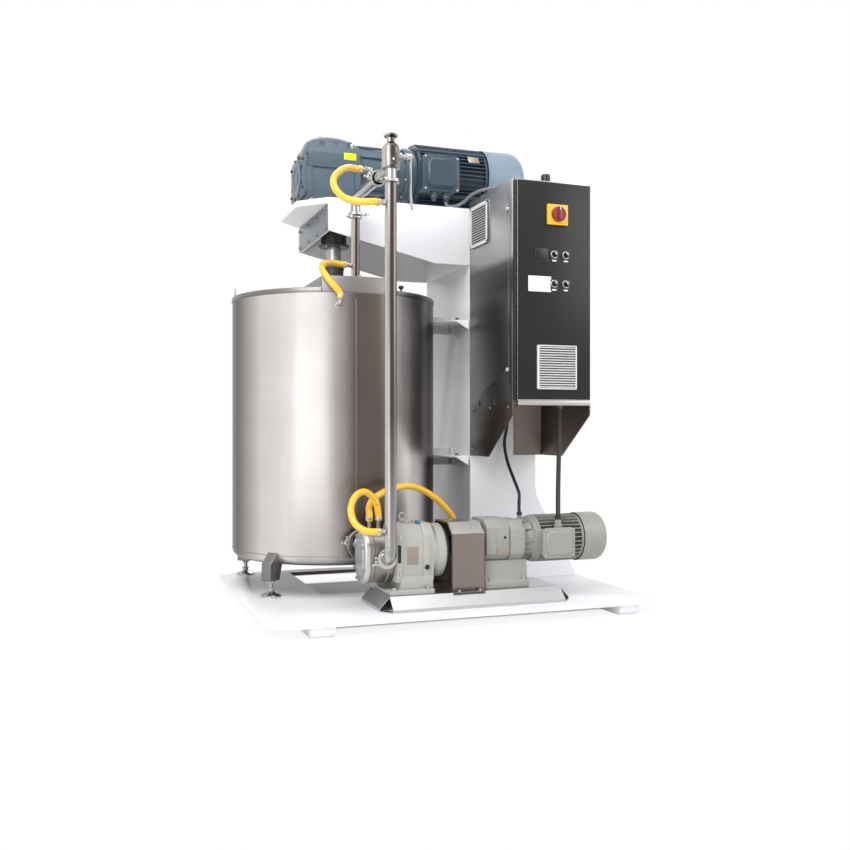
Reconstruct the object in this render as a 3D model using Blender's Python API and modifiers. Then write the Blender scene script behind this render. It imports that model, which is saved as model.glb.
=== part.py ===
"""Chocolate grinding machine: a jacketed tank with a stirred charge, its lobe pump and its control cabinet.

Lengths are in metres and +Z is up. The front is at -Y: the tank is at the left, the cabinet at the right.
The origin lies on the floor under the middle of the machine's footprint.
Places along X and Y are stated from the base plate's left and front edges, and heights from the floor.
"""

import math

import bmesh
import bpy
from mathutils import Matrix, Vector

# Running and seating clearances
GAP = 0.0003
RUN = 0.0004

# Base plate and the two skids under it
BASE_W = 1.774
BASE_BACK_MARGIN = 0.010
BASE_T = 0.020
BASE_CORNER = 0.072
SKID_W = 0.102
SKID_H = 0.045
SKID_WALL = 0.005
SKID_BEVEL = 0.020
SKID_LEFT = 0.170
SKID_RIGHT_INSET = 0.089
SKID_SETBACK = 0.015
WINDOW_LEFT = 0.365
WINDOW_RIGHT = 0.835
WINDOW_FRONT = 0.635
WINDOW_BACK_MARGIN = 0.095

# Tank
TANK_R = 0.507
TANK_FROM_LEFT = 0.525
TANK_FRONT = 0.513
TANK_BOTTOM = 0.207
TANK_TOP = 1.4625
JACKET_WALL = 0.003
JACKET_SPACE = 0.043
VESSEL_WALL = 0.004
KNUCKLE_R = 0.055
RIM_T = 0.004
LID_LIP = 0.003
LEG_STANDOFF = 0.017
LEG_TURN = 41.9
LEG_R = 0.030
LEG_TOP = 0.262
LEG_FOOT_TOP = 0.138
STEM_R = 0.012
PAD_R = 0.050
PAD_T = 0.010
TIE_HEIGHTS = (1.380, 0.690)
TIE_TALL = 0.090
TIE_T = 0.012
OUTLET_R = 0.038
OUTLET_JOINT_Y = 0.450
OUTLET_CONE_Y = 0.415

# Lid
BRIDGE_HALF = 0.180
BRIDGE_TALL = 0.0725
BRIDGE_WALL = 0.006
LID_T = 0.0205
LID_WALL = 0.003
LID_GAP = 0.003

# Agitator and what it passes through
SHAFT_R = 0.0375
SHAFT_BOTTOM = 0.275
SHAFT_INSERT = 0.085
SHAFT_CLEAR = 0.0015
PIN_R = 0.012
PIN_CLEAR = 0.062
PIN_LEVELS = 6
PIN_FIRST = 0.320
PIN_STEP = 0.180
HOUSING_R = 0.062
HOUSING_TALL = 0.120
LANTERN_R = 0.058
LANTERN_FLANGE_R = 0.078
LANTERN_TALL = 0.162
LANTERN_FLANGE_T = 0.012

# Column, arm and the plate that the gearbox stands on
COLUMN_LEFT = 1.162
COLUMN_RIGHT = 1.531
COLUMN_FRONT = 0.750
COLUMN_BACK = 1.380
COLUMN_TOP = 1.947
STEEL_WALL = 0.008
FLARE_TOP = 0.530
FLARE_BEND = 0.475
FLARE_REACH = 0.235
FLARE_T = 0.012
ARM_LEFT = 0.429
ARM_END_TALL = 0.160
ARM_KNEE = 0.973
ARM_ROOT_TALL = 0.286
ARM_TOP_T = 0.030
NOSE_REACH = 0.129
NOSE_CORNER = 0.134

# Gearbox and the agitator's motor
GEAR_LEFT = 0.355
GEAR_RIGHT = 0.625
GEAR_HALF = 0.150
GEAR_CASE_TALL = 0.218
GEAR_SHOULDER_TALL = 0.082
GEAR_DOME_TALL = 0.065
GEAR_CAP_R = 0.122
GEAR_CAP_T = 0.025
GEAR_CAP_LIFT = 0.153
MOTOR_LIFT = 0.208
NECK_R = 0.118
FLANGE_R = 0.138
FLANGE_LEFT = 0.800
MOTOR_LEFT = 0.930
MOTOR_RIGHT = 1.316
MOTOR_R = 0.165
MOTOR_CORE_R = 0.143
MOTOR_FINS = 30
MOTOR_SHAFT_R = 0.019
COWL_R = 0.168
COWL_RIGHT = 1.545
COWL_DOME = 0.075
COWL_WALL = 0.003
FAN_BLADES = 7
BOX_LEFT = 0.918
BOX_RIGHT = 1.116
BOX_DROP = 0.130
BOX_RISE = 0.056
BOX_REACH = 0.250
BOX_LID_T = 0.018

# Chocolate line at the tank's front: riser, top valve, branch and drop pipe
RISER_X = 0.540
RISER_Y = 0.130
PIPE_R = 0.0254
PIPE_WALL = 0.0016
RISER_TOP = 1.880
BRANCH_Z = 1.935
BRANCH_R = 0.024
VALVE_BOTTOM = 1.968
VALVE_R = 0.0365
VALVE_TOP = 2.010
VALVE_NECK_R = 0.017
FERRULE_R = 0.0295
FERRULE_T = 0.012
SPOUT_TOP = 2.082
VALVE_AXIS_Z = 1.988
LEVER_X = 0.628
LEVER_LENGTH = 0.225
LEVER_W = 0.020
LEVER_T = 0.005
STEM_VALVE_R = 0.008
DROP_Y = 0.670
DROP_R = 0.021
DROP_TOP = 1.854
DROP_BOTTOM = 1.490

# Lobe pump
PUMP_Y = 0.275
PUMP_Z = 0.280
PUMP_HALF_W = 0.085
PUMP_HALF_H = 0.113
COVER_LEFT = 0.447
HEAD_LEFT = 0.469
HEAD_RIGHT = 0.579
ROTOR_SPACING = 0.075
ROTOR_LOBES = 3
CHAMBER_CLEAR = 0.0012
LOBE_CLEAR = 0.0009
ROTOR_SHAFT_R = 0.012
HEAD_BACK_WALL = 0.012
PORT_BOSS_R = 0.036
PORT_OUT = 0.095
PORT_BORE_R = 0.0205
GEAR_CASE_RIGHT = 0.750
CARRIER_R = 0.118
CARRIER_Z = 0.300
CARRIER_RIGHT = 0.815
GEAR_CASE_HALF = 0.110
GEAR_CASE_BOTTOM = 0.178
GEAR_CASE_SHOULDER = 0.380
GEAR_CASE_TOP = 0.430
GEAR_CASE_CROWN = 0.060
FOOT_LEFT = 0.545
FOOT_RIGHT = 0.745
FOOT_HALF = 0.130
TRAY_LEFT = 0.492
TRAY_RIGHT = 1.388
TRAY_FRONT = 0.083
TRAY_BACK = 0.460
TRAY_TOP = 0.128
TRAY_SLOPE_X = 0.045
TRAY_SLOPE_Y = 0.052
TRAY_WALL = 0.004

# Pump drive: guarded coupling, reducer and motor
GUARD_LEFT = 0.824
GUARD_RIGHT = 0.980
GUARD_HALF = 0.130
GUARD_SHOULDER = 0.380
GUARD_TOP = 0.426
GUARD_CROWN = 0.075
GUARD_WALL = 0.003
COUPLING_R = 0.042
COUPLING_LEFT = 0.862
COUPLING_RIGHT = 0.945
REDUCER_LEFT = 0.984
REDUCER_RIGHT = 1.212
REDUCER_R = 0.097
REDUCER_BLOCK_TOP = 0.250
PUMP_MOTOR_Z = 0.332
PUMP_MOTOR_LEFT = 1.2588
PUMP_MOTOR_RIGHT = 1.490
PUMP_MOTOR_R = 0.109
PUMP_MOTOR_CORE_R = 0.093
PUMP_MOTOR_FINS = 26
PUMP_COWL_R = 0.112
PUMP_COWL_RIGHT = 1.615
PUMP_COWL_DOME = 0.022
PUMP_BOX_LEFT = 1.262
PUMP_BOX_RIGHT = 1.425
PUMP_BOX_FRONT = 0.135
PUMP_BOX_BOTTOM = 0.253
PUMP_BOX_TOP = 0.390
PUMP_GLAND_X = 1.355
PUMP_GLAND_Y = 0.175
PUMP_GLAND_TALL = 0.046
REDUCER_GLAND_X = 1.235
REDUCER_GLAND_Y = 0.330
REDUCER_GLAND_TOP = 0.445
REDUCER_GLAND_R = 0.011

# Control cabinet, the brackets under it and its controls
CABINET_W = 0.404
CABINET_FRONT = 0.270
CABINET_BOTTOM = 0.960
CABINET_TOP = 1.979
SHEET = 0.003
FRAME_W = 0.024
SIDE_LIP = 0.020
DOOR_T = 0.022
DOOR_SETBACK = 0.025
DOOR_CLEAR = 0.002
DOOR_BOTTOM = 0.967
DOOR_SKIN = 0.003
GRILLE = 0.204
GRILLE_ASIDE = 0.0105
GRILLE_Z = 1.120
GRILLE_T = 0.010
VENT_Y = 0.612
VENT_Z = 1.836
SWITCH_ASIDE = 0.0115
SWITCH_Z = 1.826
SWITCH_R = 0.034
SWITCH_STEM_R = 0.006
SWITCH_PLATE_T = 0.012
SWITCH_KNOB_T = 0.026
SELECTOR_ASIDES = (-0.0015, 0.0585)
SELECTOR_ZS = (1.642, 1.507)
SELECTOR_R = 0.0135
SELECTOR_T = 0.022
LOCK_Y = 0.304
LOCK_ZS = (1.848, 1.107)
LOCK_R = 0.012
LOCK_OUT = 0.008
TOP_CAP_ASIDE = -0.0035
TOP_CAP_Y = 0.330
TOP_CAP_R = 0.020
TOP_CAP_TALL = 0.046
TOP_GLAND_INSET = 0.093
TOP_GLAND_FRONT = 0.400
TOP_GLAND_BACK = 0.440
TOP_GLAND_R = 0.0185
TOP_GLAND_LIFT = 0.018
BRACKET_TALL = 0.260
BRACKET_NOSE_TALL = 0.060
BRACKET_HEEL = 0.227
BRACKET_T = 0.006
BRACKET_BACK_W = 0.159
BRACKET_GLAND_TALL = 0.030
CONDUIT_GLAND_INSET = 0.136
CONDUIT_GLAND_Y = 0.300
CONTROL_GLAND_INSET = 0.178
CONTROL_GLAND_Y = 0.680
CONTROL_GLAND_R = 0.012

# Water hoses, cables and the bosses that they end in
HOSE_R = 0.015
NIPPLE_R = 0.010
CONDUIT_R = 0.0105
CABLE_R = 0.008
GLAND_R = 0.0155
STUB = 0.008
WALL_NIPPLE_X = 0.4143
WALL_NIPPLE_Y = 0.485
WALL_NIPPLE_Z = 1.395
WALL_NIPPLE_TALL = 0.030
RISER_NIPPLE_DROP = 0.092
RISER_NIPPLE_LOW_Z = 0.405
RISER_NIPPLE_REACH = 0.045
BRANCH_NIPPLE_Y = 0.430
BRANCH_NIPPLE_Z = 2.003
BRANCH_NIPPLE_REACH = 0.035
DROP_NIPPLE_Z = 1.614
DROP_NIPPLE_REACH = 0.042
HEAD_NIPPLE_XS = (0.530, 0.490)
HEAD_NIPPLE_TOP = 0.437
DECK_NIPPLE_X = 1.030
DECK_NIPPLE_Y = 0.530
DECK_NIPPLE_TALL = 0.045

# Facets round a full turn
TANK_SIDES = 40
SIDES = 20
FEW_SIDES = 10
SHAFT_SIDES = 16

# Worked-out sizes. A bore's flats clear the corners of the shaft that turns in it.
BORE_FLAT = math.cos(math.pi / SHAFT_SIDES)
AGITATOR_BORE_R = (SHAFT_R + RUN) / math.cos(math.pi / SIDES)
ROTOR_BORE_R = (ROTOR_SHAFT_R + RUN) / BORE_FLAT
MOTOR_BORE_R = (MOTOR_SHAFT_R + RUN) / BORE_FLAT
VALVE_BORE_R = (STEM_VALVE_R + RUN) / BORE_FLAT
DECK = SKID_H + BASE_T
RIM_R = TANK_R + LID_LIP
SKID_RIGHT = BASE_W - SKID_RIGHT_INSET - SKID_W
TANK_FROM_FRONT = TANK_FRONT + TANK_R
X0 = -BASE_W / 2
Y0 = -(TANK_FROM_FRONT + RIM_R) / 2
TANK_X = X0 + TANK_FROM_LEFT
TANK_Y = Y0 + TANK_FROM_FRONT
VESSEL_R = TANK_R - JACKET_WALL - JACKET_SPACE
VESSEL_BOTTOM = TANK_BOTTOM + JACKET_WALL + JACKET_SPACE / 2
LEG_OUT_X = (TANK_R + LEG_STANDOFF) * math.cos(math.radians(LEG_TURN))
LEG_OUT_Y = (TANK_R + LEG_STANDOFF) * math.sin(math.radians(LEG_TURN))
BASE_D = TANK_FROM_FRONT + LEG_OUT_Y + PAD_R + BASE_BACK_MARGIN
WINDOW_BACK = BASE_D - WINDOW_BACK_MARGIN
PIN_REACH = VESSEL_R - VESSEL_WALL - PIN_CLEAR
BRIDGE_TOP = TANK_TOP + BRIDGE_TALL
HOUSING_TOP = BRIDGE_TOP + HOUSING_TALL
DRIVE_Z = PUMP_Z + ROTOR_SPACING / 2
ARM_MIDDLE_TOP = COLUMN_TOP - ARM_TOP_T
ARM_END_BOTTOM = COLUMN_TOP - ARM_END_TALL
ARM_ROOT_BOTTOM = COLUMN_TOP - ARM_ROOT_TALL
LANTERN_BOTTOM = ARM_MIDDLE_TOP - LANTERN_TALL
GEAR_LEDGE = COLUMN_TOP + GEAR_CASE_TALL
GEAR_SHOULDER = GEAR_LEDGE + GEAR_SHOULDER_TALL
GEAR_DOME_TOP = GEAR_SHOULDER + GEAR_DOME_TALL
GEAR_CAP_Z = COLUMN_TOP + GEAR_CAP_LIFT
MOTOR_Z = COLUMN_TOP + MOTOR_LIFT
RISER_NIPPLE_TOP_Z = RISER_TOP - RISER_NIPPLE_DROP
BOX_FRONT = TANK_FROM_FRONT - BOX_REACH
BOX_BOTTOM = MOTOR_Z - BOX_DROP
BOX_TOP = MOTOR_Z + BOX_RISE
FRONT_FACE_Y = Y0 + CABINET_FRONT - DOOR_T
CABINET_RIGHT = COLUMN_LEFT + CABINET_W
DOOR_LEFT = COLUMN_LEFT + DOOR_SETBACK
DOOR_RIGHT = CABINET_RIGHT - DOOR_CLEAR
DOOR_MIDDLE = (DOOR_LEFT + DOOR_RIGHT) / 2
GRILLE_X = DOOR_MIDDLE + GRILLE_ASIDE
SWITCH_X = DOOR_MIDDLE + SWITCH_ASIDE
TOP_CAP_X = DOOR_MIDDLE + TOP_CAP_ASIDE
TOP_GLAND_X = COLUMN_LEFT + TOP_GLAND_INSET
BRACKET_BOTTOM = CABINET_BOTTOM - BRACKET_TALL
BRACKET_NOSE = CABINET_BOTTOM - BRACKET_NOSE_TALL
BRACKET_BACK_LEFT = CABINET_RIGHT - BRACKET_BACK_W
CONDUIT_GLAND_X = CABINET_RIGHT - CONDUIT_GLAND_INSET
CONTROL_GLAND_X = COLUMN_LEFT + CONTROL_GLAND_INSET

PARTS = "chocolate_grinding_machine"
CUTTERS = "cutters"


def clear_scene():
    """Empties the scene and makes the two collections."""
    for obj in list(bpy.data.objects):
        bpy.data.objects.remove(obj, do_unlink=True)
    for name in (PARTS, CUTTERS):
        collection = bpy.data.collections.new(name)
        bpy.context.scene.collection.children.link(collection)
    bpy.data.collections[CUTTERS].hide_render = True


def finish_of(name, colour, roughness, metallic):
    """A plain surface in the colour, roughness and metallic value given."""
    material = bpy.data.materials.new(name)
    material.use_nodes = True
    shader = material.node_tree.nodes["Principled BSDF"]
    shader.inputs["Base Color"].default_value = (*colour, 1.0)
    shader.inputs["Roughness"].default_value = roughness
    shader.inputs["Metallic"].default_value = metallic
    material.diffuse_color = (*colour, 1.0)
    return material


def new_object(name, data):
    obj = bpy.data.objects.new(name, data)
    bpy.data.collections[PARTS].objects.link(obj)
    return obj


def part(obj, name, colour, roughness=0.4, metallic=0.0):
    """Names a finished piece and gives it its own material."""
    obj.name = name
    obj.data.name = name
    obj.data.materials.clear()
    obj.data.materials.append(finish_of(name, colour, roughness, metallic))
    if obj.type == "MESH":
        obj.data.shade_smooth()
        obj.data.set_sharp_from_angle(angle=math.radians(35))
    return obj


def bevelled(obj, width, segments=1):
    modifier = obj.modifiers.new("rounded", "BEVEL")
    modifier.width = width
    modifier.segments = segments
    modifier.limit_method = "ANGLE"
    modifier.angle_limit = math.radians(40)
    return obj


def combine(obj, other, operation):
    """Adds a Boolean with another solid, which becomes a guide that isn't rendered."""
    modifier = obj.modifiers.new(operation.lower(), "BOOLEAN")
    modifier.operation = operation
    modifier.solver = "EXACT"
    modifier.object = other
    bpy.data.collections[PARTS].objects.unlink(other)
    bpy.data.collections[CUTTERS].objects.link(other)
    other.hide_render = True
    other.display_type = "WIRE"
    return obj


def cut(obj, *others):
    for other in others:
        combine(obj, other, "DIFFERENCE")
    return obj


def join(obj, *others):
    for other in others:
        combine(obj, other, "UNION")
    return obj


def box(low, high, round_by=0.0):
    """A box between two corners."""
    mesh = bpy.data.meshes.new("box")
    shape = bmesh.new()
    bmesh.ops.create_cube(shape, size=1.0)
    size = Vector(high) - Vector(low)
    bmesh.ops.scale(shape, vec=size, verts=shape.verts)
    shape.to_mesh(mesh)
    shape.free()
    obj = new_object("box", mesh)
    obj.location = (Vector(low) + Vector(high)) / 2
    if round_by:
        bevelled(obj, round_by)
    return obj


def frustum(low, high, inset_x, inset_y):
    """A box whose top is smaller by an inset on each side."""
    obj = box(low, high)
    half = (Vector(high) - Vector(low)) / 2
    for vertex in obj.data.vertices:
        if vertex.co.z > 0:
            vertex.co.x *= (half.x - inset_x) / half.x
            vertex.co.y *= (half.y - inset_y) / half.y
    return obj


def rod(start, end, radius, end_radius=None, sides=SIDES):
    """A cylinder, or a cone where the end radius differs, between two points."""
    start = Vector(start)
    end = Vector(end)
    along = end - start
    mesh = bpy.data.meshes.new("rod")
    shape = bmesh.new()
    bmesh.ops.create_cone(
        shape,
        cap_ends=True,
        segments=sides,
        radius1=radius,
        radius2=radius if end_radius is None else end_radius,
        depth=along.length,
    )
    shape.to_mesh(mesh)
    shape.free()
    obj = new_object("rod", mesh)
    obj.rotation_mode = "QUATERNION"
    obj.rotation_quaternion = Vector((0, 0, 1)).rotation_difference(along)
    obj.location = (start + end) / 2
    return obj


def turned(profile, base, along=(0, 0, 1), closed=False, sides=SIDES):
    """A turned solid: its profile holds (radius, height) points, down the outer side from top to bottom."""
    mesh = bpy.data.meshes.new("turned")
    count = len(profile)
    points = [(radius, 0.0, height) for radius, height in profile]
    edges = [(i, i + 1) for i in range(count - 1)]
    if closed:
        edges.append((count - 1, 0))
    mesh.from_pydata(points, edges, [])
    obj = new_object("turned", mesh)
    screw = obj.modifiers.new("turn", "SCREW")
    screw.steps = sides
    screw.render_steps = sides
    screw.use_merge_vertices = True
    screw.merge_threshold = 0.00001
    obj.rotation_mode = "QUATERNION"
    obj.rotation_quaternion = Vector((0, 0, 1)).rotation_difference(Vector(along))
    obj.location = base
    return obj


def as_mesh(curve):
    """Turns a curve object into a welded mesh object with the same place."""
    bpy.context.view_layer.update()
    evaluated = curve.evaluated_get(bpy.context.evaluated_depsgraph_get())
    mesh = bpy.data.meshes.new_from_object(evaluated)
    shape = bmesh.new()
    shape.from_mesh(mesh)
    bmesh.ops.remove_doubles(shape, verts=shape.verts, dist=0.00001)
    bmesh.ops.recalc_face_normals(shape, faces=shape.faces)
    shape.to_mesh(mesh)
    shape.free()
    obj = new_object(curve.name, mesh)
    obj.matrix_world = curve.matrix_world.copy()
    bpy.data.objects.remove(curve, do_unlink=True)
    return obj


def plane_matrix(plane, level):
    """The frame of a flat outline: its points are (x, y), (x, z) or (y, z) at a level on the third axis."""
    if plane == "XY":
        columns = (Vector((1, 0, 0)), Vector((0, 1, 0)), Vector((0, 0, 1)))
    elif plane == "XZ":
        columns = (Vector((1, 0, 0)), Vector((0, 0, 1)), Vector((0, -1, 0)))
    else:
        columns = (Vector((0, 1, 0)), Vector((0, 0, 1)), Vector((1, 0, 0)))
    matrix = Matrix.Identity(4)
    for index, column in enumerate(columns):
        for row in range(3):
            matrix[row][index] = column[row]
    matrix.translation = {"XY": Vector((0, 0, level)), "XZ": Vector((0, level, 0))}.get(
        plane, Vector((level, 0, 0))
    )
    return matrix


def prism(outline, plane, start, end, holes=()):
    """A flat outline, with any holes, given a thickness from one level to another."""
    data = bpy.data.curves.new("prism", "CURVE")
    data.dimensions = "2D"
    data.fill_mode = "BOTH"
    data.extrude = abs(end - start) / 2
    for loop in (outline, *holes):
        spline = data.splines.new("POLY")
        spline.points.add(len(loop) - 1)
        for point, (u, v) in zip(spline.points, loop):
            point.co = (u, v, 0.0, 1.0)
        spline.use_cyclic_u = True
    curve = new_object("prism", data)
    curve.matrix_world = plane_matrix(plane, (start + end) / 2)
    return as_mesh(curve)


def circle(centre_u, centre_v, radius, sides=SIDES):
    """Points of a circle in an outline's plane."""
    turn = 2 * math.pi / sides
    return [
        (centre_u + radius * math.cos(i * turn), centre_v + radius * math.sin(i * turn))
        for i in range(sides)
    ]


def arc(centre, radius, start, end, count):
    """Points of an arc, with its ends, at angles in radians."""
    step = (end - start) / (count - 1)
    return [
        (centre[0] + radius * math.cos(start + i * step), centre[1] + radius * math.sin(start + i * step))
        for i in range(count)
    ]


def smooth_route(points, spacing):
    """Points at even spacing along a smooth curve through a route's own points."""
    knots = [Vector(p) for p in points]
    padded = [2 * knots[0] - knots[1], *knots, 2 * knots[-1] - knots[-2]]
    fine = []
    for a, b, c, d in zip(padded, padded[1:], padded[2:], padded[3:]):
        for i in range(24):
            t = i / 24
            fine.append(
                0.5
                * (
                    2 * b
                    + (c - a) * t
                    + (2 * a - 5 * b + 4 * c - d) * t * t
                    + (3 * b - a - 3 * c + d) * t * t * t
                )
            )
    fine.append(knots[-1])
    lengths = [(q - p).length for p, q in zip(fine, fine[1:])]
    count = max(2, round(sum(lengths) / spacing))
    step = sum(lengths) / count
    even = [fine[0]]
    travelled = 0.0
    for p, q, length in zip(fine, fine[1:], lengths):
        while len(even) < count and travelled + length >= step * len(even):
            even.append(p.lerp(q, (step * len(even) - travelled) / length))
        travelled += length
    even.append(fine[-1])
    return even


def tube(points, radius, resolution=2, spacing=0.05):
    """A round tube along a smooth route, with closed ends that lie square to its first and last runs."""
    start = Vector(points[0])
    end = Vector(points[-1])
    first = start + (Vector(points[1]) - start).normalized() * STUB
    last = end + (Vector(points[-2]) - end).normalized() * STUB
    route = [start, *smooth_route([first, *points[1:-1], last], spacing), end]
    data = bpy.data.curves.new("tube", "CURVE")
    data.dimensions = "3D"
    data.bevel_depth = radius
    data.bevel_resolution = resolution
    data.use_fill_caps = True
    spline = data.splines.new("POLY")
    spline.points.add(len(route) - 1)
    for point, place in zip(spline.points, route):
        point.co = (*place, 1.0)
    return new_object("tube", data)


def bent_pipe(points, radius, wall, reach=0.002):
    """A hollow pipe with square ends along straight runs and bends."""
    outer = as_mesh(pipe_curve(points, radius))
    longer = [Vector(p) for p in points]
    longer[0] += (longer[0] - longer[1]).normalized() * reach
    longer[-1] += (longer[-1] - longer[-2]).normalized() * reach
    return outer, as_mesh(pipe_curve(longer, radius - wall))


def pipe_curve(points, radius):
    data = bpy.data.curves.new("pipe", "CURVE")
    data.dimensions = "3D"
    data.bevel_depth = radius
    data.bevel_resolution = 3
    data.use_fill_caps = True
    spline = data.splines.new("POLY")
    spline.points.add(len(points) - 1)
    for point, place in zip(spline.points, points):
        point.co = (*place, 1.0)
    return new_object("pipe", data)


def bend(before, corner, after, radius, count=4):
    """The points of a right-angled pipe bend between two straight runs."""
    corner = Vector(corner)
    into = (corner - Vector(before)).normalized()
    out = (Vector(after) - corner).normalized()
    centre = corner - into * radius + out * radius
    points = []
    for i in range(count + 1):
        turn = math.pi / 2 * i / count
        points.append(centre - out * radius * math.cos(turn) + into * radius * math.sin(turn))
    return points


def pivot(name, place, *children):
    """An empty on a joint's axis, which carries the pieces that turn about it."""
    empty = new_object(name, None)
    empty.location = place
    for child in children:
        child.parent = empty
        child.matrix_parent_inverse = Matrix.Translation(place).inverted()
    return empty


def px(distance):
    """The X place at a distance from the base plate's left edge."""
    return X0 + distance


def py(distance):
    """The Y place at a distance from the base plate's front edge."""
    return Y0 + distance


def make_base():
    """The base plate with its window under the tank, and the two skids that it stands on."""
    right = X0 + BASE_W
    back = Y0 + BASE_D
    c = BASE_CORNER
    outline = [
        (X0 + c, Y0),
        (right - c, Y0),
        (right, Y0 + c),
        (right, back - c),
        (right - c, back),
        (X0 + c, back),
        (X0, back - c),
        (X0, Y0 + c),
    ]
    window = [
        (px(WINDOW_LEFT), py(WINDOW_FRONT)),
        (px(WINDOW_RIGHT), py(WINDOW_FRONT)),
        (px(WINDOW_RIGHT), py(WINDOW_BACK)),
        (px(WINDOW_LEFT), py(WINDOW_BACK)),
    ]
    plate = prism(outline, "XY", SKID_H, DECK, [window])
    nipple = rod(
        (px(DECK_NIPPLE_X), py(DECK_NIPPLE_Y), DECK - BASE_T / 2),
        (px(DECK_NIPPLE_X), py(DECK_NIPPLE_Y), DECK + DECK_NIPPLE_TALL),
        NIPPLE_R,
        sides=FEW_SIDES,
    )
    part(join(plate, nipple), "base_plate", (0.85, 0.85, 0.87), 0.35)
    front = Y0 + SKID_SETBACK
    end = back - SKID_SETBACK
    top = SKID_H - GAP
    side = [
        (front, top),
        (front, SKID_BEVEL),
        (front + SKID_BEVEL, 0.0),
        (end - SKID_BEVEL, 0.0),
        (end, SKID_BEVEL),
        (end, top),
    ]
    for name, left in (("skid_left", SKID_LEFT), ("skid_right", SKID_RIGHT)):
        skid = prism(side, "YZ", px(left), px(left) + SKID_W)
        hollow = box(
            (px(left) + SKID_WALL, front + SKID_BEVEL + SKID_WALL, SKID_WALL),
            (px(left) + SKID_W - SKID_WALL, end + SKID_BEVEL, top - SKID_WALL),
        )
        part(cut(skid, hollow), name, (0.80, 0.80, 0.82), 0.4)


def make_column():
    """The box column with its flared foot plates, its cable window and two ties that steady the tank."""
    left = px(COLUMN_LEFT)
    right = px(COLUMN_RIGHT)
    front = py(COLUMN_FRONT)
    back = py(COLUMN_BACK)
    foot = DECK + GAP
    column = box((left, front, foot), (right, back, COLUMN_TOP))
    hollow = box(
        (left + STEEL_WALL, front + STEEL_WALL, foot + STEEL_WALL),
        (right - STEEL_WALL, back - STEEL_WALL, COLUMN_TOP - STEEL_WALL),
    )
    window = box(
        (left + 4 * STEEL_WALL, front - STEEL_WALL, CABINET_BOTTOM + 0.10),
        (right - 4 * STEEL_WALL, front + 2 * STEEL_WALL, CABINET_BOTTOM + 0.20),
    )
    root = right - STEEL_WALL / 2
    flare = [
        (root, foot),
        (right + FLARE_REACH, foot),
        (right + FLARE_REACH, foot + FLARE_T),
        (right + FLARE_T, FLARE_BEND),
        (right, FLARE_TOP),
        (root, FLARE_TOP),
    ]
    front_flare = prism(flare, "XZ", front, front + FLARE_T)
    back_flare = prism(flare, "XZ", back - FLARE_T, back)
    join(column, front_flare, back_flare)
    for height in TIE_HEIGHTS:
        tie = box(
            (TANK_X + 0.8 * TANK_R, TANK_Y - TIE_T / 2, height - TIE_TALL / 2),
            (left + STEEL_WALL / 2, TANK_Y + TIE_T / 2, height + TIE_TALL / 2),
        )
        pad = box(
            (left - TIE_T, TANK_Y - TIE_TALL / 2, height - TIE_TALL / 2),
            (left + STEEL_WALL / 2, TANK_Y + TIE_TALL / 2, height + TIE_TALL / 2),
        )
        round_tank = rod(
            (TANK_X, TANK_Y, height - TIE_TALL),
            (TANK_X, TANK_Y, height + TIE_TALL),
            TANK_R + GAP,
            sides=TANK_SIDES,
        )
        join(column, cut(tie, round_tank), pad)
    part(cut(column, hollow, window), "column", (0.85, 0.85, 0.87), 0.35)


def make_arm():
    """The tapered arm over the tank, open below, with the thick plate that carries the gearbox."""
    left = px(ARM_LEFT)
    right = px(COLUMN_LEFT) - GAP
    front = py(COLUMN_FRONT)
    back = py(COLUMN_BACK)
    knee = px(ARM_KNEE)
    side = [
        (left, COLUMN_TOP),
        (left, ARM_END_BOTTOM),
        (knee, ARM_ROOT_BOTTOM),
        (right, ARM_ROOT_BOTTOM),
        (right, COLUMN_TOP),
    ]
    arm = prism(side, "XZ", front, back)
    nose = [
        (left + STEEL_WALL / 2, front),
        (left, front),
        (left - NOSE_REACH, front + NOSE_CORNER),
        (left - NOSE_REACH, back - NOSE_CORNER),
        (left, back),
        (left + STEEL_WALL / 2, back),
    ]
    join(arm, prism(nose, "XY", ARM_MIDDLE_TOP, COLUMN_TOP))
    hollow = box(
        (left + STEEL_WALL, front + STEEL_WALL, ARM_ROOT_BOTTOM - 0.05),
        (right - STEEL_WALL, back - STEEL_WALL, ARM_MIDDLE_TOP),
    )
    shaft_hole = rod(
        (TANK_X, TANK_Y, ARM_MIDDLE_TOP - 0.02),
        (TANK_X, TANK_Y, COLUMN_TOP + 0.02),
        SHAFT_R + SHAFT_CLEAR,
    )
    part(cut(arm, hollow, shaft_hole), "arm", (0.85, 0.85, 0.87), 0.35)


def knuckle(radius, bottom, corner, count=3):
    """A rounded bottom corner as (radius, height) points, from the wall to the bottom."""
    points = []
    for i in range(count + 1):
        turn = math.pi / 2 * i / count
        out = radius - corner + corner * math.cos(turn)
        points.append((out, bottom + corner - corner * math.sin(turn)))
    return points


def tank_outer_profile(clearance):
    """The jacket's outside with a clearance, from its axis at the top to its axis at the bottom."""
    return [
        (0.0, TANK_TOP),
        (TANK_R + clearance, TANK_TOP),
        *knuckle(TANK_R + clearance, TANK_BOTTOM - clearance, KNUCKLE_R + clearance),
        (0.0, TANK_BOTTOM - clearance),
    ]


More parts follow.
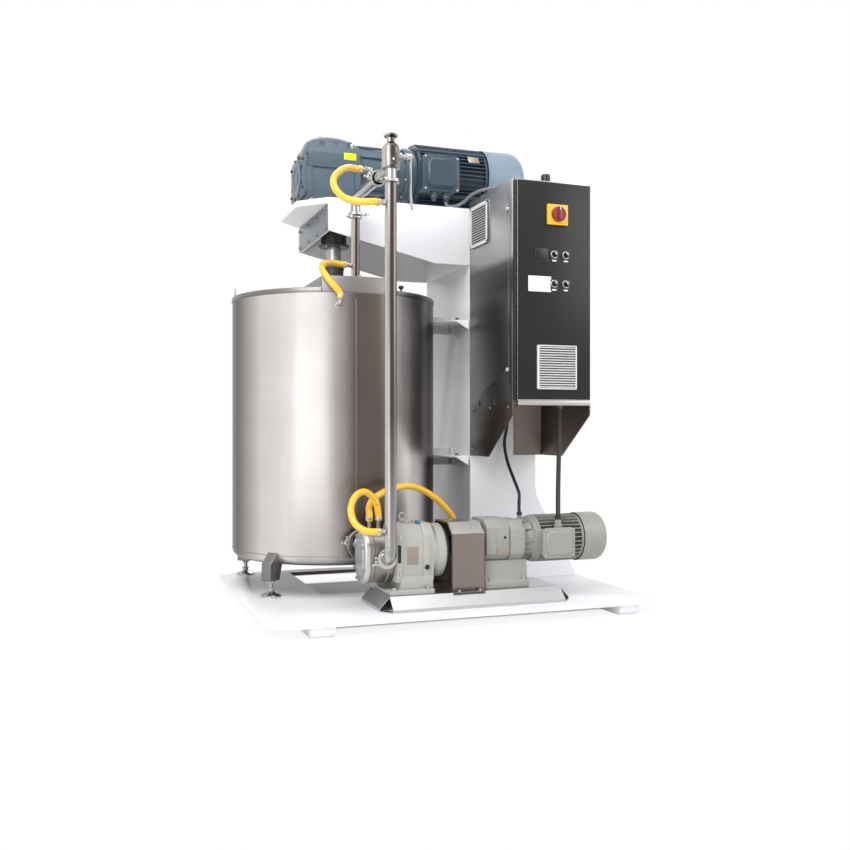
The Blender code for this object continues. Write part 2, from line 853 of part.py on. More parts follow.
def make_tank():
    """The heating jacket with its water nipple, the vessel inside it, four legs and the outlet pipe."""
    centre = (TANK_X, TANK_Y, 0.0)
    rim_under = TANK_TOP - RIM_T - GAP
    inner_r = TANK_R - JACKET_WALL
    jacket_profile = [
        (TANK_R, rim_under),
        *knuckle(TANK_R, TANK_BOTTOM, KNUCKLE_R),
        (0.05, TANK_BOTTOM),
        (0.05, TANK_BOTTOM + JACKET_WALL),
        *reversed(knuckle(inner_r, TANK_BOTTOM + JACKET_WALL, KNUCKLE_R - JACKET_WALL)),
        (inner_r, rim_under),
    ]
    jacket = turned(jacket_profile, centre, closed=True, sides=TANK_SIDES)
    wall_y = TANK_Y - math.sqrt(TANK_R**2 - (px(WALL_NIPPLE_X) - TANK_X) ** 2)
    wall_boss = rod(
        (px(WALL_NIPPLE_X), wall_y + JACKET_WALL, WALL_NIPPLE_Z),
        (px(WALL_NIPPLE_X), py(WALL_NIPPLE_Y) - NIPPLE_R, WALL_NIPPLE_Z),
        NIPPLE_R * 1.2,
        sides=FEW_SIDES,
    )
    wall_nipple = rod(
        (px(WALL_NIPPLE_X), py(WALL_NIPPLE_Y), WALL_NIPPLE_Z),
        (px(WALL_NIPPLE_X), py(WALL_NIPPLE_Y), WALL_NIPPLE_Z + WALL_NIPPLE_TALL),
        NIPPLE_R,
        sides=FEW_SIDES,
    )
    outlet_x = px(RISER_X)
    jacket_hole = rod(
        (outlet_x, TANK_Y - TANK_R - 0.05, PUMP_Z), (outlet_x, TANK_Y - VESSEL_R, PUMP_Z), OUTLET_R + GAP
    )
    vessel_hole = rod(
        (outlet_x, TANK_Y - TANK_R, PUMP_Z), (outlet_x, TANK_Y - 0.8 * VESSEL_R, PUMP_Z), OUTLET_R + GAP
    )
    join(jacket, wall_boss, wall_nipple)
    part(cut(jacket, jacket_hole), "tank_jacket", (0.60, 0.58, 0.56), 0.3, 1.0)
    bore = VESSEL_R - VESSEL_WALL
    corner = KNUCKLE_R / 2
    vessel_profile = [
        (TANK_R, TANK_TOP),
        (TANK_R, TANK_TOP - RIM_T),
        (VESSEL_R, TANK_TOP - RIM_T),
        *knuckle(VESSEL_R, VESSEL_BOTTOM, corner),
        (0.0, VESSEL_BOTTOM),
        (0.0, VESSEL_BOTTOM + VESSEL_WALL),
        *reversed(knuckle(bore, VESSEL_BOTTOM + VESSEL_WALL, corner - VESSEL_WALL)),
        (bore, TANK_TOP),
    ]
    vessel = turned(vessel_profile, centre, closed=True, sides=TANK_SIDES)
    part(cut(vessel, vessel_hole), "tank_vessel", (0.62, 0.61, 0.60), 0.3, 1.0)
    foot = DECK + GAP
    leg_profile = [
        (0.0, LEG_TOP),
        (LEG_R, LEG_TOP),
        (LEG_R, LEG_FOOT_TOP),
        (STEM_R, LEG_FOOT_TOP),
        (STEM_R, foot + 2.5 * PAD_T),
        (PAD_R, foot + PAD_T),
        (PAD_R, foot),
        (0.0, foot),
    ]
    sides = (("left", -1), ("right", 1))
    ends = (("front", -1), ("back", 1))
    for side_name, side in sides:
        for end_name, end in ends:
            place = (TANK_X + side * LEG_OUT_X, TANK_Y + end * LEG_OUT_Y, 0.0)
            leg = turned(leg_profile, place)
            around = turned(tank_outer_profile(GAP), centre, sides=TANK_SIDES)
            part(cut(leg, around), f"tank_leg_{end_name}_{side_name}", (0.62, 0.61, 0.60), 0.3, 1.0)
    make_outlet()


def make_outlet():
    """The pipe from the vessel's wall to the pump, with its clamped joint and its reducing cone."""
    start = TANK_Y - VESSEL_R + VESSEL_WALL
    end = py(PUMP_Y) + PORT_OUT + GAP
    run = start - end
    joint = start - py(OUTLET_JOINT_Y)
    cone = start - py(OUTLET_CONE_Y)
    neck = PIPE_R
    wall = PIPE_WALL
    collar = OUTLET_R + 0.022
    outside = [
        (neck, run),
        (neck, cone + 0.02),
        (OUTLET_R, cone - 0.01),
        (OUTLET_R, joint + FERRULE_T),
        (collar, joint + FERRULE_T / 2),
        (collar, joint - FERRULE_T / 2),
        (OUTLET_R, joint - FERRULE_T),
        (OUTLET_R, 0.0),
    ]
    inside = [
        (OUTLET_R - wall, 0.0),
        (OUTLET_R - wall, cone - 0.01),
        (neck - wall, cone + 0.02),
        (neck - wall, run),
    ]
    pipe = turned([*outside, *inside], (px(RISER_X), start, PUMP_Z), (0, -1, 0), closed=True)
    part(pipe, "tank_outlet", (0.62, 0.61, 0.60), 0.25, 1.0)


def lid_outline(half_from, half_to, radius, inset=0.0):
    """The part of a disc between two lines along Y, at distances from the tank's axis, less an inset."""
    radius -= inset
    low = half_from + inset
    high = min(half_to - inset, radius)
    count = 17
    start = math.acos(low / radius)
    end = math.acos(min(1.0, high / radius))
    front = [(radius * math.cos(a), -radius * math.sin(a)) for a in spread(start, end, count)]
    back = [(radius * math.cos(a), radius * math.sin(a)) for a in spread(end, start, count)]
    if end < 0.0001:
        back = back[1:]
    return front + back


def spread(start, end, count):
    return [start + (end - start) * i / (count - 1) for i in range(count)]


def tray(outline, inner, bottom, top, skin):
    """A shallow cover that is open below: an outline with a smaller one cut from under it."""
    cover = prism(outline, "XY", bottom, top)
    return cut(cover, prism(inner, "XY", bottom - skin, top - skin))


def make_lid():
    """The fixed bridge across the tank, the two half-lids hinged to it and the shaft's bearing housing."""
    seat = TANK_TOP + GAP
    whole = [(x + TANK_X, y + TANK_Y) for x, y in lid_outline(-BRIDGE_HALF, BRIDGE_HALF, RIM_R)]
    hollow = [
        (x + TANK_X, y + TANK_Y) for x, y in lid_outline(-BRIDGE_HALF, BRIDGE_HALF, RIM_R, BRIDGE_WALL)
    ]
    bridge = tray(whole, hollow, seat, BRIDGE_TOP, BRIDGE_WALL)
    shaft_hole = rod(
        (TANK_X, TANK_Y, BRIDGE_TOP - 0.03), (TANK_X, TANK_Y, BRIDGE_TOP + 0.01), SHAFT_R + SHAFT_CLEAR
    )
    drop_hole = rod(
        (px(RISER_X), py(DROP_Y), BRIDGE_TOP - 0.03),
        (px(RISER_X), py(DROP_Y), BRIDGE_TOP + 0.01),
        DROP_R + RUN,
    )
    part(cut(bridge, shaft_hole, drop_hole), "lid_bridge", (0.60, 0.59, 0.58), 0.3, 1.0)
    edge = BRIDGE_HALF + LID_GAP
    for name, side in (("lid_left", -1), ("lid_right", 1)):
        loops = []
        for inset in (0.0, LID_WALL):
            points = lid_outline(edge, TANK_R + 1.0, RIM_R, inset)
            loops.append([(TANK_X + side * x, TANK_Y + y) for x, y in points])
        lid = part(tray(*loops, seat, seat + LID_T, LID_WALL), name, (0.60, 0.59, 0.58), 0.3, 1.0)
        pivot(f"{name}_hinge", (TANK_X + side * edge, TANK_Y, seat + LID_T), lid)
    bore = SHAFT_R + SHAFT_CLEAR
    base = BRIDGE_TOP + GAP
    housing_profile = [
        (HOUSING_R * 0.8, HOUSING_TOP),
        (HOUSING_R * 0.8, base + 0.04),
        (HOUSING_R, base + 0.03),
        (HOUSING_R, base + 0.012),
        (HOUSING_R + 0.02, base + 0.012),
        (HOUSING_R + 0.02, base),
        (bore, base),
        (bore, HOUSING_TOP),
    ]
    housing = turned(housing_profile, (TANK_X, TANK_Y, 0.0), closed=True)
    part(housing, "bearing_housing", (0.30, 0.30, 0.32), 0.4, 0.6)


def make_agitator():
    """The agitator shaft with its crossed pins, and the lantern that hides the shaft under the arm."""
    top = COLUMN_TOP + SHAFT_INSERT - RUN
    shaft = rod((TANK_X, TANK_Y, SHAFT_BOTTOM), (TANK_X, TANK_Y, top), SHAFT_R)
    for level in range(PIN_LEVELS):
        height = PIN_FIRST + level * PIN_STEP
        reach = Vector((PIN_REACH, 0, 0)) if level % 2 == 0 else Vector((0, PIN_REACH, 0))
        middle = Vector((TANK_X, TANK_Y, height))
        join(shaft, rod(middle - reach, middle + reach, PIN_R, sides=FEW_SIDES))
    part(shaft, "agitator", (0.55, 0.54, 0.53), 0.35, 1.0)
    pivot("agitator_axis", (TANK_X, TANK_Y, SHAFT_BOTTOM), shaft)
    bore = SHAFT_R + SHAFT_CLEAR
    top = ARM_MIDDLE_TOP - GAP
    lantern_profile = [
        (LANTERN_FLANGE_R, top),
        (LANTERN_FLANGE_R, top - LANTERN_FLANGE_T),
        (LANTERN_R, top - LANTERN_FLANGE_T),
        (LANTERN_R, LANTERN_BOTTOM + LANTERN_FLANGE_T),
        (LANTERN_FLANGE_R, LANTERN_BOTTOM + LANTERN_FLANGE_T),
        (LANTERN_FLANGE_R, LANTERN_BOTTOM),
        (bore, LANTERN_BOTTOM),
        (bore, top),
    ]
    lantern = turned(lantern_profile, (TANK_X, TANK_Y, 0.0), closed=True)
    part(lantern, "shaft_lantern", (0.10, 0.09, 0.09), 0.5, 0.3)


def finned_outline(centre_u, centre_v, core, radius, fins):
    """A round outline with narrow fins standing on it."""
    turn = 2 * math.pi / fins
    points = []
    for i in range(fins):
        for share, reach in ((-0.16, core), (-0.12, radius), (0.12, radius), (0.16, core)):
            angle = (i + share) * turn
            points.append((centre_u + reach * math.cos(angle), centre_v + reach * math.sin(angle)))
    return points


def fan_outline(centre_u, centre_v, hub, radius, blades):
    """A fan's outline: straight blades on a round hub."""
    turn = 2 * math.pi / blades
    points = []
    for i in range(blades):
        for share, reach in ((-0.30, hub), (-0.10, radius), (0.10, radius), (0.30, hub)):
            angle = (i + share) * turn
            points.append((centre_u + reach * math.cos(angle), centre_v + reach * math.sin(angle)))
    return points


def fan_cowl(radius, wall, length, dome, base):
    """A fan cowl along +X: a cup with a rounded end and a round air inlet."""
    inner = radius - wall
    outside = [
        (radius, 0.0),
        (radius, length - dome),
        (radius - 0.3 * dome, length - 0.35 * dome),
        (radius - 1.1 * dome, length),
        (0.45 * radius, length),
    ]
    inside = [
        (0.45 * radius, length - wall),
        (inner - 1.1 * dome, length - wall),
        (inner - 0.3 * dome, length - 0.35 * dome - wall),
        (inner, length - dome),
        (inner, 0.0),
    ]
    return turned([*outside, *inside][::-1], base, (1, 0, 0), closed=True)


def make_gearbox():
    """The bevel gearbox on the arm, one casting: case, cover, end cap, neck and motor flange."""
    seat = COLUMN_TOP + GAP
    left = px(GEAR_LEFT)
    right = px(GEAR_RIGHT)
    case = box((left, TANK_Y - GEAR_HALF, seat), (right, TANK_Y + GEAR_HALF, GEAR_LEDGE), 0.012)
    shoulder = box(
        (left + 0.008, TANK_Y - GEAR_HALF * 0.9, GEAR_LEDGE - 0.06),
        (right - 0.004, TANK_Y + GEAR_HALF * 0.9, GEAR_SHOULDER),
        0.016,
    )
    dome = box(
        (left + 0.014, TANK_Y - GEAR_HALF * 0.85, GEAR_SHOULDER - 0.07),
        (right + 0.02, TANK_Y + GEAR_HALF * 0.85, GEAR_DOME_TOP),
        0.035,
    )
    cap = rod(
        (left - GEAR_CAP_T, TANK_Y, GEAR_CAP_Z), (left + 0.03, TANK_Y, GEAR_CAP_Z), GEAR_CAP_R
    )
    flange_left = px(FLANGE_LEFT)
    flange_right = px(MOTOR_LEFT) - GAP
    neck = rod(
        (right - 0.04, TANK_Y, MOTOR_Z), (flange_left + 0.02, TANK_Y, MOTOR_Z), NECK_R, NECK_R * 0.94
    )
    flange = rod((flange_left, TANK_Y, MOTOR_Z), (flange_right, TANK_Y, MOTOR_Z), FLANGE_R)
    shaft_bore = rod(
        (TANK_X, TANK_Y, seat - 0.02), (TANK_X, TANK_Y, COLUMN_TOP + SHAFT_INSERT), AGITATOR_BORE_R
    )
    motor_bore = rod(
        (flange_left - 0.05, TANK_Y, MOTOR_Z),
        (flange_right + 0.02, TANK_Y, MOTOR_Z),
        MOTOR_BORE_R,
        sides=SHAFT_SIDES,
    )
    join(case, shoulder, dome, cap, neck, flange)
    part(cut(case, shaft_bore, motor_bore), "gearbox_case", (0.13, 0.18, 0.22), 0.4)


def make_motor():
    """The agitator's motor: finned frame, terminal box, fan cowl, and its shaft with the fan."""
    left = px(MOTOR_LEFT)
    right = px(MOTOR_RIGHT)
    outline = finned_outline(TANK_Y, MOTOR_Z, MOTOR_CORE_R, MOTOR_R, MOTOR_FINS)
    bore = circle(TANK_Y, MOTOR_Z, MOTOR_BORE_R, SHAFT_SIDES)
    frame = prism(outline, "YZ", left, right, [bore])
    part(frame, "motor_frame", (0.16, 0.22, 0.27), 0.4)
    front = py(BOX_FRONT)
    terminal = box(
        (px(BOX_LEFT), front, BOX_BOTTOM), (px(BOX_RIGHT), TANK_Y - MOTOR_CORE_R / 2, BOX_TOP), 0.006
    )
    inset = BOX_LID_T / 2
    lid = box(
        (px(BOX_LEFT) + inset, front - BOX_LID_T, BOX_BOTTOM + inset),
        (px(BOX_RIGHT) - inset, front + inset, BOX_TOP - inset),
        inset,
    )
    round_frame = rod(
        (px(BOX_LEFT) - 0.02, TANK_Y, MOTOR_Z),
        (px(BOX_RIGHT) + 0.02, TANK_Y, MOTOR_Z),
        MOTOR_R + GAP,
        sides=90,
    )
    glands = []
    for share in (0.35, 0.68):
        gland_x = px(BOX_LEFT) + share * (BOX_RIGHT - BOX_LEFT)
        glands.append(
            rod(
                (gland_x, front + 0.03, BOX_BOTTOM + 0.01),
                (gland_x, front + 0.03, BOX_BOTTOM - 0.04),
                0.012,
                sides=FEW_SIDES,
            )
        )
    terminal = cut(join(terminal, lid), round_frame)
    part(join(terminal, *glands), "motor_terminal_box", (0.15, 0.21, 0.26), 0.4)
    length = COWL_RIGHT - MOTOR_RIGHT - GAP
    cowl = fan_cowl(COWL_R, COWL_WALL, length, COWL_DOME, (right + GAP, TANK_Y, MOTOR_Z))
    part(cowl, "motor_cowl", (0.22, 0.29, 0.35), 0.4)
    fan_left = right + 0.35 * length
    fan = prism(
        fan_outline(TANK_Y, MOTOR_Z, 0.035, COWL_R * 0.78, FAN_BLADES), "YZ", fan_left, fan_left + 0.03
    )
    shaft = rod(
        (px(FLANGE_LEFT) - 0.04, TANK_Y, MOTOR_Z),
        (fan_left + 0.04, TANK_Y, MOTOR_Z),
        MOTOR_SHAFT_R,
        sides=SHAFT_SIDES,
    )
    part(join(shaft, fan), "motor_rotor", (0.20, 0.20, 0.21), 0.5, 0.5)
    pivot("motor_axis", (left, TANK_Y, MOTOR_Z), shaft)


def nipple_left(x, y, z, reach):
    """A hose nipple that points to the left from a pipe's axis."""
    return rod((x, y, z), (x - reach, y, z), NIPPLE_R, sides=FEW_SIDES)


def make_chocolate_line():
    """The riser from the pump, the top valve with its lever, the branch and the drop pipe into the lid."""
    x = px(RISER_X)
    y = py(RISER_Y)
    elbow_top = PUMP_Z + 0.065
    riser_low = elbow_top + GAP
    steel = (0.66, 0.65, 0.64)
    lower = nipple_left(x - PIPE_R / 2, y, RISER_NIPPLE_LOW_Z, RISER_NIPPLE_REACH - PIPE_R / 2)
    upper = nipple_left(x - PIPE_R / 2, y, RISER_NIPPLE_TOP_Z, RISER_NIPPLE_REACH - PIPE_R / 2)
    bore = rod((x, y, riser_low - 0.01), (x, y, RISER_TOP + 0.01), PIPE_R - PIPE_WALL)
    riser = rod((x, y, riser_low), (x, y, RISER_TOP), PIPE_R)
    part(cut(join(riser, lower, upper), bore), "riser_pipe", steel, 0.2, 1.0)

    drop_y = py(DROP_Y)
    tee = rod((x, y, RISER_TOP + GAP), (x, y, VALVE_BOTTOM - GAP), PIPE_R)
    tee_bore = rod((x, y, RISER_TOP - 0.01), (x, y, VALVE_BOTTOM + 0.01), PIPE_R - PIPE_WALL)
    start = (x, y, BRANCH_Z)
    corner = (x, drop_y, BRANCH_Z)
    end = (x, drop_y, DROP_TOP + GAP)
    route = [start, *bend(start, corner, end, 0.05), end]
    outer, inner = bent_pipe(route, BRANCH_R, PIPE_WALL)
    rise = BRANCH_NIPPLE_Z - BRANCH_Z
    nipple_y = py(BRANCH_NIPPLE_Y)
    nipple_up = rod(
        (x, nipple_y, BRANCH_Z + BRANCH_R / 2),
        (x, nipple_y, BRANCH_Z + rise + NIPPLE_R),
        NIPPLE_R,
        sides=FEW_SIDES,
    )
    nipple_out = nipple_left(x, nipple_y, BRANCH_NIPPLE_Z, BRANCH_NIPPLE_REACH)
    join(outer, tee, nipple_up, nipple_out)
    part(cut(outer, tee_bore, inner), "branch_pipe", steel, 0.2, 1.0)

    valve_profile = [
        (0.0, SPOUT_TOP),
        (FERRULE_R, SPOUT_TOP),
        (FERRULE_R, SPOUT_TOP - FERRULE_T),
        (VALVE_NECK_R, SPOUT_TOP - FERRULE_T),
        (VALVE_NECK_R, VALVE_TOP + 0.020),
        (VALVE_R, VALVE_TOP),
        (VALVE_R, VALVE_BOTTOM),
        (0.0, VALVE_BOTTOM),
    ]
    valve = turned(valve_profile, (x, y, 0.0))
    boss_end = x + VALVE_R + 0.012
    boss = rod((x, y, VALVE_AXIS_Z), (boss_end, y, VALVE_AXIS_Z), 0.014)
    stem_bore = rod(
        (x + 0.01, y, VALVE_AXIS_Z), (boss_end + 0.01, y, VALVE_AXIS_Z), VALVE_BORE_R, sides=SHAFT_SIDES
    )
    part(cut(join(valve, boss), stem_bore), "top_valve", steel, 0.2, 1.0)
    lever_x = px(LEVER_X)
    stem = rod((x + 0.012, y, VALVE_AXIS_Z), (lever_x, y, VALVE_AXIS_Z), STEM_VALVE_R, sides=SHAFT_SIDES)
    knob = rod((lever_x - 0.022, y, VALVE_AXIS_Z), (lever_x + 0.006, y, VALVE_AXIS_Z), 0.015)
    lever = box(
        (lever_x - LEVER_T / 2, y - LEVER_W / 2, VALVE_AXIS_Z - LEVER_LENGTH),
        (lever_x + LEVER_T / 2, y + LEVER_W / 2, VALVE_AXIS_Z),
    )
    handle = part(join(stem, knob, lever), "valve_handle", (0.30, 0.30, 0.31), 0.3, 0.8)
    pivot("valve_axis", (x, y, VALVE_AXIS_Z), handle)

    drop = rod((x, drop_y, DROP_BOTTOM), (x, drop_y, DROP_TOP), DROP_R)
    drop_bore = rod((x, drop_y, DROP_BOTTOM - 0.01), (x, drop_y, DROP_TOP + 0.01), DROP_R - PIPE_WALL)
    drop_nipple = nipple_left(x - DROP_R / 2, drop_y, DROP_NIPPLE_Z, DROP_NIPPLE_REACH - DROP_R / 2)
    part(cut(join(drop, drop_nipple), drop_bore), "drop_pipe", steel, 0.2, 1.0)

    port = (x, py(PUMP_Y) - PORT_OUT - GAP, PUMP_Z)
    corner = (x, y, PUMP_Z)
    top = (x, y, elbow_top)
    outer, inner = bent_pipe([port, *bend(port, corner, top, 0.045), top], PIPE_R, PIPE_WALL)
    flange = rod(port, (x, port[1] - 0.009, PUMP_Z), PORT_BOSS_R)
    part(cut(join(outer, flange), inner), "outlet_elbow", steel, 0.2, 1.0)


def obround(centre_u, centre_v, half_w, half_h, count=13):
    """An upright outline with round ends."""
    lift = half_h - half_w
    top = arc((centre_u, centre_v + lift), half_w, 0.0, math.pi, count)
    bottom = arc((centre_u, centre_v - lift), half_w, math.pi, 2 * math.pi, count)
    return top + bottom


def lobe_outline(centre_u, centre_v, per_flank=5):
    """A lobed rotor's outline: tips are epicycloids and waists hypocycloids on the pitch circle."""
    pitch_r = ROTOR_SPACING / 2
    small = pitch_r / (2 * ROTOR_LOBES)
    points = []
    sector = math.pi / ROTOR_LOBES
    for half in range(2 * ROTOR_LOBES):
        for i in range(per_flank):
            local = sector * i / per_flank
            roll = local * pitch_r / small
            if half % 2 == 0:
                u = (pitch_r + small) * math.cos(local) - small * math.cos(local + roll)
                v = (pitch_r + small) * math.sin(local) - small * math.sin(local + roll)
            else:
                u = (pitch_r - small) * math.cos(local) + small * math.cos(roll - local)
                v = (pitch_r - small) * math.sin(local) - small * math.sin(roll - local)
            reach = math.hypot(u, v) - LOBE_CLEAR
            angle = math.atan2(v, u) + sector * half
            points.append((centre_u + reach * math.cos(angle), centre_v + reach * math.sin(angle)))
    return points


def make_pump():
    """The lobe pump: front cover, rotor head with both ports, two meshing rotors, gear case and tray."""
    y = py(PUMP_Y)
    low_z = PUMP_Z - ROTOR_SPACING / 2
    lobe_r = ROTOR_SPACING / 2 * (1 + 1 / ROTOR_LOBES)
    chamber_r = lobe_r + CHAMBER_CLEAR
    head_left = px(HEAD_LEFT)
    head_right = px(HEAD_RIGHT)
    outline = obround(y, PUMP_Z, PUMP_HALF_W, PUMP_HALF_H)
    cover = bevelled(prism(outline, "YZ", px(COVER_LEFT), head_left - GAP), 0.006)
    part(cover, "pump_cover", (0.66, 0.66, 0.65), 0.25, 1.0)

    head = prism(outline, "YZ", head_left, head_right)
    ports_x = px(RISER_X)
    boss = rod((ports_x, y - PORT_OUT, PUMP_Z), (ports_x, y + PORT_OUT, PUMP_Z), PORT_BOSS_R * 0.75)
    nipples = [
        rod((px(at), y, PUMP_Z + PUMP_HALF_H - 0.02), (px(at), y, HEAD_NIPPLE_TOP), NIPPLE_R, sides=FEW_SIDES)
        for at in HEAD_NIPPLE_XS
    ]
    join(head, boss, *nipples)
    chamber_back = head_right - HEAD_BACK_WALL
    for height in (DRIVE_Z, low_z):
        cut(
            head,
            rod((head_left - 0.01, y, height), (chamber_back, y, height), chamber_r),
            rod((head_left, y, height), (head_right + 0.01, y, height), ROTOR_BORE_R, sides=SHAFT_SIDES),
        )
    port = rod((ports_x, y - PORT_OUT - 0.01, PUMP_Z), (ports_x, y + PORT_OUT + 0.01, PUMP_Z), PORT_BORE_R)
    part(cut(head, port), "pump_head", (0.62, 0.61, 0.60), 0.25, 1.0)

    rotor_left = head_left + CHAMBER_CLEAR
    rotor_right = chamber_back - CHAMBER_CLEAR
    upper = prism(lobe_outline(y, DRIVE_Z), "YZ", rotor_left, rotor_right)
    drive_end = px(COUPLING_RIGHT) - 0.02
    upper_shaft = rod(
        (rotor_left + 0.01, y, DRIVE_Z), (drive_end, y, DRIVE_Z), ROTOR_SHAFT_R, sides=SHAFT_SIDES
    )
    join(upper, upper_shaft)
    part(upper, "rotor_upper", (0.60, 0.60, 0.59), 0.25, 1.0)
    lower = prism(lobe_outline(y, low_z), "YZ", rotor_left, rotor_right)
    lower_end = head_right + 0.06
    join(lower, rod((rotor_left + 0.01, y, low_z), (lower_end, y, low_z), ROTOR_SHAFT_R, sides=SHAFT_SIDES))
    part(lower, "rotor_lower", (0.60, 0.60, 0.59), 0.25, 1.0)
    pivot("rotor_lower_axis", (head_left, y, low_z), lower)

    case_left = head_right + GAP
    case_right = px(GEAR_CASE_RIGHT)
    section = [
        (y - GEAR_CASE_HALF, GEAR_CASE_BOTTOM),
        (y + GEAR_CASE_HALF, GEAR_CASE_BOTTOM),
        (y + GEAR_CASE_HALF, GEAR_CASE_SHOULDER),
        (y + GEAR_CASE_CROWN, GEAR_CASE_TOP),
        (y - GEAR_CASE_CROWN, GEAR_CASE_TOP),
        (y - GEAR_CASE_HALF, GEAR_CASE_SHOULDER),
    ]
    case = bevelled(prism(section, "YZ", case_left, case_right), 0.012)
    carrier_right = px(CARRIER_RIGHT)
    carrier = rod((case_right - 0.02, y, CARRIER_Z), (carrier_right, y, CARRIER_Z), CARRIER_R)
    foot = box(
        (px(FOOT_LEFT), y - FOOT_HALF, TRAY_TOP + GAP),
        (px(FOOT_RIGHT), y + FOOT_HALF, GEAR_CASE_BOTTOM + 0.012),
        0.006,
    )
    under = PUMP_Z - PUMP_HALF_H - GAP
    head_room = box(
        (px(FOOT_LEFT) - 0.02, y - PUMP_HALF_W, under), (head_right + GAP, y + PUMP_HALF_W, under + 0.1)
    )
    join(case, carrier, cut(foot, head_room))
    cut(
        case,
        rod(
            (case_left - 0.01, y, DRIVE_Z),
            (carrier_right + 0.01, y, DRIVE_Z),
            ROTOR_BORE_R,
            sides=SHAFT_SIDES,
        ),
        rod((case_left - 0.01, y, low_z), (lower_end + RUN, y, low_z), ROTOR_BORE_R, sides=SHAFT_SIDES),
    )
    part(case, "pump_gear_case", (0.60, 0.62, 0.58), 0.45)

    tray_low = (px(TRAY_LEFT), py(TRAY_FRONT), DECK + GAP)
    tray_high = (px(TRAY_RIGHT), py(TRAY_BACK), TRAY_TOP)
    stand = frustum(tray_low, tray_high, TRAY_SLOPE_X, TRAY_SLOPE_Y)
    sink = Vector((TRAY_WALL, TRAY_WALL, -TRAY_WALL))
    inner_low = Vector(tray_low) + sink
    inner_high = Vector(tray_high) - Vector((TRAY_WALL, TRAY_WALL, TRAY_WALL))
    hollow = frustum(inner_low, inner_high, TRAY_SLOPE_X, TRAY_SLOPE_Y)
    part(cut(stand, hollow), "pump_tray", (0.62, 0.61, 0.60), 0.3, 1.0)
    return upper


def guard_section(y, shrink):
    """The coupling guard's section, a hood with chamfered shoulders, less a wall."""
    foot = TRAY_TOP + GAP - (0.02 if shrink else 0.0)
    half = GUARD_HALF - shrink
    return [
        (y - half, foot),
        (y + half, foot),
        (y + half, GUARD_SHOULDER - shrink / 2),
        (y + GUARD_CROWN - shrink / 2, GUARD_TOP - shrink),
        (y - GUARD_CROWN + shrink / 2, GUARD_TOP - shrink),
        (y - half, GUARD_SHOULDER - shrink / 2),
    ]


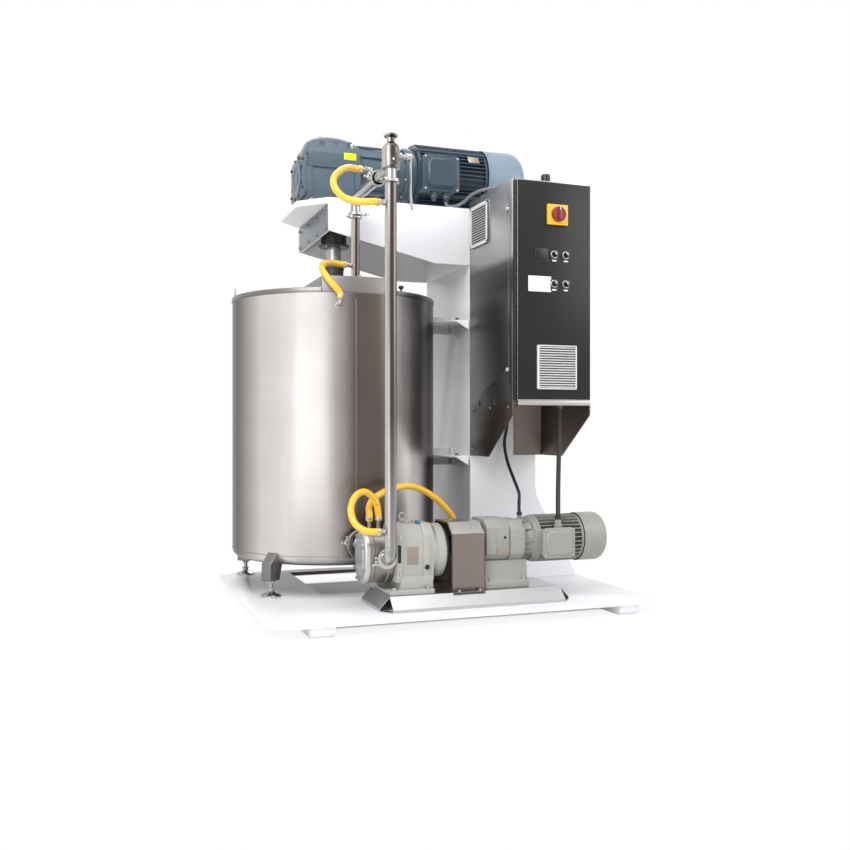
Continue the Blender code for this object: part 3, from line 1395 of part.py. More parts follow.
def make_pump_drive(rotor_upper):
    """The guarded coupling, the reducer and the pump's motor with its terminal box, cowl and fan."""
    y = py(PUMP_Y)
    left = px(GUARD_LEFT)
    right = px(GUARD_RIGHT)
    guard = prism(guard_section(y, 0.0), "YZ", left, right)
    tunnel = prism(guard_section(y, GUARD_WALL), "YZ", left - 0.01, right + 0.01)
    part(cut(guard, tunnel), "coupling_guard", (0.50, 0.46, 0.44), 0.3, 1.0)

    hub_left = px(COUPLING_LEFT)
    hub_right = px(COUPLING_RIGHT)
    hub = rod((hub_left, y, DRIVE_Z), (hub_right, y, DRIVE_Z), COUPLING_R)
    stub_end = px(REDUCER_LEFT) + 0.05
    stub = rod((hub_right - 0.01, y, DRIVE_Z), (stub_end, y, DRIVE_Z), ROTOR_SHAFT_R, sides=SHAFT_SIDES)
    socket = rod(
        (hub_left - 0.01, y, DRIVE_Z),
        (hub_right - 0.02 + GAP, y, DRIVE_Z),
        ROTOR_SHAFT_R + GAP,
        sides=SHAFT_SIDES,
    )
    coupling = part(cut(join(hub, stub), socket), "pump_coupling", (0.08, 0.08, 0.09), 0.5, 0.2)
    pivot("pump_drive_axis", (px(HEAD_LEFT), y, DRIVE_Z), rotor_upper, coupling)

    case_left = px(REDUCER_LEFT)
    case_right = px(REDUCER_RIGHT)
    motor_left = px(PUMP_MOTOR_LEFT)
    body = rod((case_left, y, PUMP_MOTOR_Z), (case_right, y, PUMP_MOTOR_Z), REDUCER_R)
    cone = rod(
        (case_right - 0.03, y, PUMP_MOTOR_Z),
        (motor_left - GAP, y, PUMP_MOTOR_Z),
        REDUCER_R * 0.8,
        PUMP_MOTOR_R * 0.95,
    )
    block = box(
        (case_left + 0.004, y - GEAR_CASE_HALF, TRAY_TOP + GAP),
        (case_right - 0.004, y + GEAR_CASE_HALF, REDUCER_BLOCK_TOP),
        0.008,
    )
    gland_x = px(REDUCER_GLAND_X)
    gland_y = py(REDUCER_GLAND_Y)
    gland = rod(
        (gland_x, gland_y, PUMP_MOTOR_Z + 0.6 * REDUCER_R),
        (gland_x, gland_y, REDUCER_GLAND_TOP),
        REDUCER_GLAND_R,
        sides=FEW_SIDES,
    )
    output_bore = rod(
        (case_left - 0.01, y, DRIVE_Z), (stub_end + RUN, y, DRIVE_Z), ROTOR_BORE_R, sides=SHAFT_SIDES
    )
    input_start = case_right - 0.03
    input_bore = rod(
        (input_start, y, PUMP_MOTOR_Z),
        (motor_left + 0.01, y, PUMP_MOTOR_Z),
        ROTOR_BORE_R,
        sides=SHAFT_SIDES,
    )
    join(body, cone, block, gland)
    part(cut(body, output_bore, input_bore), "reducer", (0.60, 0.62, 0.58), 0.45)

    motor_right = px(PUMP_MOTOR_RIGHT)
    outline = finned_outline(y, PUMP_MOTOR_Z, PUMP_MOTOR_CORE_R, PUMP_MOTOR_R, PUMP_MOTOR_FINS)
    bore = circle(y, PUMP_MOTOR_Z, ROTOR_BORE_R, SHAFT_SIDES)
    frame = prism(outline, "YZ", motor_left, motor_right, [bore])
    terminal = box(
        (px(PUMP_BOX_LEFT), py(PUMP_BOX_FRONT), PUMP_BOX_BOTTOM),
        (px(PUMP_BOX_RIGHT), y - PUMP_MOTOR_CORE_R + 0.02, PUMP_BOX_TOP),
        0.008,
    )
    gland_x = px(PUMP_GLAND_X)
    gland_y = py(PUMP_GLAND_Y)
    conduit_gland = rod(
        (gland_x, gland_y, PUMP_BOX_TOP - 0.02),
        (gland_x, gland_y, PUMP_BOX_TOP + PUMP_GLAND_TALL),
        GLAND_R,
        sides=FEW_SIDES,
    )
    part(join(frame, terminal, conduit_gland), "pump_motor_frame", (0.60, 0.62, 0.58), 0.45)

    length = PUMP_COWL_RIGHT - PUMP_MOTOR_RIGHT - GAP
    cowl = fan_cowl(PUMP_COWL_R, COWL_WALL, length, PUMP_COWL_DOME, (motor_right + GAP, y, PUMP_MOTOR_Z))
    part(cowl, "pump_motor_cowl", (0.62, 0.64, 0.60), 0.4)
    fan_left = motor_right + 0.4 * length
    fan = prism(
        fan_outline(y, PUMP_MOTOR_Z, 0.022, PUMP_COWL_R * 0.78, FAN_BLADES), "YZ", fan_left, fan_left + 0.02
    )
    shaft = rod(
        (input_start + 0.01, y, PUMP_MOTOR_Z),
        (fan_left + 0.03, y, PUMP_MOTOR_Z),
        ROTOR_SHAFT_R,
        sides=SHAFT_SIDES,
    )
    part(join(shaft, fan), "pump_motor_rotor", (0.25, 0.25, 0.25), 0.5, 0.5)
    pivot("pump_motor_axis", (motor_left, y, PUMP_MOTOR_Z), shaft)


def make_cabinet():
    """The cabinet body with its side lip, side vent and top cap, its mounting plate and two side locks."""
    left = px(COLUMN_LEFT)
    right = px(CABINET_RIGHT)
    front = py(CABINET_FRONT)
    back = py(COLUMN_FRONT) - GAP
    body = box((left, front, CABINET_BOTTOM), (right, back, CABINET_TOP))
    lip = box((left, front - SIDE_LIP, CABINET_BOTTOM), (left + SHEET, front + SIDE_LIP, CABINET_TOP))
    vent_half = GRILLE / 2
    vent = box(
        (left - GRILLE_T, py(VENT_Y) - vent_half, VENT_Z - vent_half),
        (left + SHEET / 2, py(VENT_Y) + vent_half, VENT_Z + vent_half),
    )
    cap_place = Vector((px(TOP_CAP_X), py(TOP_CAP_Y), CABINET_TOP))
    cap = rod(
        cap_place - Vector((0, 0, SHEET / 2)), cap_place + Vector((0, 0, TOP_CAP_TALL)), TOP_CAP_R
    )
    gland_x = px(TOP_GLAND_X)
    gland_z = CABINET_TOP + TOP_GLAND_LIFT
    gland = rod(
        (gland_x, py(TOP_GLAND_BACK), gland_z),
        (gland_x, py(TOP_GLAND_FRONT), gland_z),
        TOP_GLAND_R,
        sides=FEW_SIDES,
    )
    cavity = box(
        (left + SHEET, front + SHEET, CABINET_BOTTOM + SHEET),
        (right - SHEET, back - SHEET, CABINET_TOP - SHEET),
    )
    mouth = box(
        (left + FRAME_W, front - 0.01, CABINET_BOTTOM + FRAME_W),
        (right - FRAME_W, front + 2 * SHEET, CABINET_TOP - FRAME_W),
    )
    join(body, lip, vent, cap, gland)
    cut(body, cavity, mouth)
    lock_y = py(LOCK_Y)
    for height in LOCK_ZS:
        cut(body, rod((left - 0.01, lock_y, height), (left + 0.01, lock_y, height), LOCK_R * 0.7 + GAP))
    part(body, "cabinet_body", (0.62, 0.61, 0.60), 0.3, 1.0)
    for name, height in zip(("lock_upper", "lock_lower"), LOCK_ZS):
        lock_profile = [
            (0.0, LOCK_OUT),
            (LOCK_R, LOCK_OUT),
            (LOCK_R, GAP),
            (LOCK_R * 0.7, GAP),
            (LOCK_R * 0.7, -0.02),
            (0.0, -0.02),
        ]
        lock = turned(lock_profile, (left, lock_y, height), (-1, 0, 0))
        part(lock, name, (0.70, 0.70, 0.70), 0.2, 1.0)
    plate = box(
        (left + 0.022, back - SHEET - GAP - SHEET, CABINET_BOTTOM + 0.05),
        (right - 0.022, back - SHEET - GAP, CABINET_TOP - 0.05),
    )
    part(plate, "mounting_plate", (0.70, 0.70, 0.66), 0.4, 0.8)
    make_bracket()


def make_bracket():
    """The bracket under the cabinet: a top plate, two slanted cheeks, a back plate and two cable glands."""
    left = px(COLUMN_LEFT)
    right = px(CABINET_RIGHT)
    front = py(CABINET_FRONT) - SIDE_LIP
    back = py(COLUMN_FRONT) - GAP
    top = CABINET_BOTTOM - GAP
    plate = box((left, front + SIDE_LIP, top - BRACKET_T), (right, back, top))
    cheek = [
        (front, top),
        (front, BRACKET_NOSE),
        (back - BRACKET_HEEL, BRACKET_BOTTOM),
        (back, BRACKET_BOTTOM),
        (back, top),
    ]
    left_cheek = prism(cheek, "YZ", left, left + BRACKET_T)
    right_cheek = prism(cheek, "YZ", right - BRACKET_T, right)
    back_plate = box(
        (px(BRACKET_BACK_LEFT), back - BRACKET_T, BRACKET_BOTTOM), (right - BRACKET_T / 2, back, top)
    )
    join(plate, left_cheek, right_cheek, back_plate)
    glands = (
        (CONDUIT_GLAND_X, CONDUIT_GLAND_Y, GLAND_R),
        (CONTROL_GLAND_X, CONTROL_GLAND_Y, CONTROL_GLAND_R),
    )
    for x, y, radius in glands:
        foot = top - BRACKET_GLAND_TALL
        join(plate, rod((px(x), py(y), top - BRACKET_T / 2), (px(x), py(y), foot), radius, sides=FEW_SIDES))
    part(plate, "cabinet_bracket", (0.60, 0.59, 0.58), 0.3, 1.0)


def make_door():
    """The cabinet's door with its filter grille, main switch knob and four selector knobs."""
    left = px(DOOR_LEFT)
    right = px(DOOR_RIGHT)
    front = FRONT_FACE_Y
    back = py(CABINET_FRONT) - GAP
    leaf = box((left, front, DOOR_BOTTOM), (right, back, CABINET_TOP))
    pocket = box(
        (left + FRAME_W, front + DOOR_SKIN, DOOR_BOTTOM + FRAME_W),
        (right - FRAME_W, back + 0.01, CABINET_TOP - FRAME_W),
    )
    door = part(cut(leaf, pocket), "cabinet_door", (0.035, 0.032, 0.032), 0.35, 0.3)
    half = GRILLE / 2
    face = front - GAP
    grille = box(
        (px(GRILLE_X) - half, face - GRILLE_T, GRILLE_Z - half),
        (px(GRILLE_X) + half, face, GRILLE_Z + half),
        0.003,
    )
    part(grille, "filter_grille", (0.62, 0.62, 0.60), 0.5)
    switch_profile = [
        (0.0, SWITCH_PLATE_T + SWITCH_KNOB_T),
        (SWITCH_R * 0.9, SWITCH_PLATE_T + SWITCH_KNOB_T),
        (SWITCH_R, SWITCH_PLATE_T + SWITCH_KNOB_T * 0.8),
        (SWITCH_R, SWITCH_PLATE_T + RUN),
        (SWITCH_STEM_R, SWITCH_PLATE_T + RUN),
        (SWITCH_STEM_R, 0.0),
        (0.0, 0.0),
    ]
    switch = turned(switch_profile, (px(SWITCH_X), face, SWITCH_Z), (0, -1, 0))
    part(switch, "main_switch_knob", (0.55, 0.02, 0.03), 0.35)
    pieces = [door, grille, switch]
    number = 1
    for height in SELECTOR_ZS:
        for aside in SELECTOR_ASIDES:
            profile = [
                (0.0, SELECTOR_T),
                (SELECTOR_R * 0.8, SELECTOR_T),
                (SELECTOR_R * 0.8, SELECTOR_T * 0.3),
                (SELECTOR_R, SELECTOR_T * 0.25),
                (SELECTOR_R, 0.0),
                (0.0, 0.0),
            ]
            selector = turned(profile, (px(DOOR_MIDDLE + aside), face, height), (0, -1, 0), sides=FEW_SIDES)
            pieces.append(part(selector, f"selector_{number}", (0.03, 0.03, 0.03), 0.4))
            number += 1
    pivot("door_hinge", (right, front, CABINET_BOTTOM), *pieces)


def make_hoses():
    """The four yellow water hoses, the black conduit and the two cables, each from fitting to fitting."""
    riser_left = RISER_X - RISER_NIPPLE_REACH - GAP
    yellow = (0.85, 0.52, 0.06)
    routes = {
        "hose_top": [
            (riser_left, RISER_Y, RISER_NIPPLE_TOP_Z),
            (0.462, RISER_Y, RISER_NIPPLE_TOP_Z),
            (0.412, 0.142, 1.786),
            (0.354, 0.180, 1.805),
            (0.327, 0.240, 1.859),
            (0.336, 0.290, 1.915),
            (0.380, 0.340, 1.964),
            (0.430, 0.400, 1.996),
            (0.474, BRANCH_NIPPLE_Y, BRANCH_NIPPLE_Z),
            (RISER_X - BRANCH_NIPPLE_REACH - GAP, BRANCH_NIPPLE_Y, BRANCH_NIPPLE_Z),
        ],
        "hose_lid": [
            (RISER_X - DROP_NIPPLE_REACH - GAP, DROP_Y, DROP_NIPPLE_Z),
            (0.465, DROP_Y, DROP_NIPPLE_Z),
            (0.425, 0.655, 1.614),
            (0.390, 0.625, 1.607),
            (0.352, 0.575, 1.583),
            (0.347, 0.517, 1.545),
            (0.374, 0.488, 1.498),
            (WALL_NIPPLE_X, WALL_NIPPLE_Y, 1.452),
            (WALL_NIPPLE_X, WALL_NIPPLE_Y, WALL_NIPPLE_Z + WALL_NIPPLE_TALL + GAP),
        ],
        "hose_pump": [
            (riser_left, RISER_Y, RISER_NIPPLE_LOW_Z),
            (0.465, RISER_Y, RISER_NIPPLE_LOW_Z),
            (0.425, 0.142, 0.412),
            (0.391, 0.170, 0.445),
            (0.386, 0.200, 0.502),
            (0.415, 0.225, 0.550),
            (0.461, 0.245, 0.565),
            (0.512, 0.264, 0.528),
            (HEAD_NIPPLE_XS[0], PUMP_Y, 0.470),
            (HEAD_NIPPLE_XS[0], PUMP_Y, HEAD_NIPPLE_TOP + GAP),
        ],
        "hose_supply": [
            (HEAD_NIPPLE_XS[1], PUMP_Y, HEAD_NIPPLE_TOP + GAP),
            (HEAD_NIPPLE_XS[1], PUMP_Y, 0.466),
            (0.497, 0.300, 0.497),
            (0.530, 0.338, 0.528),
            (0.600, 0.380, 0.557),
            (0.696, 0.410, 0.576),
            (0.779, 0.440, 0.561),
            (0.874, 0.465, 0.508),
            (0.952, 0.480, 0.430),
            (1.005, 0.500, 0.330),
            (1.022, 0.520, 0.220),
            (DECK_NIPPLE_X, DECK_NIPPLE_Y, 0.140),
            (DECK_NIPPLE_X, DECK_NIPPLE_Y, DECK + DECK_NIPPLE_TALL + GAP),
        ],
    }
    for name, route in routes.items():
        points = [(px(x), py(y), z) for x, y, z in route]
        part(tube(points, HOSE_R), name, yellow, 0.35)
    bracket_gland = CABINET_BOTTOM - GAP - BRACKET_GLAND_TALL - GAP
    conduit = [
        (PUMP_GLAND_X, PUMP_GLAND_Y, PUMP_BOX_TOP + PUMP_GLAND_TALL + GAP),
        (PUMP_GLAND_X, PUMP_GLAND_Y, 0.465),
        (1.360, 0.184, 0.545),
        (1.378, 0.214, 0.640),
        (1.405, 0.258, 0.760),
        (1.425, 0.291, 0.860),
        (CONDUIT_GLAND_X, CONDUIT_GLAND_Y, 0.905),
        (CONDUIT_GLAND_X, CONDUIT_GLAND_Y, bracket_gland),
    ]
    points = [(px(x), py(y), z) for x, y, z in conduit]
    part(tube(points, CONDUIT_R), "pump_conduit", (0.02, 0.02, 0.025), 0.5)
    control = [
        (CONTROL_GLAND_X, CONTROL_GLAND_Y, bracket_gland),
        (CONTROL_GLAND_X, CONTROL_GLAND_Y, 0.900),
        (1.340, 0.692, 0.840),
        (1.338, 0.714, 0.760),
        (1.343, 0.690, 0.670),
        (1.346, 0.625, 0.580),
        (1.318, 0.500, 0.500),
        (1.254, 0.360, 0.490),
        (REDUCER_GLAND_X, REDUCER_GLAND_Y, 0.468),
        (REDUCER_GLAND_X, REDUCER_GLAND_Y, REDUCER_GLAND_TOP + GAP),
    ]
    points = [(px(x), py(y), z) for x, y, z in control]
    part(tube(points, CABLE_R, spacing=0.04), "control_cable", (0.02, 0.02, 0.022), 0.5)
    gland_x = BOX_LEFT + 0.68 * (BOX_RIGHT - BOX_LEFT)
    lead = [
        (gland_x, BOX_FRONT + 0.03, BOX_BOTTOM - 0.04 - GAP),
        (gland_x, BOX_FRONT + 0.03, 1.972),
        (1.066, 0.798, 1.962),
        (1.098, 0.778, 1.962),
        (1.128, 0.742, 1.978),
        (1.145, 0.690, 2.001),
        (1.170, 0.610, 2.008),
        (1.210, 0.520, 2.003),
        (1.248, 0.475, 1.998),
        (TOP_GLAND_X, 0.452, CABINET_TOP + TOP_GLAND_LIFT),
        (TOP_GLAND_X, TOP_GLAND_BACK + GAP, CABINET_TOP + TOP_GLAND_LIFT),
    ]
    points = [(px(x), py(y), z) for x, y, z in lead]
    part(tube(points, CABLE_R, spacing=0.04), "motor_cable", (0.20, 0.20, 0.21), 0.5)


def build():
    clear_scene()
    make_base()
    make_column()
    make_arm()
    make_tank()
    make_lid()
    make_agitator()
    make_gearbox()
    make_motor()
    make_chocolate_line()
    make_pump_drive(make_pump())
    make_cabinet()
    make_door()
    make_hoses()
    bpy.context.view_layer.update()


build()
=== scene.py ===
"""The looks of a chocolate grinding machine: its finishes, hoses, cables, fasteners, plates and grilles.

Lengths are in metres. Places along X and Y are stated from the base plate's left and front edges, and
heights from the floor.
"""

import math

import bmesh
import bpy
from bpy.props import FloatProperty, FloatVectorProperty, IntProperty, PointerProperty
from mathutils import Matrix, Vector


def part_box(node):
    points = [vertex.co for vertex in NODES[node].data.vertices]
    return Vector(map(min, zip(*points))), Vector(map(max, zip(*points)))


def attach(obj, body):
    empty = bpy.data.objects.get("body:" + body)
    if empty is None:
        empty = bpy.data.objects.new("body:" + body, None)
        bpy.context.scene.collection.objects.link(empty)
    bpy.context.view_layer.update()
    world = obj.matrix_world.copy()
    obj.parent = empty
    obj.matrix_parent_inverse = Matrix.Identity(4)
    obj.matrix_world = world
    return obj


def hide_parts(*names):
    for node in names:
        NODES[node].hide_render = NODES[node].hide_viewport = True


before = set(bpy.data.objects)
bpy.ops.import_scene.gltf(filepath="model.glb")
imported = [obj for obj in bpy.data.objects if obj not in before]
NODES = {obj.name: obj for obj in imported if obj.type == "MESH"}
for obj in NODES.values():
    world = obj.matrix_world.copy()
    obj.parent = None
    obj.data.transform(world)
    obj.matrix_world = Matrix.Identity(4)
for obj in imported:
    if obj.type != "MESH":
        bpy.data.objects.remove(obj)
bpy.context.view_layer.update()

bl_info = {
    "name": "Chocolate grinding machine", "version": (1, 0, 0), "blender": (4, 5, 0),
    "location": "View3D > Sidebar > Grinder",
    "description": "Builds the looks of a chocolate grinding machine around its fixed solids",
    "category": "Object"
}

PLATE_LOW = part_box("base_plate")[0]

# The photograph's camera: its frame in pixels, focal length, principal point, place and heading
PHOTO_SIDE = 850.0
FOCAL_PX = 944.04
CENTRE_PX = (418.07, 426.89)
SENSOR_MM = 36.0
CAMERA_PLACE = (-1.5805, -4.4178, 0.8445)
CAMERA_YAW = 19.72

# Facets of round pieces
SMOOTH = 48
ROUND = 24

# Shared axes and faces: the chocolate line's pipes, the pump, the drive over the tank and the cabinet
LINE_X, RISER_Y, DROP_Y = 0.540, 0.130, 0.670
PUMP_Y, PORT_Z, PUMP_MOTOR_Z = 0.275, 0.280, 0.332
DRIVE_Y, MOTOR_Z = 1.020, 2.155
CABINET_LEFT, DOOR_FACE = 1.162, 0.248

TANK_LEGS = [f"tank_leg_{end}_{side}" for end in ("front", "back") for side in ("left", "right")]
WHITE = (1.0, 1.0, 1.0, 1.0)

LEFT = Vector((-1, 0, 0))
RIGHT = Vector((1, 0, 0))
FRONT = Vector((0, -1, 0))
BACK = Vector((0, 1, 0))
UP = Vector((0, 0, 1))
DOWN = Vector((0, 0, -1))


def at(x, y, z):
    """A point from its distances to the plate's left and front edges, and its height."""
    return Vector((PLATE_LOW.x + x, PLATE_LOW.y + y, z))


def middle(node):
    low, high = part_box(node)
    return (low + high) / 2


class GRINDER_PG_paints(bpy.types.PropertyGroup):
    """The colours of the machine's finishes."""

    white: FloatVectorProperty(
        name="White paint", description="Base plate, column and arm", subtype="COLOR",
        default=(0.86, 0.86, 0.88)
    )
    tank: FloatVectorProperty(
        name="Tank steel", description="Brushed stainless steel of the tank", subtype="COLOR",
        default=(0.47, 0.45, 0.44)
    )
    pipe: FloatVectorProperty(
        name="Pipe steel", description="Polished stainless steel of the pipes", subtype="COLOR",
        default=(0.44, 0.43, 0.42)
    )
    drive: FloatVectorProperty(
        name="Drive paint", description="Gearbox over the tank", subtype="COLOR",
        default=(0.070, 0.105, 0.135)
    )
    motor: FloatVectorProperty(
        name="Motor paint", description="Motor over the tank", subtype="COLOR", default=(0.030, 0.055, 0.080)
    )
    cowl: FloatVectorProperty(
        name="Cowl paint", description="Fan cowl of the upper motor", subtype="COLOR",
        default=(0.21, 0.28, 0.35)
    )
    pump: FloatVectorProperty(
        name="Pump paint", description="Pump's gear case, reducer and motor", subtype="COLOR",
        default=(0.40, 0.395, 0.36)
    )
    hose: FloatVectorProperty(
        name="Hose", description="Water hoses", subtype="COLOR", default=(0.90, 0.52, 0.025)
    )
    door: FloatVectorProperty(
        name="Door", description="Cabinet door", subtype="COLOR", default=(0.0105, 0.0085, 0.0085)
    )
    switch_plate: FloatVectorProperty(
        name="Switch plate", description="Plate behind the main switch", subtype="COLOR",
        default=(0.86, 0.47, 0.03)
    )
    switch_knob: FloatVectorProperty(
        name="Switch knob", description="Main switch", subtype="COLOR", default=(0.20, 0.005, 0.014)
    )


class GRINDER_PG_sizes(bpy.types.PropertyGroup):
    """The sizes of what repeats on the machine."""

    bridge_bolt: FloatProperty(
        name="Bridge bolt", description="Width of a bolt's head on the tank's bridge", unit="LENGTH",
        default=0.016
    )
    motor_fins: IntProperty(
        name="Motor fins", description="Cooling fins round the upper motor", default=46, min=8
    )
    pump_fins: IntProperty(
        name="Pump motor fins", description="Cooling fins round the pump's motor", default=34, min=8
    )
    grille_slats: IntProperty(
        name="Grille slats", description="Slats of the door's filter grille", default=17, min=4
    )
    vent_slats: IntProperty(name="Vent slats", description="Slats of the side vent", default=15, min=4)
    hose_radius: FloatProperty(
        name="Hose radius", description="Outer radius of a water hose", unit="LENGTH", default=0.015
    )
    conduit_radius: FloatProperty(
        name="Conduit radius", description="Outer radius of the pump motor's conduit", unit="LENGTH",
        default=0.0105
    )
    cable_radius: FloatProperty(
        name="Cable radius", description="Outer radius of the cables", unit="LENGTH", default=0.008
    )


class Tone:
    """A number that varies over a surface. Python's operators on it add Math nodes."""

    def __init__(self, surface, socket):
        self.surface = surface
        self.socket = socket

    def joined(self, operation, first, second):
        return Tone(self.surface, self.surface.maths(operation, first, second))

    def __add__(self, other):
        return self.joined("ADD", self, other)

    def __radd__(self, other):
        return self.joined("ADD", other, self)

    def __sub__(self, other):
        return self.joined("SUBTRACT", self, other)

    def __rsub__(self, other):
        return self.joined("SUBTRACT", other, self)

    def __mul__(self, other):
        return self.joined("MULTIPLY", self, other)

    def __rmul__(self, other):
        return self.joined("MULTIPLY", other, self)

    def __truediv__(self, other):
        return self.joined("DIVIDE", self, other)

    def __rtruediv__(self, other):
        return self.joined("DIVIDE", other, self)

    def __pow__(self, other):
        return self.joined("POWER", self, other)

    def __gt__(self, other):
        return self.joined("GREATER_THAN", self, other)

    def __lt__(self, other):
        return self.joined("LESS_THAN", self, other)


class Nodes:
    """A node tree under construction."""

    def __init__(self, tree):
        self.tree = tree

    def node(self, kind, settings=None, sockets=None):
        """Adds a node, with its settings first and then the values or links of its sockets."""
        node = self.tree.nodes.new(kind)
        for name, value in (settings or {}).items():
            if name == "stops":
                while len(node.color_ramp.elements) < len(value):
                    node.color_ramp.elements.new(1.0)
                for element, (position, colour) in zip(node.color_ramp.elements, value):
                    element.position = position
                    element.color = colour
            else:
                setattr(node, name, value)
        for key, value in (sockets or {}).items():
            self.plug(node.inputs[key], value)
        return node

    def first(self, kind, settings=None, sockets=None):
        """The first output of a new node."""
        return self.node(kind, settings, sockets).outputs[0]

    def plug(self, socket, value):
        if isinstance(value, Tone):
            value = value.socket
        if isinstance(value, bpy.types.NodeSocket):
            self.tree.links.new(value, socket)
        else:
            socket.default_value = value

    def maths(self, operation, first, second=0.0):
        return self.first("ShaderNodeMath", {"operation": operation}, {0: first, 1: second})

    def vectors(self, operation, first, second=(0, 0, 0)):
        return self.first("ShaderNodeVectorMath", {"operation": operation}, {0: first, 1: second})


class Surface(Nodes):
    """A material under construction, with the nodes behind its shader."""

    def __init__(self, name, colour, roughness, metallic=0.0):
        self.material = bpy.data.materials.new(name)
        self.material.use_nodes = True
        super().__init__(self.material.node_tree)
        self.shader = self.tree.nodes["Principled BSDF"]
        self.place = self.node("ShaderNodeTexCoord").outputs["Object"]
        self.colour = (*colour, 1.0)
        self.feed(**{"Base Color": self.colour, "Roughness": roughness, "Metallic": metallic})
        self.material.diffuse_color = self.colour

    def feed(self, **sockets):
        for name, value in sockets.items():
            self.plug(self.shader.inputs[name], value)

    def along(self, axis, place=None):
        """One coordinate of a place."""
        return Tone(self, self.node("ShaderNodeSeparateXYZ", None, {0: place or self.place}).outputs[axis])

    def noise(self, scale, stretch=(1, 1, 1), detail=2.0, place=None):
        spot = self.first("ShaderNodeMapping", None, {"Vector": place or self.place, "Scale": stretch})
        return Tone(
            self, self.first("ShaderNodeTexNoise", None, {"Vector": spot, "Scale": scale, "Detail": detail})
        )

    def ramp(self, share, stops, top):
        """A level between stops. A ramp's colours end at 1, so the levels are divided by their top first."""
        colours = [(position, (level / top,) * 3 + (1.0,)) for position, level in stops]
        return Tone(self, self.first("ShaderNodeValToRGB", {"stops": colours}, {"Fac": share})) * top

    def mixed(self, factor, first, second):
        return self.node("ShaderNodeMix", {"data_type": "RGBA"}, {0: factor, 6: first, 7: second}).outputs[2]

    def own_colour(self):
        return self.shader.inputs["Base Color"].links[0].from_socket

    def shaded(self, colour, level):
        """Makes a colour times a level the base colour."""
        scaled = self.first("ShaderNodeVectorMath", {"operation": "SCALE"}, {0: colour, "Scale": level})
        self.feed(**{"Base Color": scaled})

    def tinted(self, factor, dark, light):
        """The base colour times one of two brightnesses, mixed by a factor."""
        shades = [tuple(min(1.0, c * level) for c in self.colour[:3]) + (1.0,) for level in (dark, light)]
        return self.mixed(factor, *shades)

    def bumped(self, height, strength, distance=0.001):
        sockets = {"Strength": strength, "Distance": distance, "Height": height}
        self.feed(Normal=self.first("ShaderNodeBump", None, sockets))


def painted(name, colour, roughness=0.35, grain=260.0, bump=0.12, coat=0.0, soil=0.06):
    """Paint with an orange-peel surface, uneven gloss and a little dirt."""
    surface = Surface(name, colour, roughness)
    cloud = surface.noise(3.0, detail=4.0)
    speck = surface.noise(grain, detail=3.0)
    surface.feed(**{"Base Color": surface.tinted(cloud * 0.7 + speck * 0.3, 1.0 - soil, 1.0 + soil / 2)})
    surface.feed(Roughness=roughness - 0.05 + cloud * 0.12)
    surface.bumped(speck, bump, 0.0006)
    surface.shader.inputs["Coat Weight"].default_value = coat
    surface.shader.inputs["Coat Roughness"].default_value = 0.2
    return surface


def brushed(name, colour, roughness, stretch, contrast=0.12, bump=0.05):
    """Stainless steel with fine scratches along one direction, which has the smallest stretch."""
    surface = Surface(name, colour, roughness, 1.0)
    grain = surface.noise(1.0, stretch, detail=5.0)
    cloud = surface.noise(2.2, detail=3.0)
    tone = grain * 0.55 + cloud * 0.45
    surface.feed(**{"Base Color": surface.tinted(tone, 1.0 - contrast, 1.0 + contrast)})
    surface.feed(Roughness=roughness - 0.08 + grain * 0.10 + cloud * 0.06)
    surface.bumped(grain, bump, 0.0003)
    return surface


# Painted reflection bands: brightness of the tank's rolled sheet, by its angle about the tank's axis in
# degrees
TANK_REFLECTION_BANDS = (
    (-180, 0.03), (-171, 0.12), (-165, 0.42), (-155, 0.90), (-146, 1.40), (-131, 1.48), (-123, 1.12),
    (-118, 0.96), (-108, 0.92), (-100, 0.62), (-95, 0.42), (-92, 0.28), (-80, 0.24), (-73, 0.40), (-67, 1.10),
    (-61, 1.50), (-57, 1.15), (-52, 1.00), (-45, 0.50), (-38, 0.10), (-25, 0.30), (0, 0.80), (40, 1.10),
    (75, 0.55), (110, 1.25), (150, 0.50), (180, 0.15)
)

# Painted reflection bands: brightness of an upright pipe's polished wall, by its angle
PIPE_REFLECTION_BANDS = (
    (-180, 1.00), (-165, 1.15), (-155, 1.50), (-140, 1.00), (-125, 0.60), (-112, 0.22), (-95, 0.15),
    (-80, 0.24), (-55, 0.60), (-20, 0.95), (60, 1.15), (120, 0.80), (180, 1.00)
)

# The brightest band that a ramp may hold, and the brightest level of a wall
BAND_TOP = 1.6
WALL_TOP = 1.25

# Brightness by height painted onto left faces: painted reflections on the cabinet's mirror-like left side,
# and painted shade on the column's left face, darkest just below each tie shelf
CABINET_REFLECTION_LEVELS = (
    (0.96, 0.36), (1.10, 0.34), (1.26, 0.40), (1.36, 0.44), (1.46, 0.26), (1.50, 0.14), (1.56, 0.17),
    (1.60, 0.26), (1.635, 0.90), (1.69, 0.98), (1.84, 1.12), (1.91, 1.25), (2.02, 1.25)
)
COLUMN_SHADE_LEVELS = (
    (0.06, 0.85), (0.35, 0.62), (0.67, 0.42), (0.695, 0.96), (1.00, 0.92), (1.20, 0.66), (1.37, 0.50),
    (1.39, 1.0)
)
# Brightness by height of the cabinet bracket's left face: painted shade under the cabinet
BRACKET_SHADE_LEVELS = ((0.70, 0.75), (0.86, 0.60), (0.96, 0.60))

# The brown painted shadow on the deck under the tank, and the height that the deck lies above
DECK_SHADE = (0.16, 0.115, 0.10, 1.0)
DECK_LEVEL = 0.05

# The distance between the conduit's ribs
RIB_PITCH = 0.005


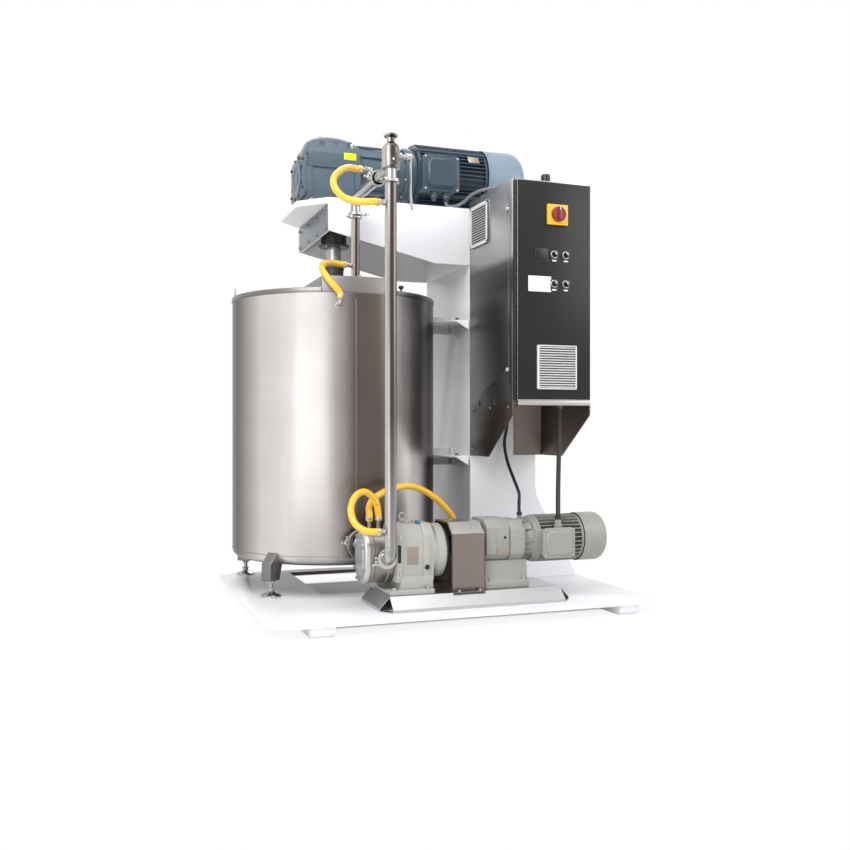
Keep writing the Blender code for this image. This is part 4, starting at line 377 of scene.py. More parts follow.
def banded(name, colour, roughness, axis, bands, calm=0.0):
    """Upright round steel with painted reflection bands in its base colour, by angle about its axis. They
    soften towards the floor.
    """
    surface = Surface(name, colour, roughness, 1.0)
    centred = surface.vectors("SUBTRACT", surface.place, tuple(axis))
    turn = Tone(surface, surface.maths("ARCTAN2", surface.along("Y", centred), surface.along("X", centred)))
    wander = surface.noise(5.0, (1, 1, 0.05), 3.0, centred)
    share = turn / (2 * math.pi) + 0.5 + (wander - 0.5) * 0.008
    level = surface.ramp(share, [(angle / 360 + 0.5, level) for angle, level in bands], BAND_TOP)
    reach = {"Value": surface.along("Z"), "From Min": 0.3, "From Max": 0.9, "To Min": calm, "To Max": 0.0}
    soft = Tone(surface, surface.first("ShaderNodeMapRange", None, reach))
    level = level * (1.0 - soft) + soft * 1.15
    grain = surface.noise(1.0, (420, 420, 14), detail=4.0)
    weave = surface.noise(1.0, (60, 60, 260), detail=2.0)
    cloud = surface.noise(3.0, (1, 1, 1.6), detail=3.0)
    fine = grain * 0.6 + weave * 0.4
    strength = level * ((fine - 0.5) * 0.14 + (cloud - 0.5) * 0.24 + 1.0)
    # The darkest bands take a warm brown tint: a painted warm reflection
    brown = surface.first(
        "ShaderNodeMath", {"operation": "MULTIPLY", "use_clamp": True}, {0: 0.62 - level, 1: 2.6}
    )
    warm = (colour[0], colour[1] * 0.84, colour[2] * 0.78, 1.0)
    surface.shaded(surface.mixed(brown, surface.colour, warm), strength)
    surface.feed(Roughness=roughness - 0.05 + fine * 0.14)
    surface.bumped(fine, 0.06, 0.0003)
    return surface.material


def sided(surface, edge, levels):
    """Paints light and shade onto what lies left of an edge, by its height: painted reflections on the
    cabinet's side, painted shade on the column and the cabinet's bracket.
    """
    low, high = levels[0][0], levels[-1][0]
    share = (surface.along("Z") - low) / (high - low)
    shade = surface.ramp(share, [((z - low) / (high - low), level) for z, level in levels], WALL_TOP)
    surface.shaded(surface.own_colour(), (shade - 1.0) * (surface.along("X") < edge) + 1.0)
    return surface.material


def paint_deck_shadow(surface, axis, near, far):
    """Paints a brown shadow onto the deck about an axis, under the tank: painted shade, strongest near the
    axis.
    """
    offset = surface.vectors("MULTIPLY", surface.vectors("SUBTRACT", surface.place, tuple(axis)), (1, 1, 0))
    reach = surface.node("ShaderNodeVectorMath", {"operation": "LENGTH"}, {0: offset}).outputs["Value"]
    sockets = {"Value": reach, "From Min": near, "From Max": far}
    bare = Tone(surface, surface.first("ShaderNodeMapRange", {"interpolation_type": "SMOOTHSTEP"}, sockets))
    # Painted shadow only on the deck's top, fading out between the near and far radii
    shade = (1.0 - bare) * (surface.along("Z") > DECK_LEVEL)
    surface.feed(**{"Base Color": surface.mixed(shade, surface.own_colour(), DECK_SHADE)})
    return surface.material


def cast(name, colour, roughness=0.42, bump=0.30):
    """Painted cast metal: a coarser skin than sheet, darker in its pits."""
    surface = Surface(name, colour, roughness)
    skin = surface.noise(150.0, detail=4.0)
    cloud = surface.noise(4.5, detail=3.0)
    surface.feed(**{"Base Color": surface.tinted(skin * 0.5 + cloud * 0.5, 0.84, 1.14)})
    surface.feed(Roughness=roughness - 0.06 + skin * 0.14)
    surface.bumped(skin, bump, 0.0008)
    return surface.material


def moulded(name, colour, roughness=0.4, coat=0.0, grain=500.0, bump=0.05):
    """Moulded plastic or rubber with a fine even grain."""
    surface = Surface(name, colour, roughness)
    skin = surface.noise(grain, detail=2.0)
    cloud = surface.noise(9.0, detail=2.0)
    surface.feed(**{"Base Color": surface.tinted(cloud, 0.93, 1.07)})
    surface.feed(Roughness=roughness - 0.04 + skin * 0.08)
    surface.bumped(skin, bump, 0.0004)
    surface.shader.inputs["Coat Weight"].default_value = coat
    return surface.material


def hose_rubber(name, colour):
    """Glossy yellow hose, with a faint lengthwise ripple and handling marks."""
    surface = Surface(name, colour, 0.30)
    marks = surface.noise(26.0, detail=4.0)
    ripple = surface.noise(160.0, detail=2.0)
    worn = surface.mixed((marks > 0.66) * 0.35, surface.colour, (0.42, 0.17, 0.01, 1.0))
    surface.feed(**{"Base Color": worn})
    surface.feed(Roughness=0.24 + marks * 0.18)
    surface.bumped(ripple, 0.10, 0.0006)
    surface.shader.inputs["Coat Weight"].default_value = 0.35
    return surface.material


def ribbed(name, colour):
    """Corrugated black conduit, with its ribs across its mostly upright run, lighter on their crests and
    darker in their troughs as painted highlight and shade.
    """
    surface = Surface(name, colour, 0.42)
    ribs = Tone(surface, surface.maths("SINE", surface.along("Z") * (2 * math.pi / RIB_PITCH)))
    # Painted highlight on the ribs' crests and painted shade in their troughs
    surface.feed(**{"Base Color": surface.tinted(ribs * 0.5 + 0.5, 0.6, 1.6)})
    surface.bumped(ribs, 0.5, 0.0012)
    return surface.material


def door_steel(name, colour):
    """Dark brushed door with fine level scratches and a soft sheen."""
    surface = Surface(name, colour, 0.36, 0.35)
    grain = surface.noise(1.0, (9, 40, 520), detail=4.0)
    cloud = surface.noise(2.6, detail=3.0)
    surface.feed(**{"Base Color": surface.tinted(grain * 0.6 + cloud * 0.4, 0.70, 1.45)})
    surface.feed(Roughness=0.28 + grain * 0.16)
    surface.bumped(grain, 0.06, 0.0003)
    return surface.material


FINISHES = {}


def finish(name):
    return FINISHES[name]


def make_finishes(paints):
    """Makes every finish once, from the colours that the settings hold."""
    wall = PLATE_LOW.x + CABINET_LEFT + 0.0035
    riser, drop = at(LINE_X, RISER_Y, 0.0), at(LINE_X, DROP_Y, 0.0)
    tank = middle("tank_vessel")
    tank.z = 0.0
    FINISHES.update(
        white_paint=painted("white_paint", paints.white, 0.34, coat=0.25, soil=0.05).material,
        column_paint=sided(
            painted("column_paint", paints.white, 0.34, coat=0.25, soil=0.05), wall, COLUMN_SHADE_LEVELS
        ),
        tank_steel=banded("tank_steel", tuple(paints.tank), 0.28, tank, TANK_REFLECTION_BANDS),
        lid_steel=brushed("lid_steel", (0.24, 0.23, 0.225), 0.38, (30, 30, 400)).material,
        pipe_steel=brushed("pipe_steel", paints.pipe, 0.22, (300, 300, 20), 0.10, 0.03).material,
        riser_steel=banded("riser_steel", tuple(paints.pipe), 0.20, riser, PIPE_REFLECTION_BANDS, 0.6),
        drop_steel=banded("drop_steel", tuple(paints.pipe), 0.20, drop, PIPE_REFLECTION_BANDS),
        pump_steel=brushed("pump_steel", (0.58, 0.58, 0.59), 0.32, (20, 300, 300)).material,
        head_steel=brushed("head_steel", (0.30, 0.275, 0.26), 0.34, (20, 300, 300)).material,
        deck_paint=paint_deck_shadow(painted("deck_paint", paints.white, 0.34, coat=0.25, soil=0.04), tank, 0.34, 0.56),
        guard_steel=brushed("guard_steel", (0.25, 0.21, 0.195), 0.32, (300, 300, 14)).material,
        cabinet_steel=sided(
            brushed("cabinet_steel", (0.46, 0.455, 0.455), 0.40, (60, 60, 5), 0.05), wall, CABINET_REFLECTION_LEVELS
        ),
        bracket_steel=sided(
            brushed("bracket_steel", (0.20, 0.165, 0.145), 0.42, (40, 40, 12), 0.20), wall, BRACKET_SHADE_LEVELS
        ),
        shaft_steel=brushed("shaft_steel", (0.42, 0.41, 0.40), 0.32, (40, 40, 300)).material,
        zinc=brushed("zinc", (0.55, 0.54, 0.52), 0.26, (200, 200, 200), 0.30, 0.08).material,
        dark_casting=cast("dark_casting", (0.045, 0.040, 0.038), 0.45),
        gearbox_paint=cast("gearbox_paint", paints.drive, 0.36, 0.22),
        motor_paint=cast("motor_paint", paints.motor, 0.36, 0.18),
        cowl_paint=painted("cowl_paint", paints.cowl, 0.32, coat=0.2).material,
        pump_paint=cast("pump_paint", paints.pump, 0.38, 0.20),
        # The reducer and the pump's motor take a darker copy of the pump's paint: painted shade on their
        # round sides
        drive_grey=cast("drive_grey", (0.31, 0.305, 0.28), 0.38, 0.20),
        yellow_hose=hose_rubber("yellow_hose", paints.hose),
        black_rubber=moulded("black_rubber", (0.012, 0.012, 0.014), 0.46, grain=300.0, bump=0.12),
        conduit_rubber=ribbed("conduit_rubber", (0.014, 0.014, 0.016)),
        grey_sheath=moulded("grey_sheath", (0.20, 0.20, 0.205), 0.42),
        black_plastic=moulded("black_plastic", (0.014, 0.014, 0.015), 0.34, 0.1),
        display_glass=moulded("display_glass", (0.002, 0.002, 0.006), 0.36),
        white_plastic=moulded("white_plastic", (0.80, 0.80, 0.78), 0.35),
        filter_plastic=moulded("filter_plastic", (0.74, 0.74, 0.72), 0.38),
        yellow_plate=moulded("yellow_plate", paints.switch_plate, 0.30, 0.3),
        red_knob=moulded("red_knob", paints.switch_knob, 0.24, 0.5),
        yellow_sticker=moulded("yellow_sticker", (0.82, 0.72, 0.0), 0.35),
        blue_cap=moulded("blue_cap", (0.010, 0.11, 0.30), 0.30, 0.3),
        red_cap=moulded("red_cap", (0.55, 0.03, 0.06), 0.30, 0.3),
        arm_steel=brushed("arm_steel", (0.26, 0.275, 0.30), 0.42, (10, 16, 60), 0.5).material,
        bare_plate=brushed("bare_plate", (0.36, 0.31, 0.27), 0.38, (200, 200, 20)).material,
        door_paint=door_steel("door_paint", paints.door)
    )


def own(obj, surface, body="machine", replaces=()):
    """Gives a finished piece its surface, its body and its slot, and the solids it stands for."""
    obj.data.materials.clear()
    obj.data.materials.append(finish(surface))
    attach(obj, body)
    if replaces:
        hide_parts(*replaces)
    return obj


class Shape:
    """The closed solids of one piece, gathered in one mesh."""

    def __init__(self):
        self.mesh = bmesh.new()

    def loft(self, rings, closed=False):
        """Skins rings of points. One point alone is a tip. A closed loft joins its last ring to the first."""
        made = [[self.mesh.verts.new(p) for p in ring] for ring in rings]
        pairs = list(zip(made, made[1:]))
        if closed:
            pairs.append((made[-1], made[0]))
        faces = []
        for low, high in pairs:
            count = max(len(low), len(high))
            for i in range(count):
                j = (i + 1) % count
                corners = [low[i % len(low)], low[j % len(low)], high[j % len(high)], high[i % len(high)]]
                corners = list(dict.fromkeys(corners))
                if len(corners) > 2:
                    faces.append(self.mesh.faces.new(corners))
        if not closed:
            for end in (made[0], made[-1]):
                if len(end) > 2:
                    faces.append(self.mesh.faces.new(end))
        bmesh.ops.recalc_face_normals(self.mesh, faces=faces)
        return faces

    def turned(self, profile, base, along=UP, sides=SMOOTH, closed=False):
        """A turned solid. Its profile holds (radius, distance along) points from one end to the other."""
        base = Vector(base)
        turn = UP.rotation_difference(Vector(along))
        rings = []
        for radius, reach in profile:
            if radius < 1e-6:
                rings.append([base + turn @ Vector((0, 0, reach))])
                continue
            step = 2 * math.pi / sides
            ring = [(radius * math.cos(i * step), radius * math.sin(i * step), reach) for i in range(sides)]
            rings.append([base + turn @ Vector(p) for p in ring])
        return self.loft(rings, closed)

    def rod(self, start, end, radius, end_radius=None, sides=ROUND, edge=0.0):
        """A cylinder or cone between two points, with its ends' edges broken."""
        start = Vector(start)
        along = Vector(end) - start
        length = along.length
        last = radius if end_radius is None else end_radius
        profile = [(radius, 0.0), (last, length)]
        if edge:
            profile = [(radius - edge, 0.0), (radius, edge), (last, length - edge), (last - edge, length)]
        return self.turned(profile, start, along, sides)

    def slab(self, points, offset, edge=0.0):
        """A flat outline given a thickness."""
        low = [self.mesh.verts.new(p) for p in points]
        high = [self.mesh.verts.new(Vector(p) + Vector(offset)) for p in points]
        faces = [self.mesh.faces.new(low), self.mesh.faces.new(high)]
        count = len(points)
        for i in range(count):
            j = (i + 1) % count
            faces.append(self.mesh.faces.new((low[i], low[j], high[j], high[i])))
        bmesh.ops.recalc_face_normals(self.mesh, faces=faces)
        if edge:
            self.soften(faces, edge)
        return faces

    def soften(self, faces, width, segments=2, angle=35.0):
        """Rounds the sharp edges of some faces."""
        edges = {e for f in faces for e in f.edges if e.calc_face_angle(0.0) > math.radians(angle)}
        bmesh.ops.bevel(
            self.mesh, geom=list(edges), offset=width, segments=segments, profile=0.5, affect="EDGES",
            clamp_overlap=True
        )

    def box(self, low, high, edge=0.0, segments=2):
        low = Vector(low)
        high = Vector(high)
        points = [
            (low.x, low.y, low.z), (high.x, low.y, low.z), (high.x, high.y, low.z), (low.x, high.y, low.z)
        ]
        faces = self.slab(points, (0, 0, high.z - low.z))
        if edge:
            self.soften(faces, edge, segments)
        return faces

    def block(self, centre, sizes, first, second, edge=0.0):
        """A box about a centre, with its first two sides along two square directions."""
        first = Vector(first).normalized()
        second = Vector(second).normalized()
        third = first.cross(second)
        a, b, c = first * sizes[0] / 2, second * sizes[1] / 2, third * sizes[2] / 2
        centre = Vector(centre)
        points = [centre - a - b - c, centre + a - b - c, centre + a + b - c, centre - a + b - c]
        return self.slab(points, 2 * c, edge)

    def ring(self, inner, outer, start, end, sides=SMOOTH, edge=0.0):
        """A collar between two points on its axis."""
        start = Vector(start)
        along = Vector(end) - start
        length = along.length
        profile = [
            (inner, 0.0), (outer - edge, 0.0), (outer, edge), (outer, length - edge), (outer - edge, length)
        ]
        if not edge:
            profile = [(inner, 0.0), (outer, 0.0), (outer, length)]
        profile.append((inner, length))
        return self.turned(profile, start, along, sides, closed=True)

    def tube(self, points, radius, sides=12):
        """A round bar through points, with a square frame carried along it."""
        points = [Vector(p) for p in points]
        ends = zip([points[0], *points], [*points[1:], points[-1]])
        tangents = [(b - a).normalized() for a, b in list(ends)[: len(points)]]
        side = tangents[0].orthogonal().normalized()
        rings = []
        for point, tangent in zip(points, tangents):
            side = (side - tangent * side.dot(tangent)).normalized()
            other = tangent.cross(side)
            step = 2 * math.pi / sides
            rings.append(
                [
                    point + radius * (side * math.cos(i * step) + other * math.sin(i * step))
                    for i in range(sides)
                ]
            )
        return self.loft(rings)

    def piece(self, name, surface, body="machine", replaces=(), sharp=32.0):
        """Ends the mesh and makes it a piece of the machine."""
        data = bpy.data.meshes.new(name)
        self.mesh.to_mesh(data)
        self.mesh.free()
        data.shade_smooth()
        data.set_sharp_from_angle(angle=math.radians(sharp))
        obj = bpy.data.objects.new(name, data)
        bpy.context.scene.collection.objects.link(obj)
        return own(obj, surface, body, replaces)


def softened(node, surface, width=0.0015, body="machine"):
    """A piece in the shape of a fixed solid, with its sharp edges rounded."""
    shape = Shape()
    shape.mesh.from_mesh(NODES[node].data)
    shape.mesh.transform(NODES[node].matrix_world)
    bmesh.ops.remove_doubles(shape.mesh, verts=shape.mesh.verts, dist=0.00001)
    bmesh.ops.dissolve_limit(
        shape.mesh, angle_limit=math.radians(1.0), verts=shape.mesh.verts, edges=shape.mesh.edges
    )
    shape.soften(shape.mesh.faces[:], width)
    return shape.piece(f"{node}_form", surface, body, (node,))


def arc(centre, radius, start, end, count):
    """Points (u, v) of an arc, with its ends, at angles in degrees."""
    step = math.radians(end - start) / (count - 1)
    first = math.radians(start)
    return [
        (centre[0] + radius * math.cos(first + i * step), centre[1] + radius * math.sin(first + i * step))
        for i in range(count)
    ]


def spoke(degrees):
    """A direction square to X, at an angle from the back towards the top."""
    turn = math.radians(degrees)
    return Vector((0, math.cos(turn), math.sin(turn)))


def heading(degrees):
    """A level direction, at an angle from the right towards the back."""
    turn = math.radians(degrees)
    return Vector((math.cos(turn), math.sin(turn), 0))


def frame_bars(low_u, low_v, high_u, high_v, left, right, bottom, top):
    """The four bars of a rectangular frame, each as its low and high corner, from the bars' widths."""
    return (
        ((low_u, low_v), (high_u, low_v + bottom)), ((low_u, high_v - top), (high_u, high_v)),
        ((low_u, low_v), (low_u + left, high_v)), ((high_u - right, low_v), (high_u, high_v))
    )


def on_plane(points, plane, level):
    """Lifts (u, v) points onto the plane X, Y or Z at a level."""
    if plane == "X":
        return [Vector((level, u, v)) for u, v in points]
    if plane == "Y":
        return [Vector((u, level, v)) for u, v in points]
    return [Vector((u, v, level)) for u, v in points]


def chamfered(low_u, low_v, high_u, high_v, corner):
    """A rectangle's outline with cut corners."""
    return [
        (low_u + corner, low_v), (high_u - corner, low_v), (high_u, low_v + corner),
        (high_u, high_v - corner), (high_u - corner, high_v), (low_u + corner, high_v),
        (low_u, high_v - corner), (low_u, low_v + corner)
    ]


def obround(centre_u, centre_v, half_w, half_h, count=13):
    """An upright outline with round ends."""
    lift = half_h - half_w
    top = arc((centre_u, centre_v + lift), half_w, 0.0, 180.0, count)
    bottom = arc((centre_u, centre_v - lift), half_w, 180.0, 360.0, count)
    return top + bottom


def knuckle(radius, bottom, corner, count=12):
    """Points (radius, height) down a quarter round from a wall to its bottom."""
    points = []
    for i in range(count):
        turn = math.pi / 2 * i / (count - 1)
        points.append((radius - corner + corner * math.cos(turn), bottom + corner - corner * math.sin(turn)))
    return points


def bead(start, end, spacing=0.012):
    """Points along a weld bead, which waves a little."""
    start, end = Vector(start), Vector(end)
    along = end - start
    count = max(3, round(along.length / spacing))
    side = along.orthogonal().normalized()
    wave = [0.0006 * math.sin(2.4 * i) for i in range(count + 1)]
    return [start + along * (i / count) + side * wave[i] for i in range(count + 1)]


def fan_cowl(shape, base, length, outer, wall, corner, steps, hole, sides):
    """A fan's cowl about X: a thin wall, rounded towards its end, with an air hole."""
    curve = arc((outer - corner, length - corner), corner, 0.0, 90.0, steps)
    inner = [(radius - wall, reach - wall) for radius, reach in reversed(curve)]
    profile = [(outer, 0.0), *curve, (hole, length), (hole, length - wall), *inner, (outer - wall, 0.0)]
    shape.turned(profile, base, RIGHT, sides, closed=True)


def fan_grid(shape, end, radii, half, sides, bar):
    """Rings and crossed bars over a cowl's air hole."""
    for radius in radii:
        shape.ring(radius - half, radius + half, end - RIGHT * 0.003, end - RIGHT * 0.0005, sides)
    for turn in (0, 45, 90, 135):
        shape.block(end - RIGHT * 0.002, bar, spoke(turn), RIGHT)


class Tree(Nodes):
    """A Geometry Nodes group under construction, with named inputs for its sizes."""

    def __init__(self, name, inputs):
        super().__init__(bpy.data.node_groups.new(name, "GeometryNodeTree"))
        face = self.tree.interface
        face.new_socket(name="Geometry", in_out="INPUT", socket_type="NodeSocketGeometry")
        for label, kind in (*inputs, ("Material", "Material")):
            face.new_socket(name=label, in_out="INPUT", socket_type=f"NodeSocket{kind}")
        face.new_socket(name="Geometry", in_out="OUTPUT", socket_type="NodeSocketGeometry")
        self.given = self.node("NodeGroupInput")

    def input(self, label):
        return self.given.outputs[label]

    def vector(self, x, y, z):
        return self.first("ShaderNodeCombineXYZ", None, {"X": x, "Y": y, "Z": z})

    def finished(self, instances):
        """Ends the tree in real geometry with a material."""
        real = self.first("GeometryNodeRealizeInstances", None, {"Geometry": instances})
        dressed = self.first(
            "GeometryNodeSetMaterial", None, {"Geometry": real, "Material": self.input("Material")}
        )
        self.node("NodeGroupOutput", None, {"Geometry": dressed})
        return self.tree


def fastener_tree():
    """Bolt heads with washers, one on each point, turned to the point's facing."""
    tree = Tree("fasteners", (("Across", "Float"), ("Head", "Float"), ("Sides", "Int")))
    facing = tree.first("GeometryNodeInputNamedAttribute", {"data_type": "FLOAT_VECTOR"}, {"Name": "facing"})
    turn = tree.first("FunctionNodeAlignRotationToVector", {"axis": "Z"}, {"Vector": facing})
    radius = tree.maths("MULTIPLY", tree.input("Across"), 0.5)
    head = tree.first(
        "GeometryNodeMeshCylinder", None,
        {"Vertices": tree.input("Sides"), "Radius": radius, "Depth": tree.input("Head")}
    )
    lift = tree.maths("MULTIPLY", tree.input("Head"), 0.62)
    raised = tree.first(
        "GeometryNodeTransform", None, {"Geometry": head, "Translation": tree.vector(0.0, 0.0, lift)}
    )
    washer_r = tree.maths("MULTIPLY", radius, 1.3)
    washer_t = tree.maths("MULTIPLY", tree.input("Head"), 0.24)
    washer = tree.first(
        "GeometryNodeMeshCylinder", None, {"Vertices": 16, "Radius": washer_r, "Depth": washer_t}
    )
    joined = tree.node("GeometryNodeJoinGeometry", None, {0: raised})
    tree.plug(joined.inputs[0], washer)
    points = tree.first("GeometryNodeMeshToPoints", None, {"Mesh": tree.input("Geometry")})
    placed = tree.first(
        "GeometryNodeInstanceOnPoints", None,
        {"Points": points, "Instance": joined.outputs[0], "Rotation": turn}
    )
    return tree.finished(placed)


def slat_tree():
    """Equal slats in a row: their size, first place, step and tilt."""
    tree = Tree(
        "slats",
        (("Count", "Int"), ("Size", "Vector"), ("Start", "Vector"), ("Step", "Vector"), ("Tilt", "Rotation"))
    )
    line = tree.first(
        "GeometryNodeMeshLine", {"mode": "OFFSET"},
        {"Count": tree.input("Count"), "Start Location": tree.input("Start"), "Offset": tree.input("Step")}
    )
    slat = tree.first("GeometryNodeMeshCube", None, {"Size": tree.input("Size")})
    placed = tree.first(
        "GeometryNodeInstanceOnPoints", None,
        {"Points": line, "Instance": slat, "Rotation": tree.input("Tilt")}
    )
    return tree.finished(placed)


def fin_tree():
    """Cooling fins that stand on a round core along X."""
    tree = Tree(
        "fins",
        (
            ("Count", "Int"), ("Core", "Float"), ("Reach", "Float"), ("Length", "Float"),
            ("Thickness", "Float"), ("Centre", "Vector")
        )
    )
    half = tree.maths("MULTIPLY", tree.maths("ADD", tree.input("Core"), tree.input("Reach")), 0.5)
    tall = tree.maths("SUBTRACT", tree.input("Reach"), tree.input("Core"))
    circle = tree.first("GeometryNodeMeshCircle", None, {"Vertices": tree.input("Count"), "Radius": half})
    size = tree.vector(tall, tree.input("Thickness"), tree.input("Length"))
    fin = tree.first("GeometryNodeMeshCube", None, {"Size": size})
    spot = tree.first("GeometryNodeInputPosition")
    turn = tree.first("FunctionNodeAlignRotationToVector", {"axis": "X", "pivot_axis": "Z"}, {"Vector": spot})
    placed = tree.first(
        "GeometryNodeInstanceOnPoints", None, {"Points": circle, "Instance": fin, "Rotation": turn}
    )
    laid = tree.first(
        "GeometryNodeTransform", None,
        {"Geometry": placed, "Translation": tree.input("Centre"), "Rotation": (0, math.pi / 2, 0)}
    )
    return tree.finished(laid)


TREES = {}


def grown(tree_name, maker, name, surface, inputs, base=None, body="machine"):
    """Runs a Geometry Nodes tree on a base mesh and makes the result a piece."""
    if tree_name not in TREES:
        TREES[tree_name] = maker()
    group = TREES[tree_name]
    obj = bpy.data.objects.new(name, base or bpy.data.meshes.new(name))
    bpy.context.scene.collection.objects.link(obj)
    modifier = obj.modifiers.new("grown", "NODES")
    modifier.node_group = group
    inputs = {**inputs, "Material": finish(surface)}
    for item in group.interface.items_tree:
        if item.item_type == "SOCKET" and item.in_out == "INPUT" and item.name in inputs:
            modifier[item.identifier] = inputs[item.name]
    bpy.context.view_layer.update()
    mesh = bpy.data.meshes.new_from_object(obj.evaluated_get(bpy.context.evaluated_depsgraph_get()))
    obj.modifiers.remove(modifier)
    obj.data = mesh
    mesh.name = name
    mesh.set_sharp_from_angle(angle=math.radians(32))
    return own(obj, surface, body)


def bolts(name, places, across=0.016, head=0.008, sides=6, surface="zinc", body="machine"):
    """Bolt heads at (point, facing) places."""
    mesh = bpy.data.meshes.new(name)
    mesh.from_pydata([tuple(point) for point, _ in places], [], [])
    facing = mesh.attributes.new("facing", "FLOAT_VECTOR", "POINT")
    for i, (_, direction) in enumerate(places):
        facing.data[i].vector = Vector(direction)
    return grown(
        "fasteners", fastener_tree, name, surface, {"Across": across, "Head": head, "Sides": sides}, mesh,
        body
    )


def slats(name, surface, count, size, start, step, tilt=(0.0, 0.0, 0.0), body="machine"):
    inputs = {"Count": count, "Size": tuple(size), "Start": tuple(start), "Step": tuple(step), "Tilt": tilt}
    return grown("slats", slat_tree, name, surface, inputs, body=body)


def fins(name, surface, count, core, reach, length, thickness, centre):
    inputs = {
        "Count": count, "Core": core, "Reach": reach, "Length": length, "Thickness": thickness,
        "Centre": tuple(centre)
    }
    return grown("fins", fin_tree, name, surface, inputs)


def around(centre, axis, radius, count, start=0.0):
    """Points on a circle about an axis, each with the axis as its facing."""
    axis = Vector(axis)
    turn = UP.rotation_difference(axis)
    places = []
    for i in range(count):
        angle = math.radians(start) + 2 * math.pi * i / count
        offset = turn @ Vector((radius * math.cos(angle), radius * math.sin(angle), 0))
        places.append((Vector(centre) + offset, axis))
    return places


def ring_clamp(shape, centre, axis, radius, side, width=0.016):
    """A two-part ring clamp about a pipe joint, with its lug, swing bolt and wing nut on one side."""
    axis = Vector(axis).normalized()
    side = Vector(side).normalized()
    across = axis.cross(side)
    centre = Vector(centre)
    outer = radius + 0.006
    profile = [
        (radius - 0.008, -width / 2), (outer - 0.002, -width / 2), (outer, -width / 3), (outer, width / 3),
        (outer - 0.002, width / 2), (radius - 0.008, width / 2)
    ]
    shape.turned(profile, centre, axis, ROUND + 8, closed=True)
    lug = centre + side * (outer + 0.006)
    for reach in (-0.008, 0.008):
        shape.block(lug + across * reach, (0.018, 0.006, width * 0.8), side, across, 0.0015)
    shape.rod(lug - across * 0.014, lug + across * 0.026, 0.0032, sides=12)
    nut = lug + across * 0.018
    shape.rod(nut - across * 0.005, nut + across * 0.006, 0.0068, sides=12, edge=0.001)
    for wing in (-1, 1):
        shape.block(nut + side * wing * 0.012 + across * 0.004, (0.014, 0.011, 0.0035), side, across, 0.0015)
    hinge = centre - side * (outer + 0.002)
    shape.rod(hinge - axis * width * 0.45, hinge + axis * width * 0.45, 0.005, sides=12)


def smooth_route(points, spacing):
    """Points at even spacing along a smooth curve through a route's own points."""
    knots = [Vector(p) for p in points]
    padded = [2 * knots[0] - knots[1], *knots, 2 * knots[-1] - knots[-2]]
    fine = []
    for a, b, c, d in zip(padded, padded[1:], padded[2:], padded[3:]):
        for i in range(24):
            t = i / 24
            linear = (c - a) * t
            square = (2 * a - 5 * b + 4 * c - d) * t * t
            cubic = (3 * b - a - 3 * c + d) * t * t * t
            fine.append(0.5 * (2 * b + linear + square + cubic))
    fine.append(knots[-1])
    lengths = [(q - p).length for p, q in zip(fine, fine[1:])]
    count = max(2, round(sum(lengths) / spacing))
    step = sum(lengths) / count
    even = [fine[0]]
    travelled = 0.0
    for p, q, length in zip(fine, fine[1:], lengths):
        while len(even) < count and travelled + length >= step * len(even):
            even.append(p.lerp(q, (step * len(even) - travelled) / length))
        travelled += length
    even.append(fine[-1])
    return even


def free_cord(name, route, radius, surface, node, spacing=0.012):
    """A hose or cable along a route, from one fitting of the machine to another."""
    line = smooth_route(route, spacing)
    data = bpy.data.curves.new(name, "CURVE")
    data.dimensions = "3D"
    data.bevel_depth = radius
    data.bevel_resolution = 6
    data.use_fill_caps = True
    spline = data.splines.new("POLY")
    spline.points.add(len(line) - 1)
    for point, place in zip(spline.points, line):
        point.co = (*place, 1.0)
    obj = bpy.data.objects.new(name, data)
    bpy.context.scene.collection.objects.link(obj)
    own(obj, surface, "machine", (node,))
    length = sum((q - p).length for p, q in zip(line, line[1:]))
    return line


def hose_ends(shape, line, radius):
    """A band clamp near each end of a hose."""
    for ends in (line, line[::-1]):
        direction = (ends[1] - ends[0]).normalized()
        start = ends[0] + direction * 0.006
        shape.ring(radius - 0.001, radius + 0.0022, start, start + direction * 0.011, ROUND, 0.0008)
        side = direction.orthogonal().normalized()
        shape.block(
            start + direction * 0.0055 + side * (radius + 0.004), (0.007, 0.009, 0.012), side, direction,
            0.001
        )


HOSE_ROUTES = {
    "hose_top": [
        (0.4947, 0.130, 1.788), (0.462, 0.130, 1.788), (0.412, 0.142, 1.786), (0.354, 0.180, 1.805),
        (0.327, 0.240, 1.859), (0.336, 0.290, 1.915), (0.380, 0.340, 1.964), (0.430, 0.400, 1.996),
        (0.474, 0.430, 2.003), (0.5047, 0.430, 2.003)
    ],
    "hose_lid": [
        (0.4977, 0.670, 1.614), (0.465, 0.670, 1.614), (0.425, 0.655, 1.614), (0.390, 0.625, 1.607),
        (0.352, 0.575, 1.583), (0.347, 0.517, 1.545), (0.374, 0.488, 1.498), (0.4143, 0.485, 1.452),
        (0.4143, 0.485, 1.4253)
    ],
    "hose_pump": [
        (0.4947, 0.130, 0.405), (0.465, 0.130, 0.405), (0.425, 0.142, 0.412), (0.391, 0.170, 0.445),
        (0.386, 0.200, 0.502), (0.415, 0.225, 0.550), (0.461, 0.245, 0.565), (0.512, 0.264, 0.528),
        (0.530, 0.275, 0.470), (0.530, 0.275, 0.4373)
    ],
    "hose_supply": [
        (0.490, 0.275, 0.4373), (0.490, 0.275, 0.466), (0.497, 0.300, 0.497), (0.530, 0.338, 0.528),
        (0.600, 0.380, 0.557), (0.696, 0.410, 0.576), (0.779, 0.440, 0.561), (0.874, 0.465, 0.508),
        (0.952, 0.480, 0.430), (1.005, 0.500, 0.330), (1.022, 0.520, 0.220), (1.030, 0.530, 0.140),
        (1.030, 0.530, 0.1103)
    ]
}

